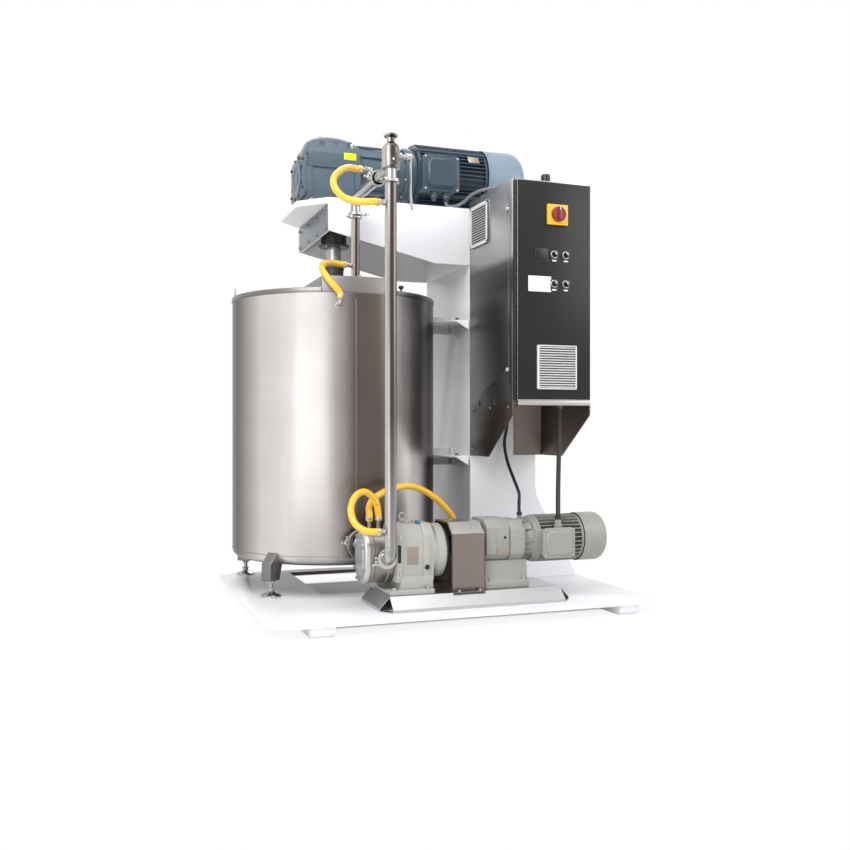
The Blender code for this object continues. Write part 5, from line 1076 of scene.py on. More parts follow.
CONDUIT_ROUTE = [
    (1.355, 0.175, 0.4363), (1.355, 0.175, 0.465), (1.360, 0.184, 0.545), (1.378, 0.214, 0.640),
    (1.405, 0.258, 0.760), (1.425, 0.291, 0.860), (1.430, 0.300, 0.905), (1.430, 0.300, 0.9294)
]

CONTROL_ROUTE = [
    (1.340, 0.680, 0.9294), (1.340, 0.680, 0.900), (1.340, 0.692, 0.840), (1.338, 0.714, 0.760),
    (1.343, 0.690, 0.670), (1.334, 0.600, 0.590), (1.300, 0.470, 0.530), (1.258, 0.378, 0.503),
    (1.237, 0.337, 0.472), (1.235, 0.330, 0.4453)
]

MOTOR_LEAD_ROUTE = [
    (1.05264, 0.800, 1.9847), (1.05264, 0.800, 1.972), (1.066, 0.798, 1.962), (1.098, 0.778, 1.962),
    (1.128, 0.742, 1.978), (1.145, 0.690, 2.001), (1.170, 0.610, 2.008), (1.210, 0.520, 2.003),
    (1.248, 0.475, 1.998), (1.255, 0.452, 1.997), (1.255, 0.4403, 1.997)
]


class GrinderStep:
    """What every operator of this file shares."""

    bl_options = {"REGISTER", "UNDO"}

    def execute(self, context):
        self.build(context.scene.grinder_sizes)
        return {"FINISHED"}


class GRINDER_OT_stage(GrinderStep, bpy.types.Operator):
    """Adds the camera, the pale floor, the lamps and the background"""

    bl_idname = "grinder.stage"
    bl_label = "Stage"

    def build(self, sizes):
        scene = bpy.context.scene
        scene.view_settings.view_transform = "Standard"
        camera = bpy.data.cameras.new("camera")
        camera.sensor_width = SENSOR_MM
        camera.lens = FOCAL_PX / PHOTO_SIDE * SENSOR_MM
        camera.shift_x = (PHOTO_SIDE / 2 - CENTRE_PX[0]) / PHOTO_SIDE
        camera.shift_y = (CENTRE_PX[1] - PHOTO_SIDE / 2) / PHOTO_SIDE
        camera.clip_end = 60.0
        holder = bpy.data.objects.new("camera", camera)
        holder.location = CAMERA_PLACE
        holder.rotation_euler = (math.pi / 2, 0.0, -math.radians(CAMERA_YAW))
        scene.collection.objects.link(holder)
        scene.camera = holder
        self.floor()
        self.world(scene)
        lamps = (
            ("key", (-3.2, -3.6, 4.2), 1.0, 3.2, 150.0), ("fill", (3.8, -3.0, 3.0), 1.0, 3.0, 60.0),
            ("back", (0.5, 3.6, 4.0), 1.0, 3.0, 60.0), ("top", (-0.4, -1.6, 5.4), 1.0, 4.0, 90.0),
            ("bounce", (-2.8, -3.0, 0.4), 1.4, 2.6, 34.0)
        )
        for name, place, aim_height, size, power in lamps:
            lamp = bpy.data.lights.new(name, "AREA")
            lamp.size = size
            lamp.energy = power
            obj = bpy.data.objects.new(name, lamp)
            obj.location = place
            aim = UP * aim_height - Vector(place)
            obj.rotation_euler = aim.to_track_quat("-Z", "Y").to_euler()
            scene.collection.objects.link(obj)

    def background_mask(self, nodes):
        """One where a ray comes from the camera or from a mirror or glass."""
        path = nodes.node("ShaderNodeLightPath").outputs
        seen = path["Is Camera Ray"]
        for name in ("Is Glossy Ray", "Is Transmission Ray"):
            seen = nodes.maths("MAXIMUM", seen, path[name])
        return seen

    def floor(self):
        """A pale floor that keeps the machine's shadow and turns white a little way beyond its plate."""
        shape = Shape()
        half = 14.0
        shape.box((-half, -half, -0.02), (half, half, -0.0004))
        data = bpy.data.meshes.new("floor")
        shape.mesh.to_mesh(data)
        shape.mesh.free()
        floor = bpy.data.objects.new("floor", data)
        bpy.context.scene.collection.objects.link(floor)
        ground = Surface("floor", (0.95, 0.95, 0.95), 0.9)
        beyond = ground.vectors("SUBTRACT", ground.vectors("ABSOLUTE", ground.place), (0.68, 0.56, 0.0))
        far = ground.maths("MAXIMUM", ground.along("X", beyond), ground.along("Y", beyond))
        levels = ((0.0, 0.10), (0.035, 0.86), (0.30, 0.93), (0.75, 1.0))
        share = ground.maths("MULTIPLY", self.background_mask(ground), ground.ramp(far, levels, 1.0))
        glow = ground.first("ShaderNodeEmission", None, {"Color": WHITE})
        mix = ground.first("ShaderNodeMixShader", None, {0: share, 1: ground.shader.outputs[0], 2: glow})
        ground.plug(ground.tree.nodes["Material Output"].inputs[0], mix)
        data.materials.append(ground.material)

    def world(self, scene):
        world = bpy.data.worlds.new("studio")
        world.use_nodes = True
        scene.world = world
        world.node_tree.nodes.clear()
        sky = Nodes(world.node_tree)
        soft = sky.first("ShaderNodeBackground", None, {"Color": (0.95, 0.97, 1.0, 1.0), "Strength": 0.62})
        white = sky.first("ShaderNodeBackground", None, {"Color": WHITE, "Strength": 1.0})
        mix = sky.first("ShaderNodeMixShader", None, {0: self.background_mask(sky), 1: soft, 2: white})
        sky.node("ShaderNodeOutputWorld", None, {0: mix})


NODE_FINISHES = {
    "white_paint": ("skid_left", "skid_right", "arm"), "deck_paint": ("base_plate",),
    "column_paint": ("column",), "tank_steel": ("tank_jacket", "tank_vessel"),
    "lid_steel": ("lid_bridge", "lid_left", "lid_right"),
    "pipe_steel": (*TANK_LEGS, "tank_outlet", "branch_pipe", "valve_handle"),
    "riser_steel": ("riser_pipe", "top_valve", "outlet_elbow"), "drop_steel": ("drop_pipe",),
    "pump_steel": ("pump_cover", "pump_tray"), "head_steel": ("pump_head",),
    "guard_steel": ("coupling_guard",), "cabinet_steel": ("cabinet_body",),
    "bracket_steel": ("cabinet_bracket",),
    "shaft_steel": ("agitator", "rotor_upper", "rotor_lower", "motor_rotor", "pump_motor_rotor"),
    "dark_casting": ("bearing_housing", "shaft_lantern", "pump_coupling"), "gearbox_paint": ("gearbox_case",),
    "motor_paint": ("motor_frame", "motor_terminal_box"), "cowl_paint": ("motor_cowl",),
    "pump_paint": ("pump_gear_case",), "drive_grey": ("reducer", "pump_motor_frame", "pump_motor_cowl"),
    "door_paint": ("cabinet_door",), "filter_plastic": ("filter_grille",),
    "zinc": ("mounting_plate", "lock_upper", "lock_lower"), "red_knob": ("main_switch_knob",),
    "black_plastic": ("selector_1", "selector_2", "selector_3", "selector_4"),
    "yellow_hose": ("hose_top", "hose_lid", "hose_pump", "hose_supply"),
    "black_rubber": ("pump_conduit", "control_cable"), "grey_sheath": ("motor_cable",)
}


class GRINDER_OT_finishes(GrinderStep, bpy.types.Operator):
    """Makes the finishes and gives each fixed solid its own"""

    bl_idname = "grinder.finishes"
    bl_label = "Finishes"

    def build(self, sizes):
        make_finishes(bpy.context.scene.grinder_paints)
        for surface, names in NODE_FINISHES.items():
            for name in names:
                for slot in NODES[name].material_slots:
                    slot.material = finish(surface)


class GRINDER_OT_hoses(GrinderStep, bpy.types.Operator):
    """Lays the yellow water hoses between their nipples, with a band clamp at each end"""

    bl_idname = "grinder.hoses"
    bl_label = "Water hoses"

    def build(self, sizes):
        clamps = Shape()
        for node, route in HOSE_ROUTES.items():
            points = [at(*point) for point in route]
            line = free_cord(f"{node}_rubber", points, sizes.hose_radius, "yellow_hose", node)
            hose_ends(clamps, line, sizes.hose_radius)
        clamps.piece("hose_clamps", "zinc")


class GRINDER_OT_cables(GrinderStep, bpy.types.Operator):
    """Lays the pump motor's conduit, the control cable and the upper motor's lead"""

    bl_idname = "grinder.cables"
    bl_label = "Cables"

    def build(self, sizes):
        runs = (
            ("pump_conduit", CONDUIT_ROUTE, sizes.conduit_radius, "conduit_rubber"),
            ("control_cable", CONTROL_ROUTE, sizes.cable_radius, "conduit_rubber"),
            ("motor_cable", MOTOR_LEAD_ROUTE, sizes.cable_radius, "grey_sheath")
        )
        glands = Shape()
        for node, route, radius, surface in runs:
            points = [at(*point) for point in route]
            line = free_cord(f"{node}_sheath", points, radius, surface, node, 0.008)
            for ends in (line, line[::-1]):
                along = (ends[1] - ends[0]).normalized()
                glands.ring(
                    radius + 0.0004, radius + 0.006, ends[0] - along * 0.012, ends[0] + along * 0.003, 6
                )
        glands.piece("gland_nuts", "black_plastic")


class GRINDER_OT_frame(GrinderStep, bpy.types.Operator):
    """Builds the base plate, skids, column and arm, with their weld beads, tie shelves and bolts"""

    bl_idname = "grinder.frame"
    bl_label = "Base, column and arm"

    def build(self, sizes):
        softened("base_plate", "deck_paint", 0.0022)
        for node in ("skid_left", "skid_right"):
            softened(node, "white_paint", 0.0015)
        softened("column", "column_paint", 0.0018)
        softened("arm", "white_paint", 0.0025)
        self.welds()
        self.shelves()
        self.plates()

    def welds(self):
        deck = 0.065
        left, front, back = PLATE_LOW.x + 1.162, PLATE_LOW.y + 0.750, PLATE_LOW.y + 1.380
        root = left + 0.369
        top = 0.5265
        seams = (
            ((left, front, deck + 0.003), (root + 0.22, front, deck + 0.003)),
            ((left, front, deck + 0.003), (left, back, deck + 0.003)),
            ((left, back, deck + 0.003), (root + 0.22, back, deck + 0.003)),
            ((root + 0.002, front + 0.012, 0.08), (root + 0.002, front + 0.012, top)),
            ((root + 0.002, back - 0.012, 0.08), (root + 0.002, back - 0.012, top)),
            ((left - 0.001, front + 0.004, 1.664), (left - 0.001, front + 0.004, 1.940))
        )
        shape = Shape()
        for start, end in seams:
            shape.tube(bead(start, end), 0.0032, 8)
        for node in ("skid_left", "skid_right"):
            skid_low, skid_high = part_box(node)
            for x in (skid_low.x, skid_high.x):
                shape.tube(
                    bead(
                        (x, skid_low.y + 0.02, skid_high.z - 0.001),
                        (x, skid_high.y - 0.02, skid_high.z - 0.001)
                    ),
                    0.003, 8
                )
        shape.piece("frame_welds", "white_paint")

    def shelves(self):
        """The level gusset on each tie between the tank and the column, with its bolt."""
        shape = Shape()
        places = []
        for height in (1.380, 0.690):
            outline = [
                (1.030, 1.012), (1.045, 0.960), (1.098, 0.790), (1.1615, 0.770), (1.1615, 1.150),
                (1.030, 1.040)
            ]
            shape.slab([at(x, y, height) for x, y in outline], (0, 0, 0.008), 0.0015)
            shape.slab(
                [at(1.1615, 0.765, height - 0.04), at(1.1615, 0.765, height), at(1.105, 0.785, height)],
                (0, 0.006, 0)
            )
            places.append((at(1.120, 0.815, height + 0.008), UP))
            places.append((at(1.1615, 0.97, height - 0.025), LEFT))
        shape.piece("tie_shelves", "white_paint")
        bolts("tie_bolts", places, 0.020, 0.011)

    def plates(self):
        """The arm's end plate and its bolts, and the gearbox's base bolts."""
        low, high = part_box("arm")
        end = PLATE_LOW.x + 0.429
        front, back = low.y, high.y
        shape = Shape()
        shape.box((end - 0.005, front + 0.006, 1.7885), (end - 0.0004, back - 0.006, 1.9155), 0.0015)
        shape.piece("arm_end_plate", "arm_steel")
        places = []
        for y in (front + 0.03, front + 0.22, back - 0.22, back - 0.03):
            for z in (1.806, 1.895):
                places.append((Vector((end - 0.005, y, z)), LEFT))
        bolts("arm_end_bolts", places, 0.014, 0.007, surface="shaft_steel")
        studs = []
        for x in (0.372, 0.608):
            for y in (0.856, 1.184):
                studs.append((at(x, y, 1.9475), UP))
        bolts("gearbox_base_bolts", studs, 0.022, 0.012)


class GRINDER_OT_tank(GrinderStep, bpy.types.Operator):
    """Builds the jacket, the vessel, the water inlet on the wall, the legs and the outlet"""

    bl_idname = "grinder.tank"
    bl_label = "Tank"

    def build(self, sizes):
        self.axis = middle("tank_vessel")
        self.axis.z = 0.0
        self.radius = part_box("tank_vessel")[1].x - self.axis.x
        self.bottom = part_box("tank_jacket")[0].z
        self.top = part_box("tank_vessel")[1].z
        self.jacket()
        self.vessel()
        self.inlet()
        self.legs()
        self.outlet()

    def jacket(self):
        wall = 0.003
        under = self.top - 0.0043
        outer = knuckle(self.radius, self.bottom, 0.040)
        inner = knuckle(self.radius - wall, self.bottom + wall, 0.037)
        profile = [
            (self.radius, under), *outer, (0.05, self.bottom), (0.05, self.bottom + wall), *inner[::-1]
        ]
        shape = Shape()
        shape.turned([*profile, (self.radius - wall, under)], self.axis, UP, 160, closed=True)
        shape.piece("jacket_shell", "tank_steel", replaces=("tank_jacket",))
        seams = Shape()
        seam_z = self.bottom + 0.042
        seams.ring(
            self.radius - 0.0005, self.radius + 0.0009, self.axis + UP * seam_z,
            self.axis + UP * (seam_z + 0.003), 160
        )
        out = heading(-93.0)
        side = Vector((-out.y, out.x, 0))
        foot = self.axis + out * self.radius
        tall = under - seam_z - 0.03
        seams.block(foot + UP * (seam_z + tall / 2 + 0.006), (0.0035, 0.0012, tall), side, out, 0.0004)
        seams.piece("jacket_seams", "lid_steel")

    def vessel(self):
        inner_r = self.radius - 0.046
        bore = inner_r - 0.004
        floor = self.bottom + 0.0245
        profile = [
            (self.radius, self.top), (self.radius, self.top - 0.004), (inner_r, self.top - 0.004),
            *knuckle(inner_r, floor, 0.0275), (0.0, floor), (0.0, floor + 0.004),
            *knuckle(bore, floor + 0.004, 0.0235)[::-1], (bore, self.top)
        ]
        shape = Shape()
        shape.turned(profile, self.axis, UP, 160, closed=True)
        shape.piece("vessel_shell", "lid_steel", replaces=("tank_vessel",))

    def inlet(self):
        """The jacket's water inlet: a welded ring and a bent nipple that points up."""
        nipple = at(0.4143, 0.485, 1.425)
        offset = nipple.x - self.axis.x
        wall = self.axis.y - math.sqrt(self.radius**2 - offset**2)
        out = (Vector((nipple.x, wall, 0)) - Vector((self.axis.x, self.axis.y, 0))).normalized()
        height = nipple.z - 0.024
        start = Vector((nipple.x, wall + 0.004, height))
        corner = Vector((nipple.x, nipple.y, height))
        bend = on_plane(arc((corner.y + 0.012, corner.z + 0.012), 0.012, 270.0, 180.0, 10), "X", corner.x)
        shape = Shape()
        shape.tube([start, *bend, nipple - UP * 0.0005], 0.0095, 20)
        seat = Vector((nipple.x, wall, height))
        shape.turned(
            [(0.0, -0.004), (0.0135, -0.004), (0.0135, 0.001), (0.011, 0.003), (0.0, 0.003)], seat, out, ROUND
        )
        shape.rod(nipple - UP * 0.010, nipple - UP * 0.002, 0.0120, sides=6)
        shape.piece("jacket_inlet", "zinc")

    def legs(self):
        """Four feet: a folded bracket on the knuckle, a threaded stem with two nuts and a domed pad."""
        brackets = Shape()
        stems = Shape()
        pad = [
            (0.0, 0.0), (0.050, 0.0), (0.050, 0.004), (0.044, 0.009), (0.022, 0.016), (0.014, 0.024),
            (0.014, 0.032), (0.0, 0.032)
        ]
        for node in TANK_LEGS:
            foot = middle(node)
            foot.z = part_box(node)[0].z
            out = foot - self.axis
            out.z = 0.0
            reach = out.length
            out.normalize()
            self.bracket(brackets, out, Vector((-out.y, out.x, 0.0)), reach)
            stems.turned(pad, foot, UP, 40)
            stems.rod(foot + UP * 0.03, foot + UP * 0.095, 0.0095, sides=20)
            for thread in range(9):
                level = 0.036 + thread * 0.0045
                stems.ring(0.0085, 0.0108, foot + UP * level, foot + UP * (level + 0.0022), 20)
            for low, high in ((0.030, 0.039), (0.060, 0.072)):
                stems.rod(foot + UP * low, foot + UP * high, 0.0185, sides=6, edge=0.001)
        brackets.piece("leg_brackets", "lid_steel", replaces=TANK_LEGS)
        stems.piece("leg_feet", "pipe_steel")

    def bracket(self, shape, out, across, reach):
        """A channel open towards the tank, whose sides slant up to the wall."""
        half = 0.027
        wall = 0.004
        low = 0.138
        near = reach - 0.052
        far = reach + 0.033

        def point(distance, aside, height):
            return self.axis + out * distance + across * aside + UP * height

        side = [
            (near, low + 0.072), (near + 0.02, low), (far, low), (far, low + 0.074),
            (near + 0.03, low + 0.125), (near, low + 0.125)
        ]
        for aside in (-half, half - wall):
            shape.slab([point(d, aside, z) for d, z in side], across * wall, 0.0008)
        shape.slab(
            [
                point(far - wall, a, z) for a,
                z in ((-half, low), (half, low), (half, low + 0.076), (-half, low + 0.076))
            ],
            out * wall, 0.0008
        )
        shape.slab(
            [
                point(d, a, low) for d,
                a in ((near + 0.018, -half), (far, -half), (far, half), (near + 0.018, half))
            ],
            UP * wall, 0.0008
        )
        top = [
            point(far, -half, low + 0.074), point(far, half, low + 0.074),
            point(near + 0.030, half, low + 0.125), point(near + 0.030, -half, low + 0.125)
        ]
        shape.slab(top, UP * wall, 0.0008)
        shape.rod(point(reach, 0, low - 0.008), point(reach, 0, low + 0.014), 0.0165, sides=6, edge=0.001)

    def outlet(self):
        """The pipe from the vessel to the pump, with its eccentric cone, ferrules and ring clamps."""
        x, z = PLATE_LOW.x + LINE_X, PORT_Z
        wide_x, wide_z = x - 0.030, z + 0.034
        start = self.axis.y - (self.radius - 0.046) + 0.004
        joint = PLATE_LOW.y + 0.450
        end = PLATE_LOW.y + 0.370
        wide, neck, wall = 0.046, 0.0254, 0.0016
        run = (
            (wide_x, start, wide_z, wide), (wide_x, joint, wide_z, wide), (x, joint - 0.045, z, neck),
            (x, end + 0.0006, z, neck)
        )
        turns = [2 * math.pi * i / 40 for i in range(40)]
        rings = []
        for stations, thinner in ((run, 0.0), (run[::-1], wall)):
            for u, v, w, radius in stations:
                reach = radius - thinner
                rings.append([Vector((u + reach * math.cos(a), v, w + reach * math.sin(a))) for a in turns])
        shape = Shape()
        shape.loft(rings, closed=True)
        for near, far in ((joint + 0.007, joint + 0.001), (joint - 0.001, joint - 0.007)):
            shape.ring(wide - 0.001, wide + 0.019, (wide_x, near, wide_z), (wide_x, far, wide_z), 48, 0.001)
        wall_y = self.axis.y - self.radius
        shape.ring(
            wide - 0.001, wide + 0.010, (wide_x, wall_y + 0.004, wide_z), (wide_x, wall_y - 0.005, wide_z),
            48, 0.002
        )
        shape.piece("outlet_pipe", "pipe_steel", replaces=("tank_outlet",))
        clamp = Shape()
        ring_clamp(clamp, (wide_x, joint, wide_z), FRONT, wide + 0.019, LEFT + UP * 0.35, 0.020)
        ring_clamp(clamp, (x, end + 0.009, z), FRONT, 0.033, Vector((-0.7, 0, 0.7)), 0.016)
        clamp.piece("outlet_clamps", "zinc")


class GRINDER_OT_lid(GrinderStep, bpy.types.Operator):
    """Builds the bridge, the two hinged half-lids with knob and lug, the bearing housing and the agitator"""

    bl_idname = "grinder.lid"
    bl_label = "Lid and agitator"

    def build(self, sizes):
        self.axis = middle("tank_vessel")
        self.axis.z = 0.0
        self.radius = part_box("lid_bridge")[1].y - self.axis.y
        low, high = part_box("lid_bridge")
        self.half = high.x - self.axis.x
        bridge = Shape()
        self.cover(bridge, -self.half, self.half, low.z, high.z, 0.006, 1)
        bridge.piece("bridge_form", "lid_steel", replaces=("lid_bridge",))
        for name, side in (("lid_left", -1), ("lid_right", 1)):
            lid_low, lid_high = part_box(name)
            shape = Shape()
            self.cover(shape, self.half + 0.003, self.radius - 0.0001, lid_low.z, lid_high.z, 0.003, side)
            shape.piece(f"{name}_form", "lid_steel", name, (name,))
        self.top = high.z
        self.lid_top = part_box("lid_left")[1].z
        self.fittings(sizes.bridge_bolt)
        self.housing()
        self.agitator()

    def cover(self, shape, near, far, low, high, wall, side):
        """A shallow cover, open below, over the part of the tank between two lines along Y."""
        def loop(inset, level):
            radius = self.radius - inset
            start = math.acos((near + inset) / radius)
            end = math.acos(min(1.0, (far - inset) / radius))
            turns = [start + (end - start) * i / 40 for i in range(41)]
            points = [(radius * math.cos(a), -radius * math.sin(a)) for a in turns]
            points += [(radius * math.cos(a), radius * math.sin(a)) for a in reversed(turns)]
            return [self.axis + Vector((side * x, y, level)) for x, y in points]

        edge = min(0.004, (high - low) / 4)
        shape.loft(
            [
                loop(wall, high - wall), loop(wall, low), loop(0.0, low), loop(0.0, high - edge),
                loop(edge * 0.3, high - edge * 0.3), loop(edge, high)
            ]
        )

    def fittings(self, bolt):
        """Hinges on the bridge's sides, its bolts, the left lid's lug and the right lid's knob."""
        bars = Shape()
        for side in (-1, 1):
            x = self.axis.x + side * (self.half - 0.0005)
            for y in (-0.30, 0.0, 0.30):
                middle_y = self.axis.y + y
                bars.rod(
                    (x, middle_y - 0.03, self.lid_top + 0.005), (x, middle_y + 0.03, self.lid_top + 0.005),
                    0.0045, sides=16
                )
        bars.piece("hinge_barrels", "pipe_steel")
        places = []
        for side in (-1, 1):
            for y in (-0.445, -0.25, 0.25, 0.445):
                places.append((self.axis + Vector((side * 0.150, y, self.top)), UP))
        places.append((self.axis + Vector((0.0, -0.475, self.top)), UP))
        bolts("bridge_bolts", places, bolt, 0.010)
        lug = Shape()
        x = self.axis.x - self.radius + 0.004
        lug.slab(
            [
                (x, self.axis.y - 0.055, self.lid_top - 0.001),
                (x, self.axis.y - 0.020, self.lid_top - 0.001),
                (x, self.axis.y - 0.034, self.lid_top + 0.034), (x, self.axis.y - 0.044, self.lid_top + 0.034)
            ],
            (0.004, 0, 0), 0.0008
        )
        lug.piece("left_lid_lug", "lid_steel", "lid_left")
        knob = Shape()
        foot = at(0.745, 0.600, self.lid_top - 0.001)
        knob.turned(
            [
                (0.0, 0.0), (0.009, 0.0), (0.009, 0.003), (0.0045, 0.006), (0.0045, 0.016), (0.011, 0.019),
                (0.0135, 0.025), (0.011, 0.032), (0.0, 0.0345)
            ],
            foot, UP, ROUND
        )
        knob.piece("right_lid_knob", "black_plastic", "lid_right")
        catch = Shape()
        seat = at(0.352, 0.5585, 1.502)
        catch.block(seat, (0.014, 0.010, 0.034), RIGHT, FRONT, 0.0015)
        catch.rod(seat + Vector((0, -0.004, 0.004)), seat + Vector((0, -0.016, 0.004)), 0.005, sides=12)
        catch.piece("bridge_catch", "zinc")
        collar = Shape()
        drop = at(LINE_X, DROP_Y, self.top)
        collar.ring(0.0218, 0.032, drop + UP * 0.0002, drop + UP * 0.010, ROUND, 0.002)
        collar.piece("drop_pipe_collar", "lid_steel")

    def housing(self):
        """The shaft's bearing housing on the bridge and the dark lantern under the arm."""
        low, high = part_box("bearing_housing")
        centre = self.axis
        bore = 0.039
        shape = Shape()
        profile = [
            (0.0496, high.z - low.z), (0.0496, 0.040), (0.062, 0.030), (0.062, 0.012), (0.080, 0.012),
            (0.082, 0.010), (0.082, 0.0), (bore, 0.0), (bore, high.z - low.z)
        ]
        shape.turned(profile, centre + UP * low.z, UP, SMOOTH, closed=True)
        shape.ring(bore, 0.053, centre + UP * (high.z - 0.012), centre + UP * (high.z - 0.002), SMOOTH, 0.001)
        shape.piece("housing_form", "dark_casting", replaces=("bearing_housing",))
        bolts("housing_bolts", around(centre + UP * (low.z + 0.012), UP, 0.072, 8, 22.5), 0.012, 0.007)
        low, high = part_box("shaft_lantern")
        tall = high.z - low.z
        lantern = Shape()
        profile = [
            (0.078, tall), (0.078, tall - 0.012), (0.070, tall - 0.020), (0.060, tall * 0.35), (0.058, 0.012),
            (0.078, 0.011), (0.078, 0.0), (bore, 0.0), (bore, tall)
        ]
        lantern.turned(profile, centre + UP * low.z, UP, SMOOTH, closed=True)
        for turn in range(6):
            out = heading(turn * 60 + 15)
            lantern.block(
                centre + out * 0.066 + UP * (low.z + 0.045), (0.014, 0.005, 0.066), out,
                Vector((-out.y, out.x, 0)), 0.001
            )
        lantern.piece("lantern_form", "dark_casting", replaces=("shaft_lantern",))
        bolts("lantern_bolts", around(centre + UP * low.z, DOWN, 0.070, 6, 45), 0.010, 0.006)

    def agitator(self):
        """The stirred shaft and its crossed pins in their hubs."""
        low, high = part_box("agitator")
        shape = Shape()
        shape.turned(
            [
                (0.0, 0.0), (0.030, 0.0), (0.0373, 0.006), (0.0373, high.z - low.z - 0.002),
                (0.0, high.z - low.z - 0.002)
            ],
            self.axis + UP * low.z, UP, SMOOTH
        )
        for level in range(6):
            height = 0.320 + level * 0.180
            reach = Vector((0.395, 0, 0)) if level % 2 == 0 else Vector((0, 0.395, 0))
            spot = self.axis + UP * height
            shape.rod(spot - reach, spot + reach, 0.012, sides=ROUND, edge=0.002)
            shape.ring(0.030, 0.0395, spot - UP * 0.022, spot + UP * 0.022, SMOOTH, 0.002)
        shape.piece("agitator_form", "shaft_steel", "agitator", ("agitator",))


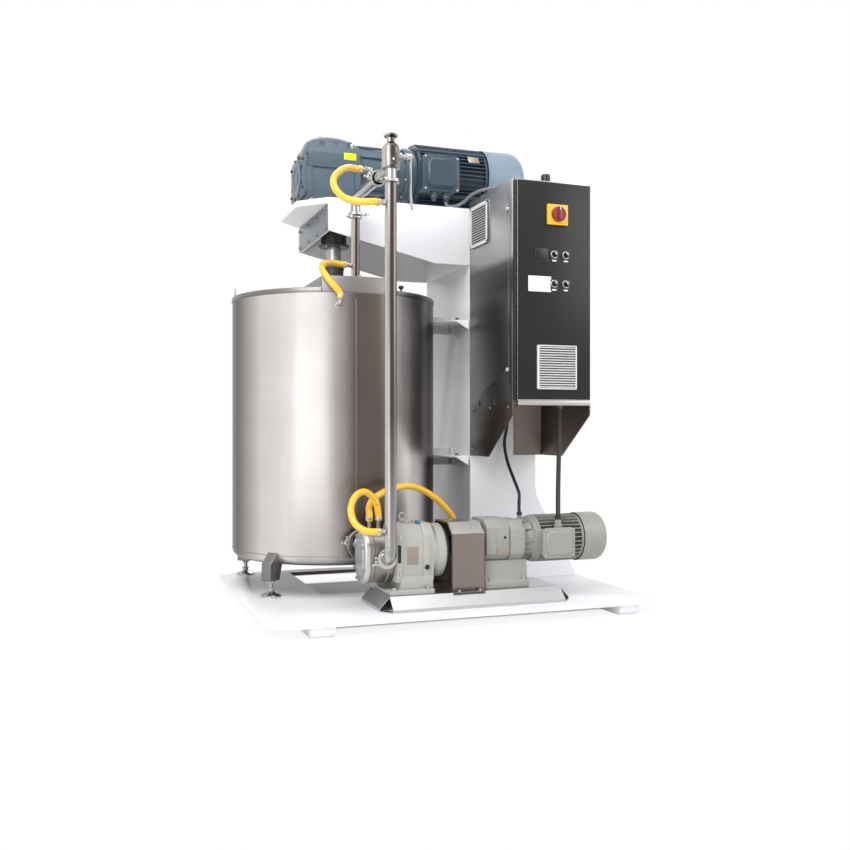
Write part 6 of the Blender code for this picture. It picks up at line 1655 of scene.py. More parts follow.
class GRINDER_OT_gearbox(GrinderStep, bpy.types.Operator):
    """Builds the bevel gearbox with its end cap, ribs, cover, breather, sticker and motor flange"""

    bl_idname = "grinder.gearbox"
    bl_label = "Gearbox"

    def build(self, sizes):
        y = DRIVE_Y
        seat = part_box("gearbox_case")[0].z
        ledge, eaves, roof_z, dome = 2.129, 2.198, 2.245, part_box("gearbox_case")[1].z
        shape = Shape()
        self.case(shape, 0.357, 0.6245, seat, ledge)
        rim = [(PLATE_LOW.y + v, w) for v, w in chamfered(0.866, ledge - 0.006, 1.174, ledge + 0.006, 0.003)]
        shape.slab(on_plane(rim, "X", PLATE_LOW.x + 0.355), (0.270, 0, 0))
        roof = [
            (y - 0.150, ledge), (y + 0.150, ledge), (y + 0.150, eaves), (y + 0.115, roof_z),
            (y - 0.115, roof_z), (y - 0.150, eaves)
        ]
        shape.slab([at(0.360, v, w) for v, w in roof], (0.262, 0, 0), 0.005)
        foot_z = 2.200
        vaults = []
        centre_x, half_x = 0.503, 0.133
        for turn in range(-80, 81, 10):
            x = centre_x + half_x * math.sin(math.radians(turn)) / math.sin(math.radians(80))
            share = 0.42 + 0.58 * math.cos(math.radians(turn)) ** 0.8
            wide = 0.130 * (0.55 + 0.45 * share)
            crown = arc((0.0, 0.0), 1.0, 0.0, 180.0, 25)
            vaults.append([at(x, y + u * wide, foot_z + v * (dome - foot_z) * share) for u, v in crown])
        shape.loft(vaults)
        shape.box(at(0.360, y - 0.136, seat), at(0.600, y + 0.136, seat + 0.016), 0.003)
        axis_z = MOTOR_Z
        shape.rod(at(0.600, y, axis_z), at(0.812, y, axis_z), 0.118, 0.112, 64)
        shape.rod(at(0.612, y, axis_z), at(0.640, y, axis_z), 0.126, 0.122, 64, 0.003)
        shape.ring(0.060, 0.138, at(0.800, y, axis_z), at(0.826, y, axis_z), 72, 0.003)
        shape.rod(at(0.826, y, axis_z), at(0.872, y, axis_z), 0.124, 0.124, 72)
        shape.ring(0.060, 0.138, at(0.872, y, axis_z), at(0.9296, y, axis_z), 72, 0.003)
        shape.ring(0.118, 0.1405, at(0.884, y, axis_z), at(0.892, y, axis_z), 72, 0.001)
        for turn in range(8):
            out = spoke(turn * 45 + 22.5)
            shape.block(
                at(0.710, y, axis_z) + out * 0.122, (0.180, 0.008, 0.014), RIGHT, RIGHT.cross(out), 0.002
            )
        cap_z = 2.090
        plate = [(PLATE_LOW.y + v, w) for v, w in chamfered(0.8705, 1.984, 1.1695, 2.192, 0.022)]
        shape.slab(on_plane(plate, "X", PLATE_LOW.x + 0.336), (0.024, 0, 0), 0.004)
        cap = [
            (0.094, 0.008), (0.094, 0.003), (0.090, 0.0), (0.062, 0.0), (0.058, 0.003), (0.030, 0.003),
            (0.027, 0.0), (0.0, 0.0)
        ]
        shape.turned([(0.0, 0.008), *cap], at(0.330, y, cap_z), RIGHT, 64)
        shape.piece("gearbox_form", "gearbox_paint", replaces=("gearbox_case",))
        places = around(at(0.3362, y, cap_z), LEFT, 0.104, 8, 22.5)
        places += [(at(0.3362, y + side * 0.128, z), LEFT) for side in (-1, 1) for z in (2.020, 2.160)]
        bolts("cap_bolts", places, 0.014, 0.006, surface="dark_casting")
        bolts("flange_bolts", around(at(0.872, y, axis_z), LEFT, 0.131, 8, 22.5), 0.012, 0.008)
        self.fittings(y, eaves, dome)

    def case(self, shape, left, right, seat, ledge):
        """The lower casting: a core set back between two slanting end posts."""
        y_low, y_high = 0.870, 1.170
        core = [
            (y_low + 0.007, seat + 0.055), (y_low + 0.026, seat), (y_high - 0.026, seat),
            (y_high - 0.007, seat + 0.055), (y_high - 0.007, ledge), (y_low + 0.007, ledge)
        ]
        shape.slab([at(left + 0.004, v, w) for v, w in core], (right - left - 0.008, 0, 0), 0.006)
        for x in (left, right - 0.028):
            post = [
                (y_low, seat + 0.060), (y_low + 0.024, seat + 0.004), (y_high - 0.024, seat + 0.004),
                (y_high, seat + 0.060), (y_high, ledge), (y_low, ledge)
            ]
            shape.slab([at(x, v, w) for v, w in post], (0.028, 0, 0), 0.005)

    def fittings(self, y, eaves, dome):
        bits = Shape()
        foot = at(0.585, y - 0.122, eaves + 0.030)
        bits.rod(foot, foot + UP * 0.012, 0.011, sides=6)
        bits.turned(
            [(0.0, 0.0), (0.008, 0.0), (0.010, 0.005), (0.010, 0.012), (0.005, 0.017), (0.0, 0.017)],
            foot + UP * 0.012, UP, 20
        )
        bits.piece("gearbox_plugs", "zinc")
        notches = Shape()
        for x in (0.430, 0.500, 0.570):
            for side in (-1, 1):
                notches.box(
                    at(x, y + side * 0.108 - 0.010, dome - 0.074),
                    at(x + 0.018, y + side * 0.108 + 0.010, dome - 0.044), 0.003
                )
        for x in (0.455, 0.530):
            notches.rod(at(x, y, dome - 0.01), at(x, y, dome + 0.001), 0.012, sides=20, edge=0.0015)
        notches.piece("gearbox_lugs", "gearbox_paint")
        tag = Shape()
        tag.box(at(0.538, y - 0.1512, 2.168), at(0.601, y - 0.1498, 2.202), 0.0003)
        tag.piece("gearbox_sticker", "yellow_sticker")


class GRINDER_OT_motor(GrinderStep, bpy.types.Operator):
    """Builds the agitator's motor: finned frame, feet, terminal box, bare plate, and cowl with its air grid
    """

    bl_idname = "grinder.motor"
    bl_label = "Motor"

    def build(self, sizes):
        y, z = DRIVE_Y, MOTOR_Z
        left, right = 0.930, 1.316
        frame_form = Shape()
        frame_form.ring(0.021, 0.1425, at(left, y, z), at(right, y, z), 72)
        frame_form.ring(0.120, 0.158, at(left, y, z), at(left + 0.020, y, z), 72, 0.002)
        frame_form.ring(0.120, 0.158, at(right - 0.016, y, z), at(right, y, z), 72, 0.002)
        for turn in (45, 135, 225, 315):
            out = spoke(turn)
            frame_form.block(
                at((left + right) / 2, y, z) + out * 0.153, (right - left - 0.004, 0.022, 0.020), RIGHT,
                RIGHT.cross(out), 0.003
            )
        frame_form.piece("motor_frame_form", "motor_paint", replaces=("motor_frame",))
        fins(
            "motor_fins", "motor_paint", sizes.motor_fins, 0.140, 0.1645, right - left - 0.030, 0.0042,
            at((left + right) / 2, y, z)
        )
        self.terminal_box()
        self.cowl(y, z, right)
        plate = Shape()
        out = spoke(152)
        plate.block(at(1.235, y, z) + out * 0.1655, (0.062, 0.040, 0.0016), RIGHT, RIGHT.cross(out), 0.0005)
        plate.piece("motor_plate", "bare_plate")

    def terminal_box(self):
        """A cast box with a raised, chamfered lid held by four screws, and two cable glands."""
        x0, x1 = PLATE_LOW.x + 0.918, PLATE_LOW.x + 1.116
        z0, z1 = 2.025, 2.211
        front = PLATE_LOW.y + 0.770
        shape = Shape()
        for back, inset in ((0.170, 0.000), (0.060, -0.0035)):
            outline = chamfered(x0 - inset, z0 - inset, x1 + inset, z1 + inset, 0.016)
            if back == 0.170:
                outline = chamfered(x0 + 0.010, z0 + 0.012, x1 - 0.010, z1 - 0.012, 0.012)
            shape.slab(on_plane(outline, "Y", front + 0.012), (0, back - 0.012, 0), 0.003)
        lid = chamfered(x0, z0, x1, z1, 0.018)
        shape.slab(on_plane(lid, "Y", front), (0, 0.0135, 0), 0.0035)
        raised = chamfered(x0 + 0.022, z0 + 0.018, x1 - 0.022, z1 - 0.018, 0.022)
        top = chamfered(x0 + 0.034, z0 + 0.030, x1 - 0.034, z1 - 0.030, 0.016)
        shape.loft(
            [
                on_plane(raised, "Y", front + 0.001), on_plane(raised, "Y", front - 0.008),
                on_plane(top, "Y", front - 0.0175)
            ]
        )
        for share in (0.35, 0.68):
            x = x0 + share * 0.198
            seat = Vector((x, front + 0.030, z0 + 0.004))
            shape.rod(seat, seat - UP * 0.016, 0.021, sides=ROUND, edge=0.002)
            shape.rod(seat - UP * 0.016, seat - UP * 0.030, 0.019, sides=6, edge=0.001)
            shape.rod(seat - UP * 0.030, seat - UP * 0.0435, 0.0135, 0.011, 20)
        shape.piece("terminal_box_form", "motor_paint", replaces=("motor_terminal_box",))
        screws = [
            (Vector((x, front, z)), FRONT) for x in (x0 + 0.013, x1 - 0.013) for z in (z0 + 0.013, z1 - 0.013)
        ]
        bolts("terminal_screws", screws, 0.010, 0.005)

    def cowl(self, y, z, right):
        """The fan cowl, rounded at its end, with rings and crossed bars over its air hole."""
        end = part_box("motor_cowl")[1].x - PLATE_LOW.x
        outer = 0.168
        shape = Shape()
        fan_cowl(shape, at(right + 0.0003, y, z), end - right - 0.0003, outer, 0.003, 0.075, 11, 0.074, 96)
        shape.ring(
            outer - 0.0004, outer + 0.0012, at(right + 0.008, y, z), at(right + 0.016, y, z), 96, 0.0005
        )
        fan_grid(shape, at(end, y, z), (0.020, 0.036, 0.052, 0.068), 0.0022, 64, (0.150, 0.005, 0.002))
        shape.piece("motor_cowl_form", "cowl_paint", replaces=("motor_cowl",))
        screws = around(at(right + 0.012, y, z), RIGHT, outer, 4, 45)
        bolts(
            "cowl_screws", [(p, (p - at(right + 0.012, y, z)).normalized()) for p, _ in screws], 0.010, 0.005
        )


class GRINDER_OT_line(GrinderStep, bpy.types.Operator):
    """Builds the chocolate line: riser, top valve with its lever, branch, drop pipe, elbow and clamps"""

    bl_idname = "grinder.line"
    bl_label = "Chocolate line"

    def build(self, sizes):
        self.x, self.y, self.drop_y = LINE_X, RISER_Y, DROP_Y
        self.riser()
        self.branch()
        self.valve()
        self.lever()
        self.elbow()
        self.clamps()

    def nipple(self, shape, tip, root):
        """A stub welded to a pipe, with a hex collar and barbs at its tip."""
        tip, root = Vector(tip), Vector(root)
        along = (tip - root).normalized()
        shape.rod(root, tip - along * 0.0006, 0.0088, sides=20)
        shape.rod(root, tip - along * 0.020, 0.0125, 0.0125, 20, 0.001)
        shape.rod(tip - along * 0.018, tip - along * 0.010, 0.0140, sides=6, edge=0.001)
        shape.ring(0.006, 0.0112, tip - along * 0.006, tip - along * 0.0025, 20, 0.001)

    def riser(self):
        low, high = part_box("riser_pipe")
        shape = Shape()
        shape.ring(0.0238, 0.0254, at(self.x, self.y, low.z), at(self.x, self.y, high.z), SMOOTH)
        for z in (0.405, 1.788):
            self.nipple(shape, at(self.x - 0.045, self.y, z), at(self.x - 0.0245, self.y, z))
        shape.ring(0.0250, 0.0262, at(self.x, self.y, 1.100), at(self.x, self.y, 1.102), SMOOTH)
        shape.piece("riser_form", "riser_steel", replaces=("riser_pipe",))

    def branch(self):
        """The branch from the tee to the drop pipe, its water jacket's nipple, and the drop pipe itself."""
        z = 1.935
        shape = Shape()
        shape.ring(0.0238, 0.0254, at(self.x, self.y, 1.8803), at(self.x, self.y, 1.9677), SMOOTH)
        turn = [at(self.x, v, w) for v, w in arc((self.drop_y - 0.05, z - 0.05), 0.05, 90.0, 0.0, 11)]
        shape.tube([at(self.x, self.y + 0.020, z), *turn, at(self.x, self.drop_y, 1.8545)], 0.024, 40)
        nipple_y = 0.430
        shape.rod(at(self.x, nipple_y, z), at(self.x, nipple_y, 2.013), 0.0125, sides=ROUND, edge=0.003)
        self.nipple(shape, at(self.x - 0.035, nipple_y, 2.003), at(self.x, nipple_y, 2.003))
        side = [
            at(self.x + 0.030, v, w) for v,
            w in (
                (0.205, 1.935), (0.215, 1.960), (0.250, 1.972), (0.520, 1.972), (0.560, 1.962), (0.575, 1.940)
            )
        ]
        shape.tube(smooth_route(side, 0.012), 0.009, 16)
        for v in (0.200, 0.580):
            shape.rod(at(self.x + 0.012, v, 1.937), at(self.x + 0.034, v, 1.937), 0.011, sides=20, edge=0.001)
        shape.ring(0.0240, 0.0300, at(self.x, 0.300, z), at(self.x, 0.306, z), 40, 0.001)
        shape.ring(0.0240, 0.0300, at(self.x, 0.308, z), at(self.x, 0.314, z), 40, 0.001)
        shape.piece("branch_form", "pipe_steel", replaces=("branch_pipe",))
        low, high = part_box("drop_pipe")
        drop = Shape()
        drop.ring(0.0194, 0.0210, at(self.x, self.drop_y, low.z), at(self.x, self.drop_y, high.z), SMOOTH)
        self.nipple(drop, at(self.x - 0.042, self.drop_y, 1.614), at(self.x - 0.020, self.drop_y, 1.614))
        drop.piece("drop_form", "drop_steel", replaces=("drop_pipe",))

    def valve(self):
        """The valve's body on the tee, with its neck, its top ferrule and the boss for the lever."""
        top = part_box("top_valve")[1].z
        profile = [
            (0.0, 0.0), (0.0395, 0.0), (0.0405, 0.004), (0.0405, 0.008), (0.0380, 0.012), (0.0380, 0.084),
            (0.0360, 0.093), (0.0290, 0.103), (0.0200, 0.108), (0.0176, 0.112), (0.0176, 0.128),
            (0.0225, 0.132), (0.0295, 0.134), (0.0305, 0.137), (0.0305, 0.141), (0.0280, 0.144),
            (0.0190, 0.144), (0.0160, 0.136), (0.0, 0.135)
        ]
        base = top - 0.150
        shape = Shape()
        shape.turned(profile, at(self.x, self.y, base), UP, 56)
        shape.rod(
            at(self.x + 0.030, self.y, 1.988), at(self.x + 0.0485, self.y, 1.988), 0.014, sides=ROUND,
            edge=0.002
        )
        shape.ring(0.0360, 0.0385, at(self.x, self.y, 1.994), at(self.x, self.y, 1.997), 56, 0.001)
        shape.piece("valve_form", "riser_steel", replaces=("top_valve",))

    def lever(self):
        """The valve's lever: a hub with a screw and a long flat blade, bent outward at its end."""
        shape = Shape()
        z = 1.988
        shape.rod(at(self.x + 0.040, self.y, z), at(0.628, self.y, z), 0.0075, sides=20)
        shape.rod(at(0.604, self.y, z), at(0.634, self.y, z), 0.0155, sides=ROUND, edge=0.003)
        blade = [
            (0.6255, z + 0.010), (0.6255, z - 0.150), (0.6315, z - 0.214), (0.6345, z - 0.2235),
            (0.6385, z - 0.2225), (0.6360, z - 0.212), (0.6300, z - 0.148), (0.6300, z + 0.010)
        ]
        shape.slab([at(u, self.y - 0.010, w) for u, w in blade], (0, 0.020, 0), 0.0010)
        shape.rod(at(0.634, self.y, z), at(0.640, self.y, z), 0.0085, sides=6, edge=0.001)
        shape.piece("lever_form", "zinc", "valve_handle", ("valve_handle",))

    def elbow(self):
        """The elbow from the pump's front port up into the riser."""
        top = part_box("outlet_elbow")[1].z
        port = PUMP_Y - 0.095 - 0.0003
        z = PORT_Z
        turn = [at(self.x, v, w) for v, w in arc((self.y + 0.045, z + 0.045), 0.045, 270.0, 180.0, 11)]
        shape = Shape()
        shape.tube([at(self.x, port, z), *turn, at(self.x, self.y, top)], 0.0254, 40)
        shape.ring(0.020, 0.036, at(self.x, port, z), at(self.x, port - 0.007, z), 48, 0.001)
        shape.piece("elbow_form", "riser_steel", replaces=("outlet_elbow",))

    def clamps(self):
        """Ring clamps with wing nuts at the joints."""
        shape = Shape()
        places = (
            ((self.x, self.y, 1.8802), UP, 0.0315, LEFT + FRONT * 0.4, 0.014),
            ((self.x, self.drop_y, 1.8543), UP, 0.0300, RIGHT + FRONT * 0.5, 0.014),
            ((self.x, self.drop_y, 1.8380), UP, 0.0245, LEFT + FRONT * 0.3, 0.010),
            ((self.x, 0.307, 1.935), FRONT, 0.0305, LEFT + UP * 0.5, 0.014),
            ((self.x, self.y, 1.9640), UP, 0.0290, BACK, 0.010),
            ((self.x, PUMP_Y - 0.0955, PORT_Z), FRONT, 0.0375, LEFT, 0.015)
        )
        for place, axis, radius, side, width in places:
            axis = Vector(axis)
            side = Vector(side)
            side = side - axis * side.dot(axis)
            ring_clamp(shape, at(*place), axis, radius, side, width)
        shape.piece("line_clamps", "zinc")


class GRINDER_OT_pump(GrinderStep, bpy.types.Operator):
    """Builds the lobe pump: cover, head with nipples, gear case with window, plate and caps, and the tray"""

    bl_idname = "grinder.pump"
    bl_label = "Pump"

    def build(self, sizes):
        y, z = PLATE_LOW.y + PUMP_Y, PORT_Z
        self.cover(y, z)
        self.head(y, z)
        self.gear_case(y, z)
        self.tray()

    def cover(self, y, z):
        x0, x1 = (corner.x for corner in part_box("pump_cover"))
        shape = Shape()
        rings = []
        for x, inset in (
            (x1, 0.0), (x0 + 0.008, 0.0), (x0 + 0.004, 0.0015), (x0 + 0.001, 0.005), (x0, 0.009)
        ):
            rings.append(on_plane(obround(y, z, 0.085 - inset, 0.113 - inset, 21), "X", x))
        shape.loft(rings)
        shape.loft(
            [
                on_plane(obround(y, z, 0.052, 0.080, 21), "X", x0 + 0.002),
                on_plane(obround(y, z, 0.050, 0.078, 21), "X", x0 - 0.002)
            ]
        )
        shape.piece("pump_cover_form", "pump_steel", replaces=("pump_cover",))
        places = []
        for u, v in arc((0.0, 0.028), 0.069, 18.0, 162.0, 4) + arc((0.0, -0.028), 0.069, 198.0, 342.0, 4):
            places.append((Vector((x0 + 0.0015, y + u, z + v)), LEFT))
        bolts("cover_bolts", places, 0.017, 0.010, surface="shaft_steel")

    def head(self, y, z):
        x0, x1 = (corner.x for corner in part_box("pump_head"))
        shape = Shape()
        hole = obround(y, z, 0.0513, 0.0888, 21)
        outer = obround(y, z, 0.085, 0.113, 21)
        slim = obround(y, z, 0.081, 0.109, 21)
        sections = (
            (outer, x0), (outer, x0 + 0.020), (slim, x0 + 0.024), (slim, x1 - 0.030), (outer, x1 - 0.026),
            (outer, x1)
        )
        rings = [on_plane(points, "X", x) for points, x in sections]
        rings += [on_plane(hole, "X", x1), on_plane(hole, "X", x0)]
        shape.loft(rings, closed=True)
        port = PLATE_LOW.x + LINE_X
        for side in (-1, 1):
            wall = Vector((port, y + side * 0.074, z))
            end = Vector((port, y + side * 0.0950, z))
            shape.ring(0.0205, 0.030, wall, end, SMOOTH, 0.001)
            shape.ring(0.0205, 0.036, end - Vector((0, side * 0.007, 0)), end, SMOOTH, 0.001)
        for x in (0.490, 0.530):
            foot = Vector((PLATE_LOW.x + x, y, z + 0.100))
            shape.rod(foot, foot + UP * 0.0568, 0.0088, sides=20)
            shape.rod(foot + UP * 0.010, foot + UP * 0.024, 0.0135, sides=6, edge=0.001)
        shape.piece("pump_head_form", "head_steel", replaces=("pump_head",))

    def gear_case(self, y, z):
        left, right = PLATE_LOW.x + 0.5793, PLATE_LOW.x + 0.750
        section = [
            (y - 0.110, 0.178), (y + 0.110, 0.178), (y + 0.110, 0.370), (y + 0.104, 0.386),
            (y + 0.066, 0.4275), (y + 0.052, 0.430), (y - 0.052, 0.430), (y - 0.066, 0.4275),
            (y - 0.104, 0.386), (y - 0.110, 0.370)
        ]
        inner = [(y + (u - y) * 0.955, 0.300 + (v - 0.300) * 0.965) for u, v in section]
        shape = Shape()
        shape.slab(on_plane(section, "X", left), (0.030, 0, 0), 0.004)
        shape.slab(on_plane(inner, "X", left + 0.024), (right - left - 0.060, 0, 0), 0.003)
        shape.slab(on_plane(section, "X", right - 0.050), (0.034, 0, 0), 0.005)
        shape.slab(on_plane(inner, "X", right - 0.018), (0.018, 0, 0), 0.003)
        bell_z, bell_r = 0.300, 0.118
        bell = [
            (0.0, 0.0), (bell_r - 0.010, 0.0), (bell_r - 0.010, 0.018), (bell_r, 0.024), (bell_r, 0.058),
            (bell_r - 0.006, 0.0645), (0.0, 0.0645)
        ]
        shape.turned(bell, Vector((right - 0.004, y, bell_z)), RIGHT, 72)
        x0, x1 = PLATE_LOW.x + 0.545, PLATE_LOW.x + 0.745
        for side in (-1, 1):
            low_y, high_y = sorted((y + side * 0.130, y + side * 0.070))
            shape.box((x0, low_y, 0.1283), (x1, high_y, 0.150), 0.004)
            web = [(x0 + 0.045, 0.148), (x1, 0.148), (x1, 0.205), (x0 + 0.060, 0.205)]
            shape.slab([Vector((u, y + side * 0.088, v)) for u, v in web], (0, side * 0.024, 0), 0.004)
        shape.box((x0, y - 0.075, 0.1283), (x1, y + 0.075, 0.142), 0.003)
        shape.box((x0 + 0.060, y - 0.080, 0.140), (x1, y + 0.080, 0.182), 0.004)
        shape.piece("gear_case_form", "pump_paint", replaces=("pump_gear_case",))
        front = y - 0.110
        glass = Shape()
        glass.box((left + 0.004, front - 0.001, 0.262), (left + 0.020, front + 0.004, 0.340), 0.002)
        glass.rod(
            Vector((right - 0.033, front + 0.003, 0.240)), Vector((right - 0.033, front - 0.004, 0.240)),
            0.011, sides=ROUND, edge=0.001
        )
        glass.piece("gear_case_window", "display_glass")
        plate = Shape()
        plate.box((left + 0.048, front + 0.0035, 0.252), (left + 0.100, front + 0.0062, 0.330), 0.0008)
        plate.piece("gear_case_plate", "bare_plate")
        caps = (("blue_cap", 0.692, 0.425), ("red_cap", 0.7595, 0.4085))
        for surface, x, top in caps:
            cap = Shape()
            foot = Vector((PLATE_LOW.x + x, y - (0.055 if surface == "blue_cap" else 0.018), top - 0.012))
            cap.turned(
                [(0.0, 0.0), (0.011, 0.0), (0.011, 0.020), (0.009, 0.0235), (0.0, 0.0245)], foot, UP, 20
            )
            cap.piece(f"{surface}_piece", surface)
        eye = Shape()
        top = Vector((PLATE_LOW.x + 0.640, y, 0.429))
        eye.rod(top, top + UP * 0.010, 0.013, sides=20, edge=0.001)
        hoop = [top + Vector((u, 0, v)) for u, v in arc((0.0, 0.024), 0.014, -90.0, 270.0, 25)]
        eye.tube(hoop, 0.004, 12)
        eye.piece("gear_case_eye", "pump_paint")
        # A black ring between the gear case's carrier and the guard: painted shade in the gap
        rubber = Shape()
        rubber.ring(
            0.070, 0.1100, Vector((PLATE_LOW.x + 0.8105, y, bell_z)),
            Vector((PLATE_LOW.x + 0.8225, y, bell_z)), 56, 0.001
        )
        rubber.piece("carrier_gap_shade", "black_rubber")
        places = [
            (Vector((x, y + side * 0.120, 0.150)), UP) for x in (x0 + 0.020, x1 - 0.030) for side in (-1, 1)
        ]
        bolts("gear_case_feet", places, 0.020, 0.010)
        rim = [(Vector((left + 0.015, front, v)), FRONT) for v in (0.215, 0.370)]
        bolts("gear_case_bolts", rim, 0.011, 0.006)

    def tray(self):
        """The stand under the pump: a flat top, four sloped flaps and a small lip along the floor."""
        low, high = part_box("pump_tray")
        deck, top = low.z, high.z
        wall = 0.003
        rise_x, rise_y = 0.045, 0.052
        x0, x1, y0, y1 = low.x, high.x, low.y, high.y
        u0, u1, v0, v1 = x0 + rise_x, x1 - rise_x, y0 + rise_y, y1 - rise_y
        shape = Shape()
        shape.box((u0 - 0.001, v0 - 0.001, top - wall), (u1 + 0.001, v1 + 0.001, top), 0.0012)
        lip = 0.014
        for side, (edge, start, stop) in (
            ("front", (y0, u0, u1)), ("back", (y1, u0, u1)), ("left", (x0, v0, v1)), ("right", (x1, v0, v1))
        ):
            inward = 1 if side in ("front", "left") else -1
            run = rise_y if side in ("front", "back") else rise_x
            profile = [
                (edge, deck), (edge + inward * wall, deck), (edge + inward * wall, deck + lip - 0.001),
                (edge + inward * (run + wall * 0.4), top - wall), (edge + inward * run, top - 0.0008),
                (edge, deck + lip)
            ]
            if side in ("front", "back"):
                shape.slab([Vector((start, v, w)) for v, w in profile], (stop - start, 0, 0))
            else:
                shape.slab([Vector((v, start, w)) for v, w in profile], (0, stop - start, 0))
        for x, y in ((u0, v0), (u1, v0), (u1, v1), (u0, v1)):
            out_x = 1 if x > (u0 + u1) / 2 else -1
            out_y = 1 if y > (v0 + v1) / 2 else -1
            base = [
                Vector((x, y + out_y * rise_y * 0.96, deck)), Vector((x + out_x * rise_x * 0.96, y, deck)),
                Vector((x, y, deck))
            ]
            shape.slab(base, (0, 0, 0.004))
        shape.piece("tray_form", "pump_steel", replaces=("pump_tray",))


class GRINDER_OT_drive(GrinderStep, bpy.types.Operator):
    """Builds the coupling guard, the coupling, the reducer and the pump's motor"""

    bl_idname = "grinder.drive"
    bl_label = "Pump drive"

    def build(self, sizes):
        y = PLATE_LOW.y + PUMP_Y
        self.guard(y)
        self.reducer(y, PUMP_MOTOR_Z)
        self.motor(y, PUMP_MOTOR_Z, sizes)

    def guard(self, y):
        softened("coupling_guard", "guard_steel", 0.0025)
        hems = Shape()
        low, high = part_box("coupling_guard")
        for x in (low.x, high.x - 0.004):
            outline = [
                (y - 0.130, 0.1285), (y - 0.130, 0.380), (y - 0.075, 0.426), (y + 0.075, 0.426),
                (y + 0.130, 0.380), (y + 0.130, 0.1285)
            ]
            inner = [(y + (u - y) * 0.94, v if v < 0.2 else v - 0.007) for u, v in outline]
            band = outline + inner[::-1]
            hems.slab(on_plane(band, "X", x), (0.004, 0, 0), 0.0008)
        for side in (-1, 1):
            low_y, high_y = sorted((y + side * 0.1295, y + side * 0.152))
            hems.box((low.x + 0.002, low_y, 0.1285), (high.x - 0.002, high_y, 0.1315), 0.0008)
        hems.piece("guard_hems", "guard_steel")
        outline = [(y - 0.1303, 0.3805), (y - 0.0752, 0.4266), (y + 0.0752, 0.4266), (y + 0.1303, 0.3805)]
        under = [(v - math.copysign(0.0006, v - y), w - 0.0004) for v, w in reversed(outline)]
        # A thin lighter skin over the guard's top: painted highlight where light falls on it
        cover = Shape()
        cover.slab(on_plane(outline + under, "X", low.x + 0.0045), (high.x - low.x - 0.009, 0, 0))
        cover.piece("guard_top_highlight", "zinc")
        places = [
            (Vector((x, y + side * 0.142, 0.1315)), UP) for x in (low.x + 0.03, high.x - 0.03)
            for side in (-1, 1)
        ]
        bolts("guard_bolts", places, 0.013, 0.007)
        coupling = Shape()
        start = Vector((PLATE_LOW.x + 0.862, y, 0.3175))
        coupling.ring(0.0203, 0.040, start, start + RIGHT * 0.034, ROUND + 8, 0.002)
        coupling.ring(0.0203, 0.042, start + RIGHT * 0.035, start + RIGHT * 0.048, ROUND + 8, 0.001)
        coupling.turned(
            [(0.0, 0.065), (0.038, 0.065), (0.040, 0.067), (0.040, 0.081), (0.038, 0.083), (0.0, 0.083)],
            start, RIGHT, ROUND + 8
        )
        coupling.ring(0.0205, 0.041, start + RIGHT * 0.047, start + RIGHT * 0.066, ROUND + 8, 0.001)
        coupling.rod(start + RIGHT * 0.080, start + RIGHT * 0.172, 0.020, sides=ROUND)
        coupling.piece("coupling_form", "black_rubber", "pump_drive", ("pump_coupling",))

    def reducer(self, y, z):
        x0, x1 = PLATE_LOW.x + 0.984, PLATE_LOW.x + 1.212
        base = Vector((x0, y, z))
        profile = [
            (0.0, 0.0), (0.070, 0.0), (0.075, 0.005), (0.075, 0.020), (0.088, 0.022), (0.088, 0.190),
            (0.094, 0.193), (0.094, 0.208), (0.080, 0.216), (0.074, 0.232), (0.086, 0.254), (0.102, 0.260),
            (0.102, 0.2743), (0.0, 0.2743)
        ]
        shape = Shape()
        shape.turned(profile, base, RIGHT, 64)
        first = chamfered(y - 0.100, 0.245, y + 0.100, 0.434, 0.036)
        second = chamfered(y - 0.106, 0.240, y + 0.106, 0.426, 0.040)
        shape.slab(on_plane(first, "X", x0 + 0.016), (0.114, 0, 0), 0.004)
        shape.slab(on_plane(second, "X", x0 + 0.132), (0.070, 0, 0), 0.004)
        for turn in range(10):
            out = spoke(turn * 36)
            shape.block(
                base + RIGHT * 0.232 + out * 0.084, (0.046, 0.006, 0.018), RIGHT, RIGHT.cross(out), 0.002
            )
        block = [
            (y - 0.110, 0.1283), (y + 0.110, 0.1283), (y + 0.110, 0.160), (y + 0.090, 0.172),
            (y + 0.082, 0.250), (y - 0.082, 0.250), (y - 0.090, 0.172), (y - 0.110, 0.160)
        ]
        shape.slab(on_plane(block, "X", x0 + 0.006), (x1 - x0 - 0.012, 0, 0), 0.005)
        gland = Vector((PLATE_LOW.x + 1.235, PLATE_LOW.y + 0.330, 0.0))
        shape.rod(gland + UP * 0.390, gland + UP * 0.4448, 0.0125, sides=6, edge=0.001)
        shape.rod(gland + UP * 0.375, gland + UP * 0.415, 0.019, sides=ROUND, edge=0.002)
        shape.piece("reducer_form", "drive_grey", replaces=("reducer",))
        plates = Shape()
        plates.box((x0 + 0.064, y - 0.1014, 0.274), (x0 + 0.122, y - 0.0995, 0.312), 0.0006)
        plates.piece("reducer_plate", "bare_plate")
        cover = Shape()
        cover.box((x0 + 0.062, y - 0.1030, 0.324), (x0 + 0.124, y - 0.0990, 0.386), 0.0015)
        cover.piece("reducer_cover", "drive_grey")
        plug = [(Vector((x0 + 0.106, y - 0.1030, 0.352)), FRONT)]
        bolts("reducer_plug", plug, 0.010, 0.003, 12, "black_plastic")
        bolts("reducer_bolts", around(Vector((x0 + 0.016, y, 0.338)), LEFT, 0.084, 8, 22.5), 0.011, 0.006)
        bolts("reducer_motor_bolts", around(base + RIGHT * 0.262, LEFT, 0.096, 4, 45), 0.012, 0.007)
        feet = [
            (Vector((x, y + side * 0.101, 0.163)), UP) for x in (x0 + 0.035, x1 - 0.035) for side in (-1, 1)
        ]
        bolts("reducer_feet", feet, 0.016, 0.009)

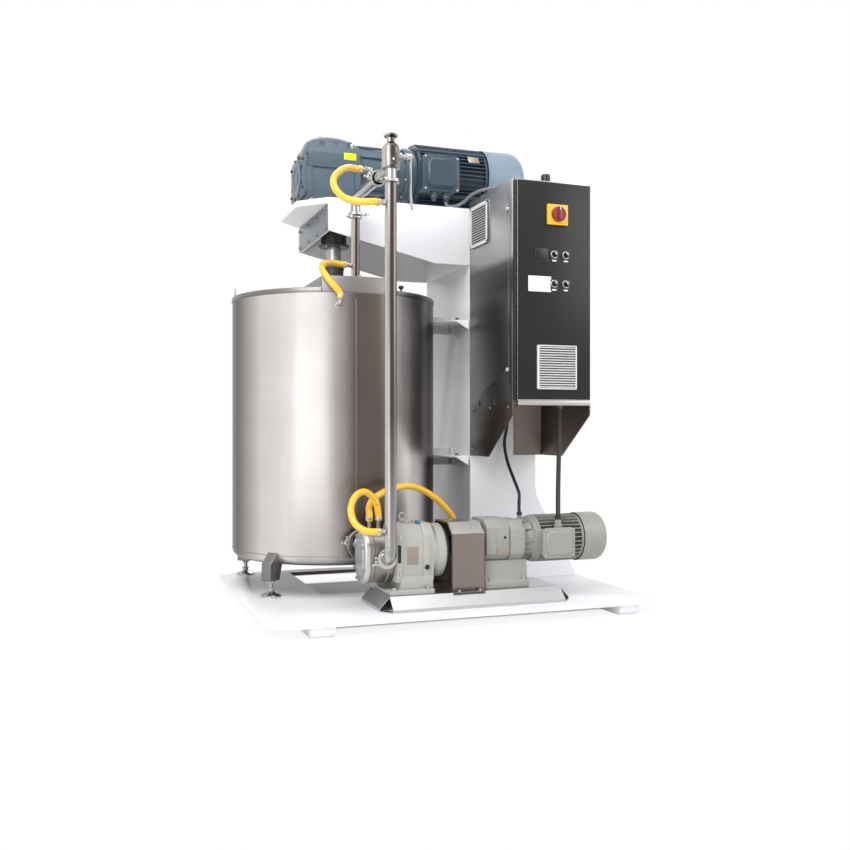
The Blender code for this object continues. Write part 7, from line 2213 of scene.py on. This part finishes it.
    def motor(self, y, z, sizes):
        left, right = (corner.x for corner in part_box("pump_motor_frame"))
        shape = Shape()
        shape.ring(0.0205, 0.0945, (left, y, z), (right, y, z), 64)
        shape.ring(0.080, 0.107, (left, y, z), (left + 0.014, y, z), 64, 0.002)
        shape.ring(0.080, 0.105, (right - 0.012, y, z), (right, y, z), 64, 0.002)
        # A black skin over the motor's core, seen between its fins: painted shade between the fins
        core = Shape()
        core.ring(0.0940, 0.0956, (left + 0.015, y, z), (right - 0.013, y, z), 64)
        core.piece("pump_fin_shade", "black_plastic")
        front = PLATE_LOW.y + 0.135
        x0, x1, z0, z1 = PLATE_LOW.x + 1.262, PLATE_LOW.x + 1.425, 0.253, 0.390
        shape.slab(
            on_plane(chamfered(x0 + 0.008, z0 + 0.008, x1 - 0.008, z1 - 0.008, 0.010), "Y", front + 0.011),
            (0, 0.062, 0), 0.003
        )
        shape.slab(on_plane(chamfered(x0, z0, x1, z1, 0.016), "Y", front + 0.006), (0, 0.010, 0), 0.003)
        wide = chamfered(x0 + 0.014, z0 + 0.012, x1 - 0.014, z1 - 0.012, 0.020)
        slim = chamfered(x0 + 0.022, z0 + 0.020, x1 - 0.022, z1 - 0.020, 0.016)
        shape.loft(
            [
                on_plane(wide, "Y", front + 0.007), on_plane(wide, "Y", front + 0.003),
                on_plane(slim, "Y", front - 0.004)
            ]
        )
        gland = Vector((PLATE_LOW.x + 1.355, PLATE_LOW.y + 0.175, 0.0))
        shape.rod(gland + UP * 0.375, gland + UP * 0.405, 0.019, sides=ROUND, edge=0.002)
        shape.rod(gland + UP * 0.403, gland + UP * 0.4358, 0.0155, sides=6, edge=0.001)
        shape.piece("pump_motor_form", "drive_grey", replaces=("pump_motor_frame",))
        fins(
            "pump_motor_fins", "drive_grey", sizes.pump_fins, 0.092, 0.1085, right - left - 0.022, 0.0034,
            ((left + right) / 2, y, z)
        )
        screws = [
            (Vector((x, front + 0.006, v)), FRONT) for x in (x0 + 0.010, x1 - 0.010)
            for v in (z0 + 0.010, z1 - 0.010)
        ]
        bolts("pump_box_screws", screws, 0.009, 0.005)
        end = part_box("pump_motor_cowl")[1].x
        start = right + 0.0003
        cowl = Shape()
        fan_cowl(cowl, (start, y, z), end - start, 0.112, 0.0025, 0.030, 10, 0.050, 80)
        fan_grid(cowl, Vector((end, y, z)), (0.012, 0.024, 0.036, 0.047), 0.002, 48, (0.104, 0.004, 0.002))
        cowl.piece("pump_cowl_form", "drive_grey", replaces=("pump_motor_cowl",))


class GRINDER_OT_cabinet(GrinderStep, bpy.types.Operator):
    """Builds the cabinet, its side vent, locks, top cap, straps, gasket and bracket"""

    bl_idname = "grinder.cabinet"
    bl_label = "Cabinet"

    def build(self, sizes):
        softened("cabinet_body", "cabinet_steel", 0.0015)
        softened("cabinet_bracket", "bracket_steel", 0.0015)
        left = PLATE_LOW.x + CABINET_LEFT
        self.vent(left, sizes.vent_slats)
        self.locks(left)
        # A black rubber gasket that fills the gap between the cabinet's lip and the door, standing in also
        # for the shade in that gap: partly painted shade
        gasket = Shape()
        gasket.box(at(1.172, 0.2560, 0.966), at(1.1850, 0.2690, 1.976), 0.003)
        gasket.piece("door_gasket", "black_rubber")
        sleeve = Shape()
        cap = at(1.372, 0.330, 1.979)
        sleeve.ring(0.0202, 0.0216, cap + UP * 0.004, cap + UP * 0.0462, ROUND, 0.0005)
        sleeve.turned([(0.0, 0.0458), (0.0216, 0.0458), (0.0190, 0.052), (0.0, 0.054)], cap, UP, ROUND)
        sleeve.ring(0.0202, 0.030, cap, cap + UP * 0.006, 6, 0.001)
        sleeve.piece("top_cap_sleeve", "black_plastic")
        # A thin black strip along the cabinet's front lip: painted shadow in the gap before the door
        lip_shade = Shape()
        lip_shade.box(at(1.1616, 0.2705, 0.9615), at(1.1626, 0.2718, 1.9775))
        lip_shade.piece("lip_shadow", "black_rubber")
        spots = ((0.715, 0.735), (0.715, 0.925), (0.300, 0.935), (0.500, 0.935), (0.700, 0.935))
        places = [(at(CABINET_LEFT, y, z), LEFT) for y, z in spots]
        bolts("bracket_bolts", places, 0.013, 0.006)
        straps = Shape()
        for y in (0.420, 0.620):
            straps.box(at(1.1605, y, 0.948), at(1.1622, y + 0.030, 0.974), 0.0008)
        straps.box(at(1.190, 0.2484, 0.9440), at(1.5650, 0.2499, 0.9660), 0.0006)
        straps.piece("cabinet_straps", "cabinet_steel")

    def vent(self, left, count):
        """The side vent: a frame on the wall, downward slats and a black sheet behind them as painted shade
        inside the vent.
        """
        shape = Shape()
        y0, y1, z0, z1 = 0.510, 0.714, 1.734, 1.938
        for low, high in frame_bars(y0, z0, y1, z1, 0.014, 0.014, 0.014, 0.014):
            shape.box(
                (left - 0.0138, PLATE_LOW.y + low[0], low[1]),
                (left + 0.0004, PLATE_LOW.y + high[0], high[1]), 0.0022
            )
        shape.piece("vent_frame", "filter_plastic")
        # A black sheet behind the slats: painted shade inside the vent
        recess = Shape()
        recess.box(
            (left - 0.0104, PLATE_LOW.y + y0 + 0.010, z0 + 0.010),
            (left - 0.0100, PLATE_LOW.y + y1 - 0.010, z1 - 0.010)
        )
        recess.piece("vent_shade_sheet", "black_plastic")
        pitch = (z1 - z0 - 0.034) / (count - 1)
        slats(
            "vent_slats", "filter_plastic", count, (0.0070, y1 - y0 - 0.026, 0.0020),
            (left - 0.0122, PLATE_LOW.y + (y0 + y1) / 2, z0 + 0.017), (0, 0, pitch),
            (0.0, math.radians(-38), 0.0)
        )

    def locks(self, left):
        for name, z in (("lock_upper", 1.848), ("lock_lower", 1.107)):
            centre = Vector((left, PLATE_LOW.y + 0.304, z))
            plate = Shape()
            plate.ring(0.0124, 0.0165, centre - RIGHT * 0.0002, centre - RIGHT * 0.0022, ROUND + 8, 0.0006)
            plate.piece(f"{name}_rosette", "zinc")
            shape = Shape()
            shape.turned(
                [
                    (0.0, -0.020), (0.0082, -0.020), (0.0082, 0.0004), (0.012, 0.0004), (0.012, 0.0062),
                    (0.0108, 0.0080), (0.0, 0.0080)
                ],
                centre, LEFT, ROUND + 8
            )
            shape.block(centre - RIGHT * 0.0086, (0.0018, 0.0036, 0.0160), RIGHT, BACK, 0.0006)
            shape.piece(f"{name}_form", "zinc", name, (name,))


class GRINDER_OT_door(GrinderStep, bpy.types.Operator):
    """Builds the door with its main switch, display, selectors, bare plate and filter grille"""

    bl_idname = "grinder.door"
    bl_label = "Door"

    def build(self, sizes):
        softened("cabinet_door", "door_paint", 0.0020, "cabinet_door")
        # Thin bright zinc strips along the door's top, bottom and left edges: painted highlights on its
        # folded edges
        edges = Shape()
        edges.box(at(1.1872, 0.2474, 1.9745), at(1.5638, 0.2486, 1.9788), 0.0004)
        edges.box(at(1.1872, 0.2474, 0.9672), at(1.5638, 0.2486, 0.9704), 0.0004)
        edges.box(at(1.1858, 0.2484, 0.9680), at(1.1872, 0.2692, 1.9780), 0.0004)
        edges.piece("door_edge_highlights", "zinc", "cabinet_door")
        self.face = PLATE_LOW.y + DOOR_FACE
        self.switch()
        self.selectors()
        self.flat("display_frame", 1.274, 1.602, 1.340, 1.667, 0.0030, "black_plastic")
        self.flat("display_window", 1.279, 1.607, 1.335, 1.662, 0.0042, "display_glass")
        self.flat("bare_door_plate", 1.241, 1.467, 1.358, 1.539, 0.0012, "white_plastic")
        self.grille(sizes.grille_slats)

    def flat(self, name, x0, z0, x1, z1, thick, surface):
        shape = Shape()
        points = chamfered(PLATE_LOW.x + x0, z0, PLATE_LOW.x + x1, z1, 0.002)
        shape.slab(on_plane(points, "Y", self.face - thick), (0, thick - 0.0001, 0), min(0.0006, thick / 3))
        return shape.piece(name, surface, "cabinet_door")

    def switch(self):
        """The main switch: a yellow plate with a red collar, and the red knob with its grip."""
        self.flat("switch_plate", 1.3345, 1.7785, 1.4395, 1.8725, 0.0120, "yellow_plate")
        centre = at(1.387, 0.0, 1.826)
        centre.y = self.face
        collar = Shape()
        collar.ring(0.0350, 0.0400, centre + FRONT * 0.0118, centre + FRONT * 0.0150, SMOOTH, 0.001)
        collar.piece("switch_collar", "yellow_plate", "cabinet_door")
        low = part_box("main_switch_knob")[0]
        reach = self.face - low.y
        shape = Shape()
        shape.turned(
            [
                (0.0, 0.0125), (0.0325, 0.0125), (0.034, 0.0140), (0.034, 0.0290), (0.0320, 0.0315),
                (0.0, 0.0315)
            ],
            centre, FRONT, SMOOTH
        )
        grip = [
            (-0.0095, -0.028), (0.0095, -0.028), (0.0080, 0.026), (0.0040, 0.032), (-0.0040, 0.032),
            (-0.0080, 0.026)
        ]
        shape.slab([centre + Vector((u, -0.0300, v)) for u, v in grip], (0, -(reach - 0.0300), 0), 0.0030)
        shape.piece("switch_form", "red_knob", "main_switch_knob", ("main_switch_knob",))
        mark = Shape()
        mark.block(centre + Vector((0, -reach - 0.0001, 0.024)), (0.0030, 0.0006, 0.014), RIGHT, BACK, 0.0001)
        mark.piece("switch_mark", "white_plastic", "main_switch_knob")

    def selectors(self):
        number = 1
        rings = Shape()
        for z in (1.642, 1.507):
            for x in (1.374, 1.434):
                body = f"selector_{number}"
                centre = at(x, 0.0, z)
                centre.y = self.face
                strip = Shape()
                strip.slab(
                    on_plane(
                        chamfered(centre.x - 0.0110, z - 0.0320, centre.x + 0.0110, z - 0.0250, 0.001), "Y",
                        self.face - 0.0016
                    ),
                    (0, 0.0015, 0), 0.0004
                )
                strip.piece(f"{body}_strip", "white_plastic", "cabinet_door")
                bezel = Shape()
                points = chamfered(centre.x - 0.0195, z - 0.0340, centre.x + 0.0195, z + 0.0195, 0.004)
                bezel.slab(on_plane(points, "Y", self.face - 0.0012), (0, 0.0011, 0), 0.0004)
                rings.ring(
                    0.0142, 0.0178, centre + FRONT * 0.0008, centre + FRONT * 0.0042, ROUND + 8, 0.0010
                )
                bezel.piece(f"{body}_bezel", "black_plastic", "cabinet_door")
                knob = Shape()
                knob.turned(
                    [(0.0, 0.0005), (0.0134, 0.0005), (0.0134, 0.0070), (0.0120, 0.0090), (0.0, 0.0090)],
                    centre, FRONT, ROUND + 8
                )
                rise = Vector((math.sin(-0.7), 0.0, math.cos(-0.7)))
                grip = Vector((0, -0.0149, 0))
                knob.block(centre + grip, (0.0088, 0.0236, 0.0138), rise.cross(BACK), rise, 0.0010)
                knob.piece(f"{body}_form", "black_plastic", body, (body,))
                mark = Shape()
                mark.block(
                    centre + rise * 0.0040 + FRONT * 0.0219, (0.0030, 0.0150, 0.0006), rise.cross(BACK), rise,
                    0.0001
                )
                mark.piece(f"{body}_mark", "white_plastic", body)
                number += 1
        rings.piece("selector_rings", "zinc", "cabinet_door")

    def grille(self, count):
        """The filter grille: a frame of four bars, level slats and a black sheet behind them as painted shade
        between the slats.
        """
        x0, x1, z0, z1 = PLATE_LOW.x + 1.284, PLATE_LOW.x + 1.488, 1.018, 1.222
        back = self.face - 0.0003
        shape = Shape()
        for low, high in frame_bars(x0, z0, x1, z1, 0.010, 0.005, 0.005, 0.005):
            shape.box((low[0], back - 0.0100, low[1]), (high[0], back, high[1]), 0.0020)
        shape.box((x0 + 0.008, back - 0.0010, z0 + 0.008), (x1 - 0.008, back, z1 - 0.008))
        shape.piece("grille_frame", "filter_plastic", "cabinet_door", ("filter_grille",))
        # A black sheet behind the slats: painted shade between them
        recess = Shape()
        recess.box((x0 + 0.009, back - 0.0016, z0 + 0.004), (x1 - 0.004, back - 0.0011, z1 - 0.004))
        recess.piece("grille_shade_sheet", "black_plastic", "cabinet_door")
        pitch = (z1 - z0 - 0.022) / (count - 1)
        slats(
            "grille_slats", "filter_plastic", count, (x1 - x0 - 0.014, 0.0080, 0.0024),
            ((x0 + x1) / 2 + 0.002, back - 0.0056, z0 + 0.011), (0, 0, pitch), (math.radians(32), 0.0, 0.0),
            "cabinet_door"
        )


OPERATORS = [
    GRINDER_OT_stage, GRINDER_OT_finishes, GRINDER_OT_frame, GRINDER_OT_tank, GRINDER_OT_lid,
    GRINDER_OT_gearbox, GRINDER_OT_motor, GRINDER_OT_line, GRINDER_OT_pump, GRINDER_OT_drive,
    GRINDER_OT_cabinet, GRINDER_OT_door, GRINDER_OT_hoses, GRINDER_OT_cables
]


class GRINDER_PT_panel(bpy.types.Panel):
    """Lists the steps that build the machine's looks"""

    bl_idname = "GRINDER_PT_panel"
    bl_label = "Chocolate grinding machine"
    bl_space_type = "VIEW_3D"
    bl_region_type = "UI"
    bl_category = "Grinder"

    def draw(self, context):
        for operator in OPERATORS:
            self.layout.operator(operator.bl_idname)


CLASSES = [GRINDER_PG_paints, GRINDER_PG_sizes, *OPERATORS, GRINDER_PT_panel]


def register():
    for cls in CLASSES:
        bpy.utils.register_class(cls)
    bpy.types.Scene.grinder_paints = PointerProperty(type=GRINDER_PG_paints)
    bpy.types.Scene.grinder_sizes = PointerProperty(type=GRINDER_PG_sizes)


def unregister():
    del bpy.types.Scene.grinder_sizes
    del bpy.types.Scene.grinder_paints
    for cls in reversed(CLASSES):
        bpy.utils.unregister_class(cls)


def main():
    """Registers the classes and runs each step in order."""
    register()
    for operator in OPERATORS:
        group, name = operator.bl_idname.split(".")
        getattr(getattr(bpy.ops, group), name)()


if __name__ == "__main__":
    main()
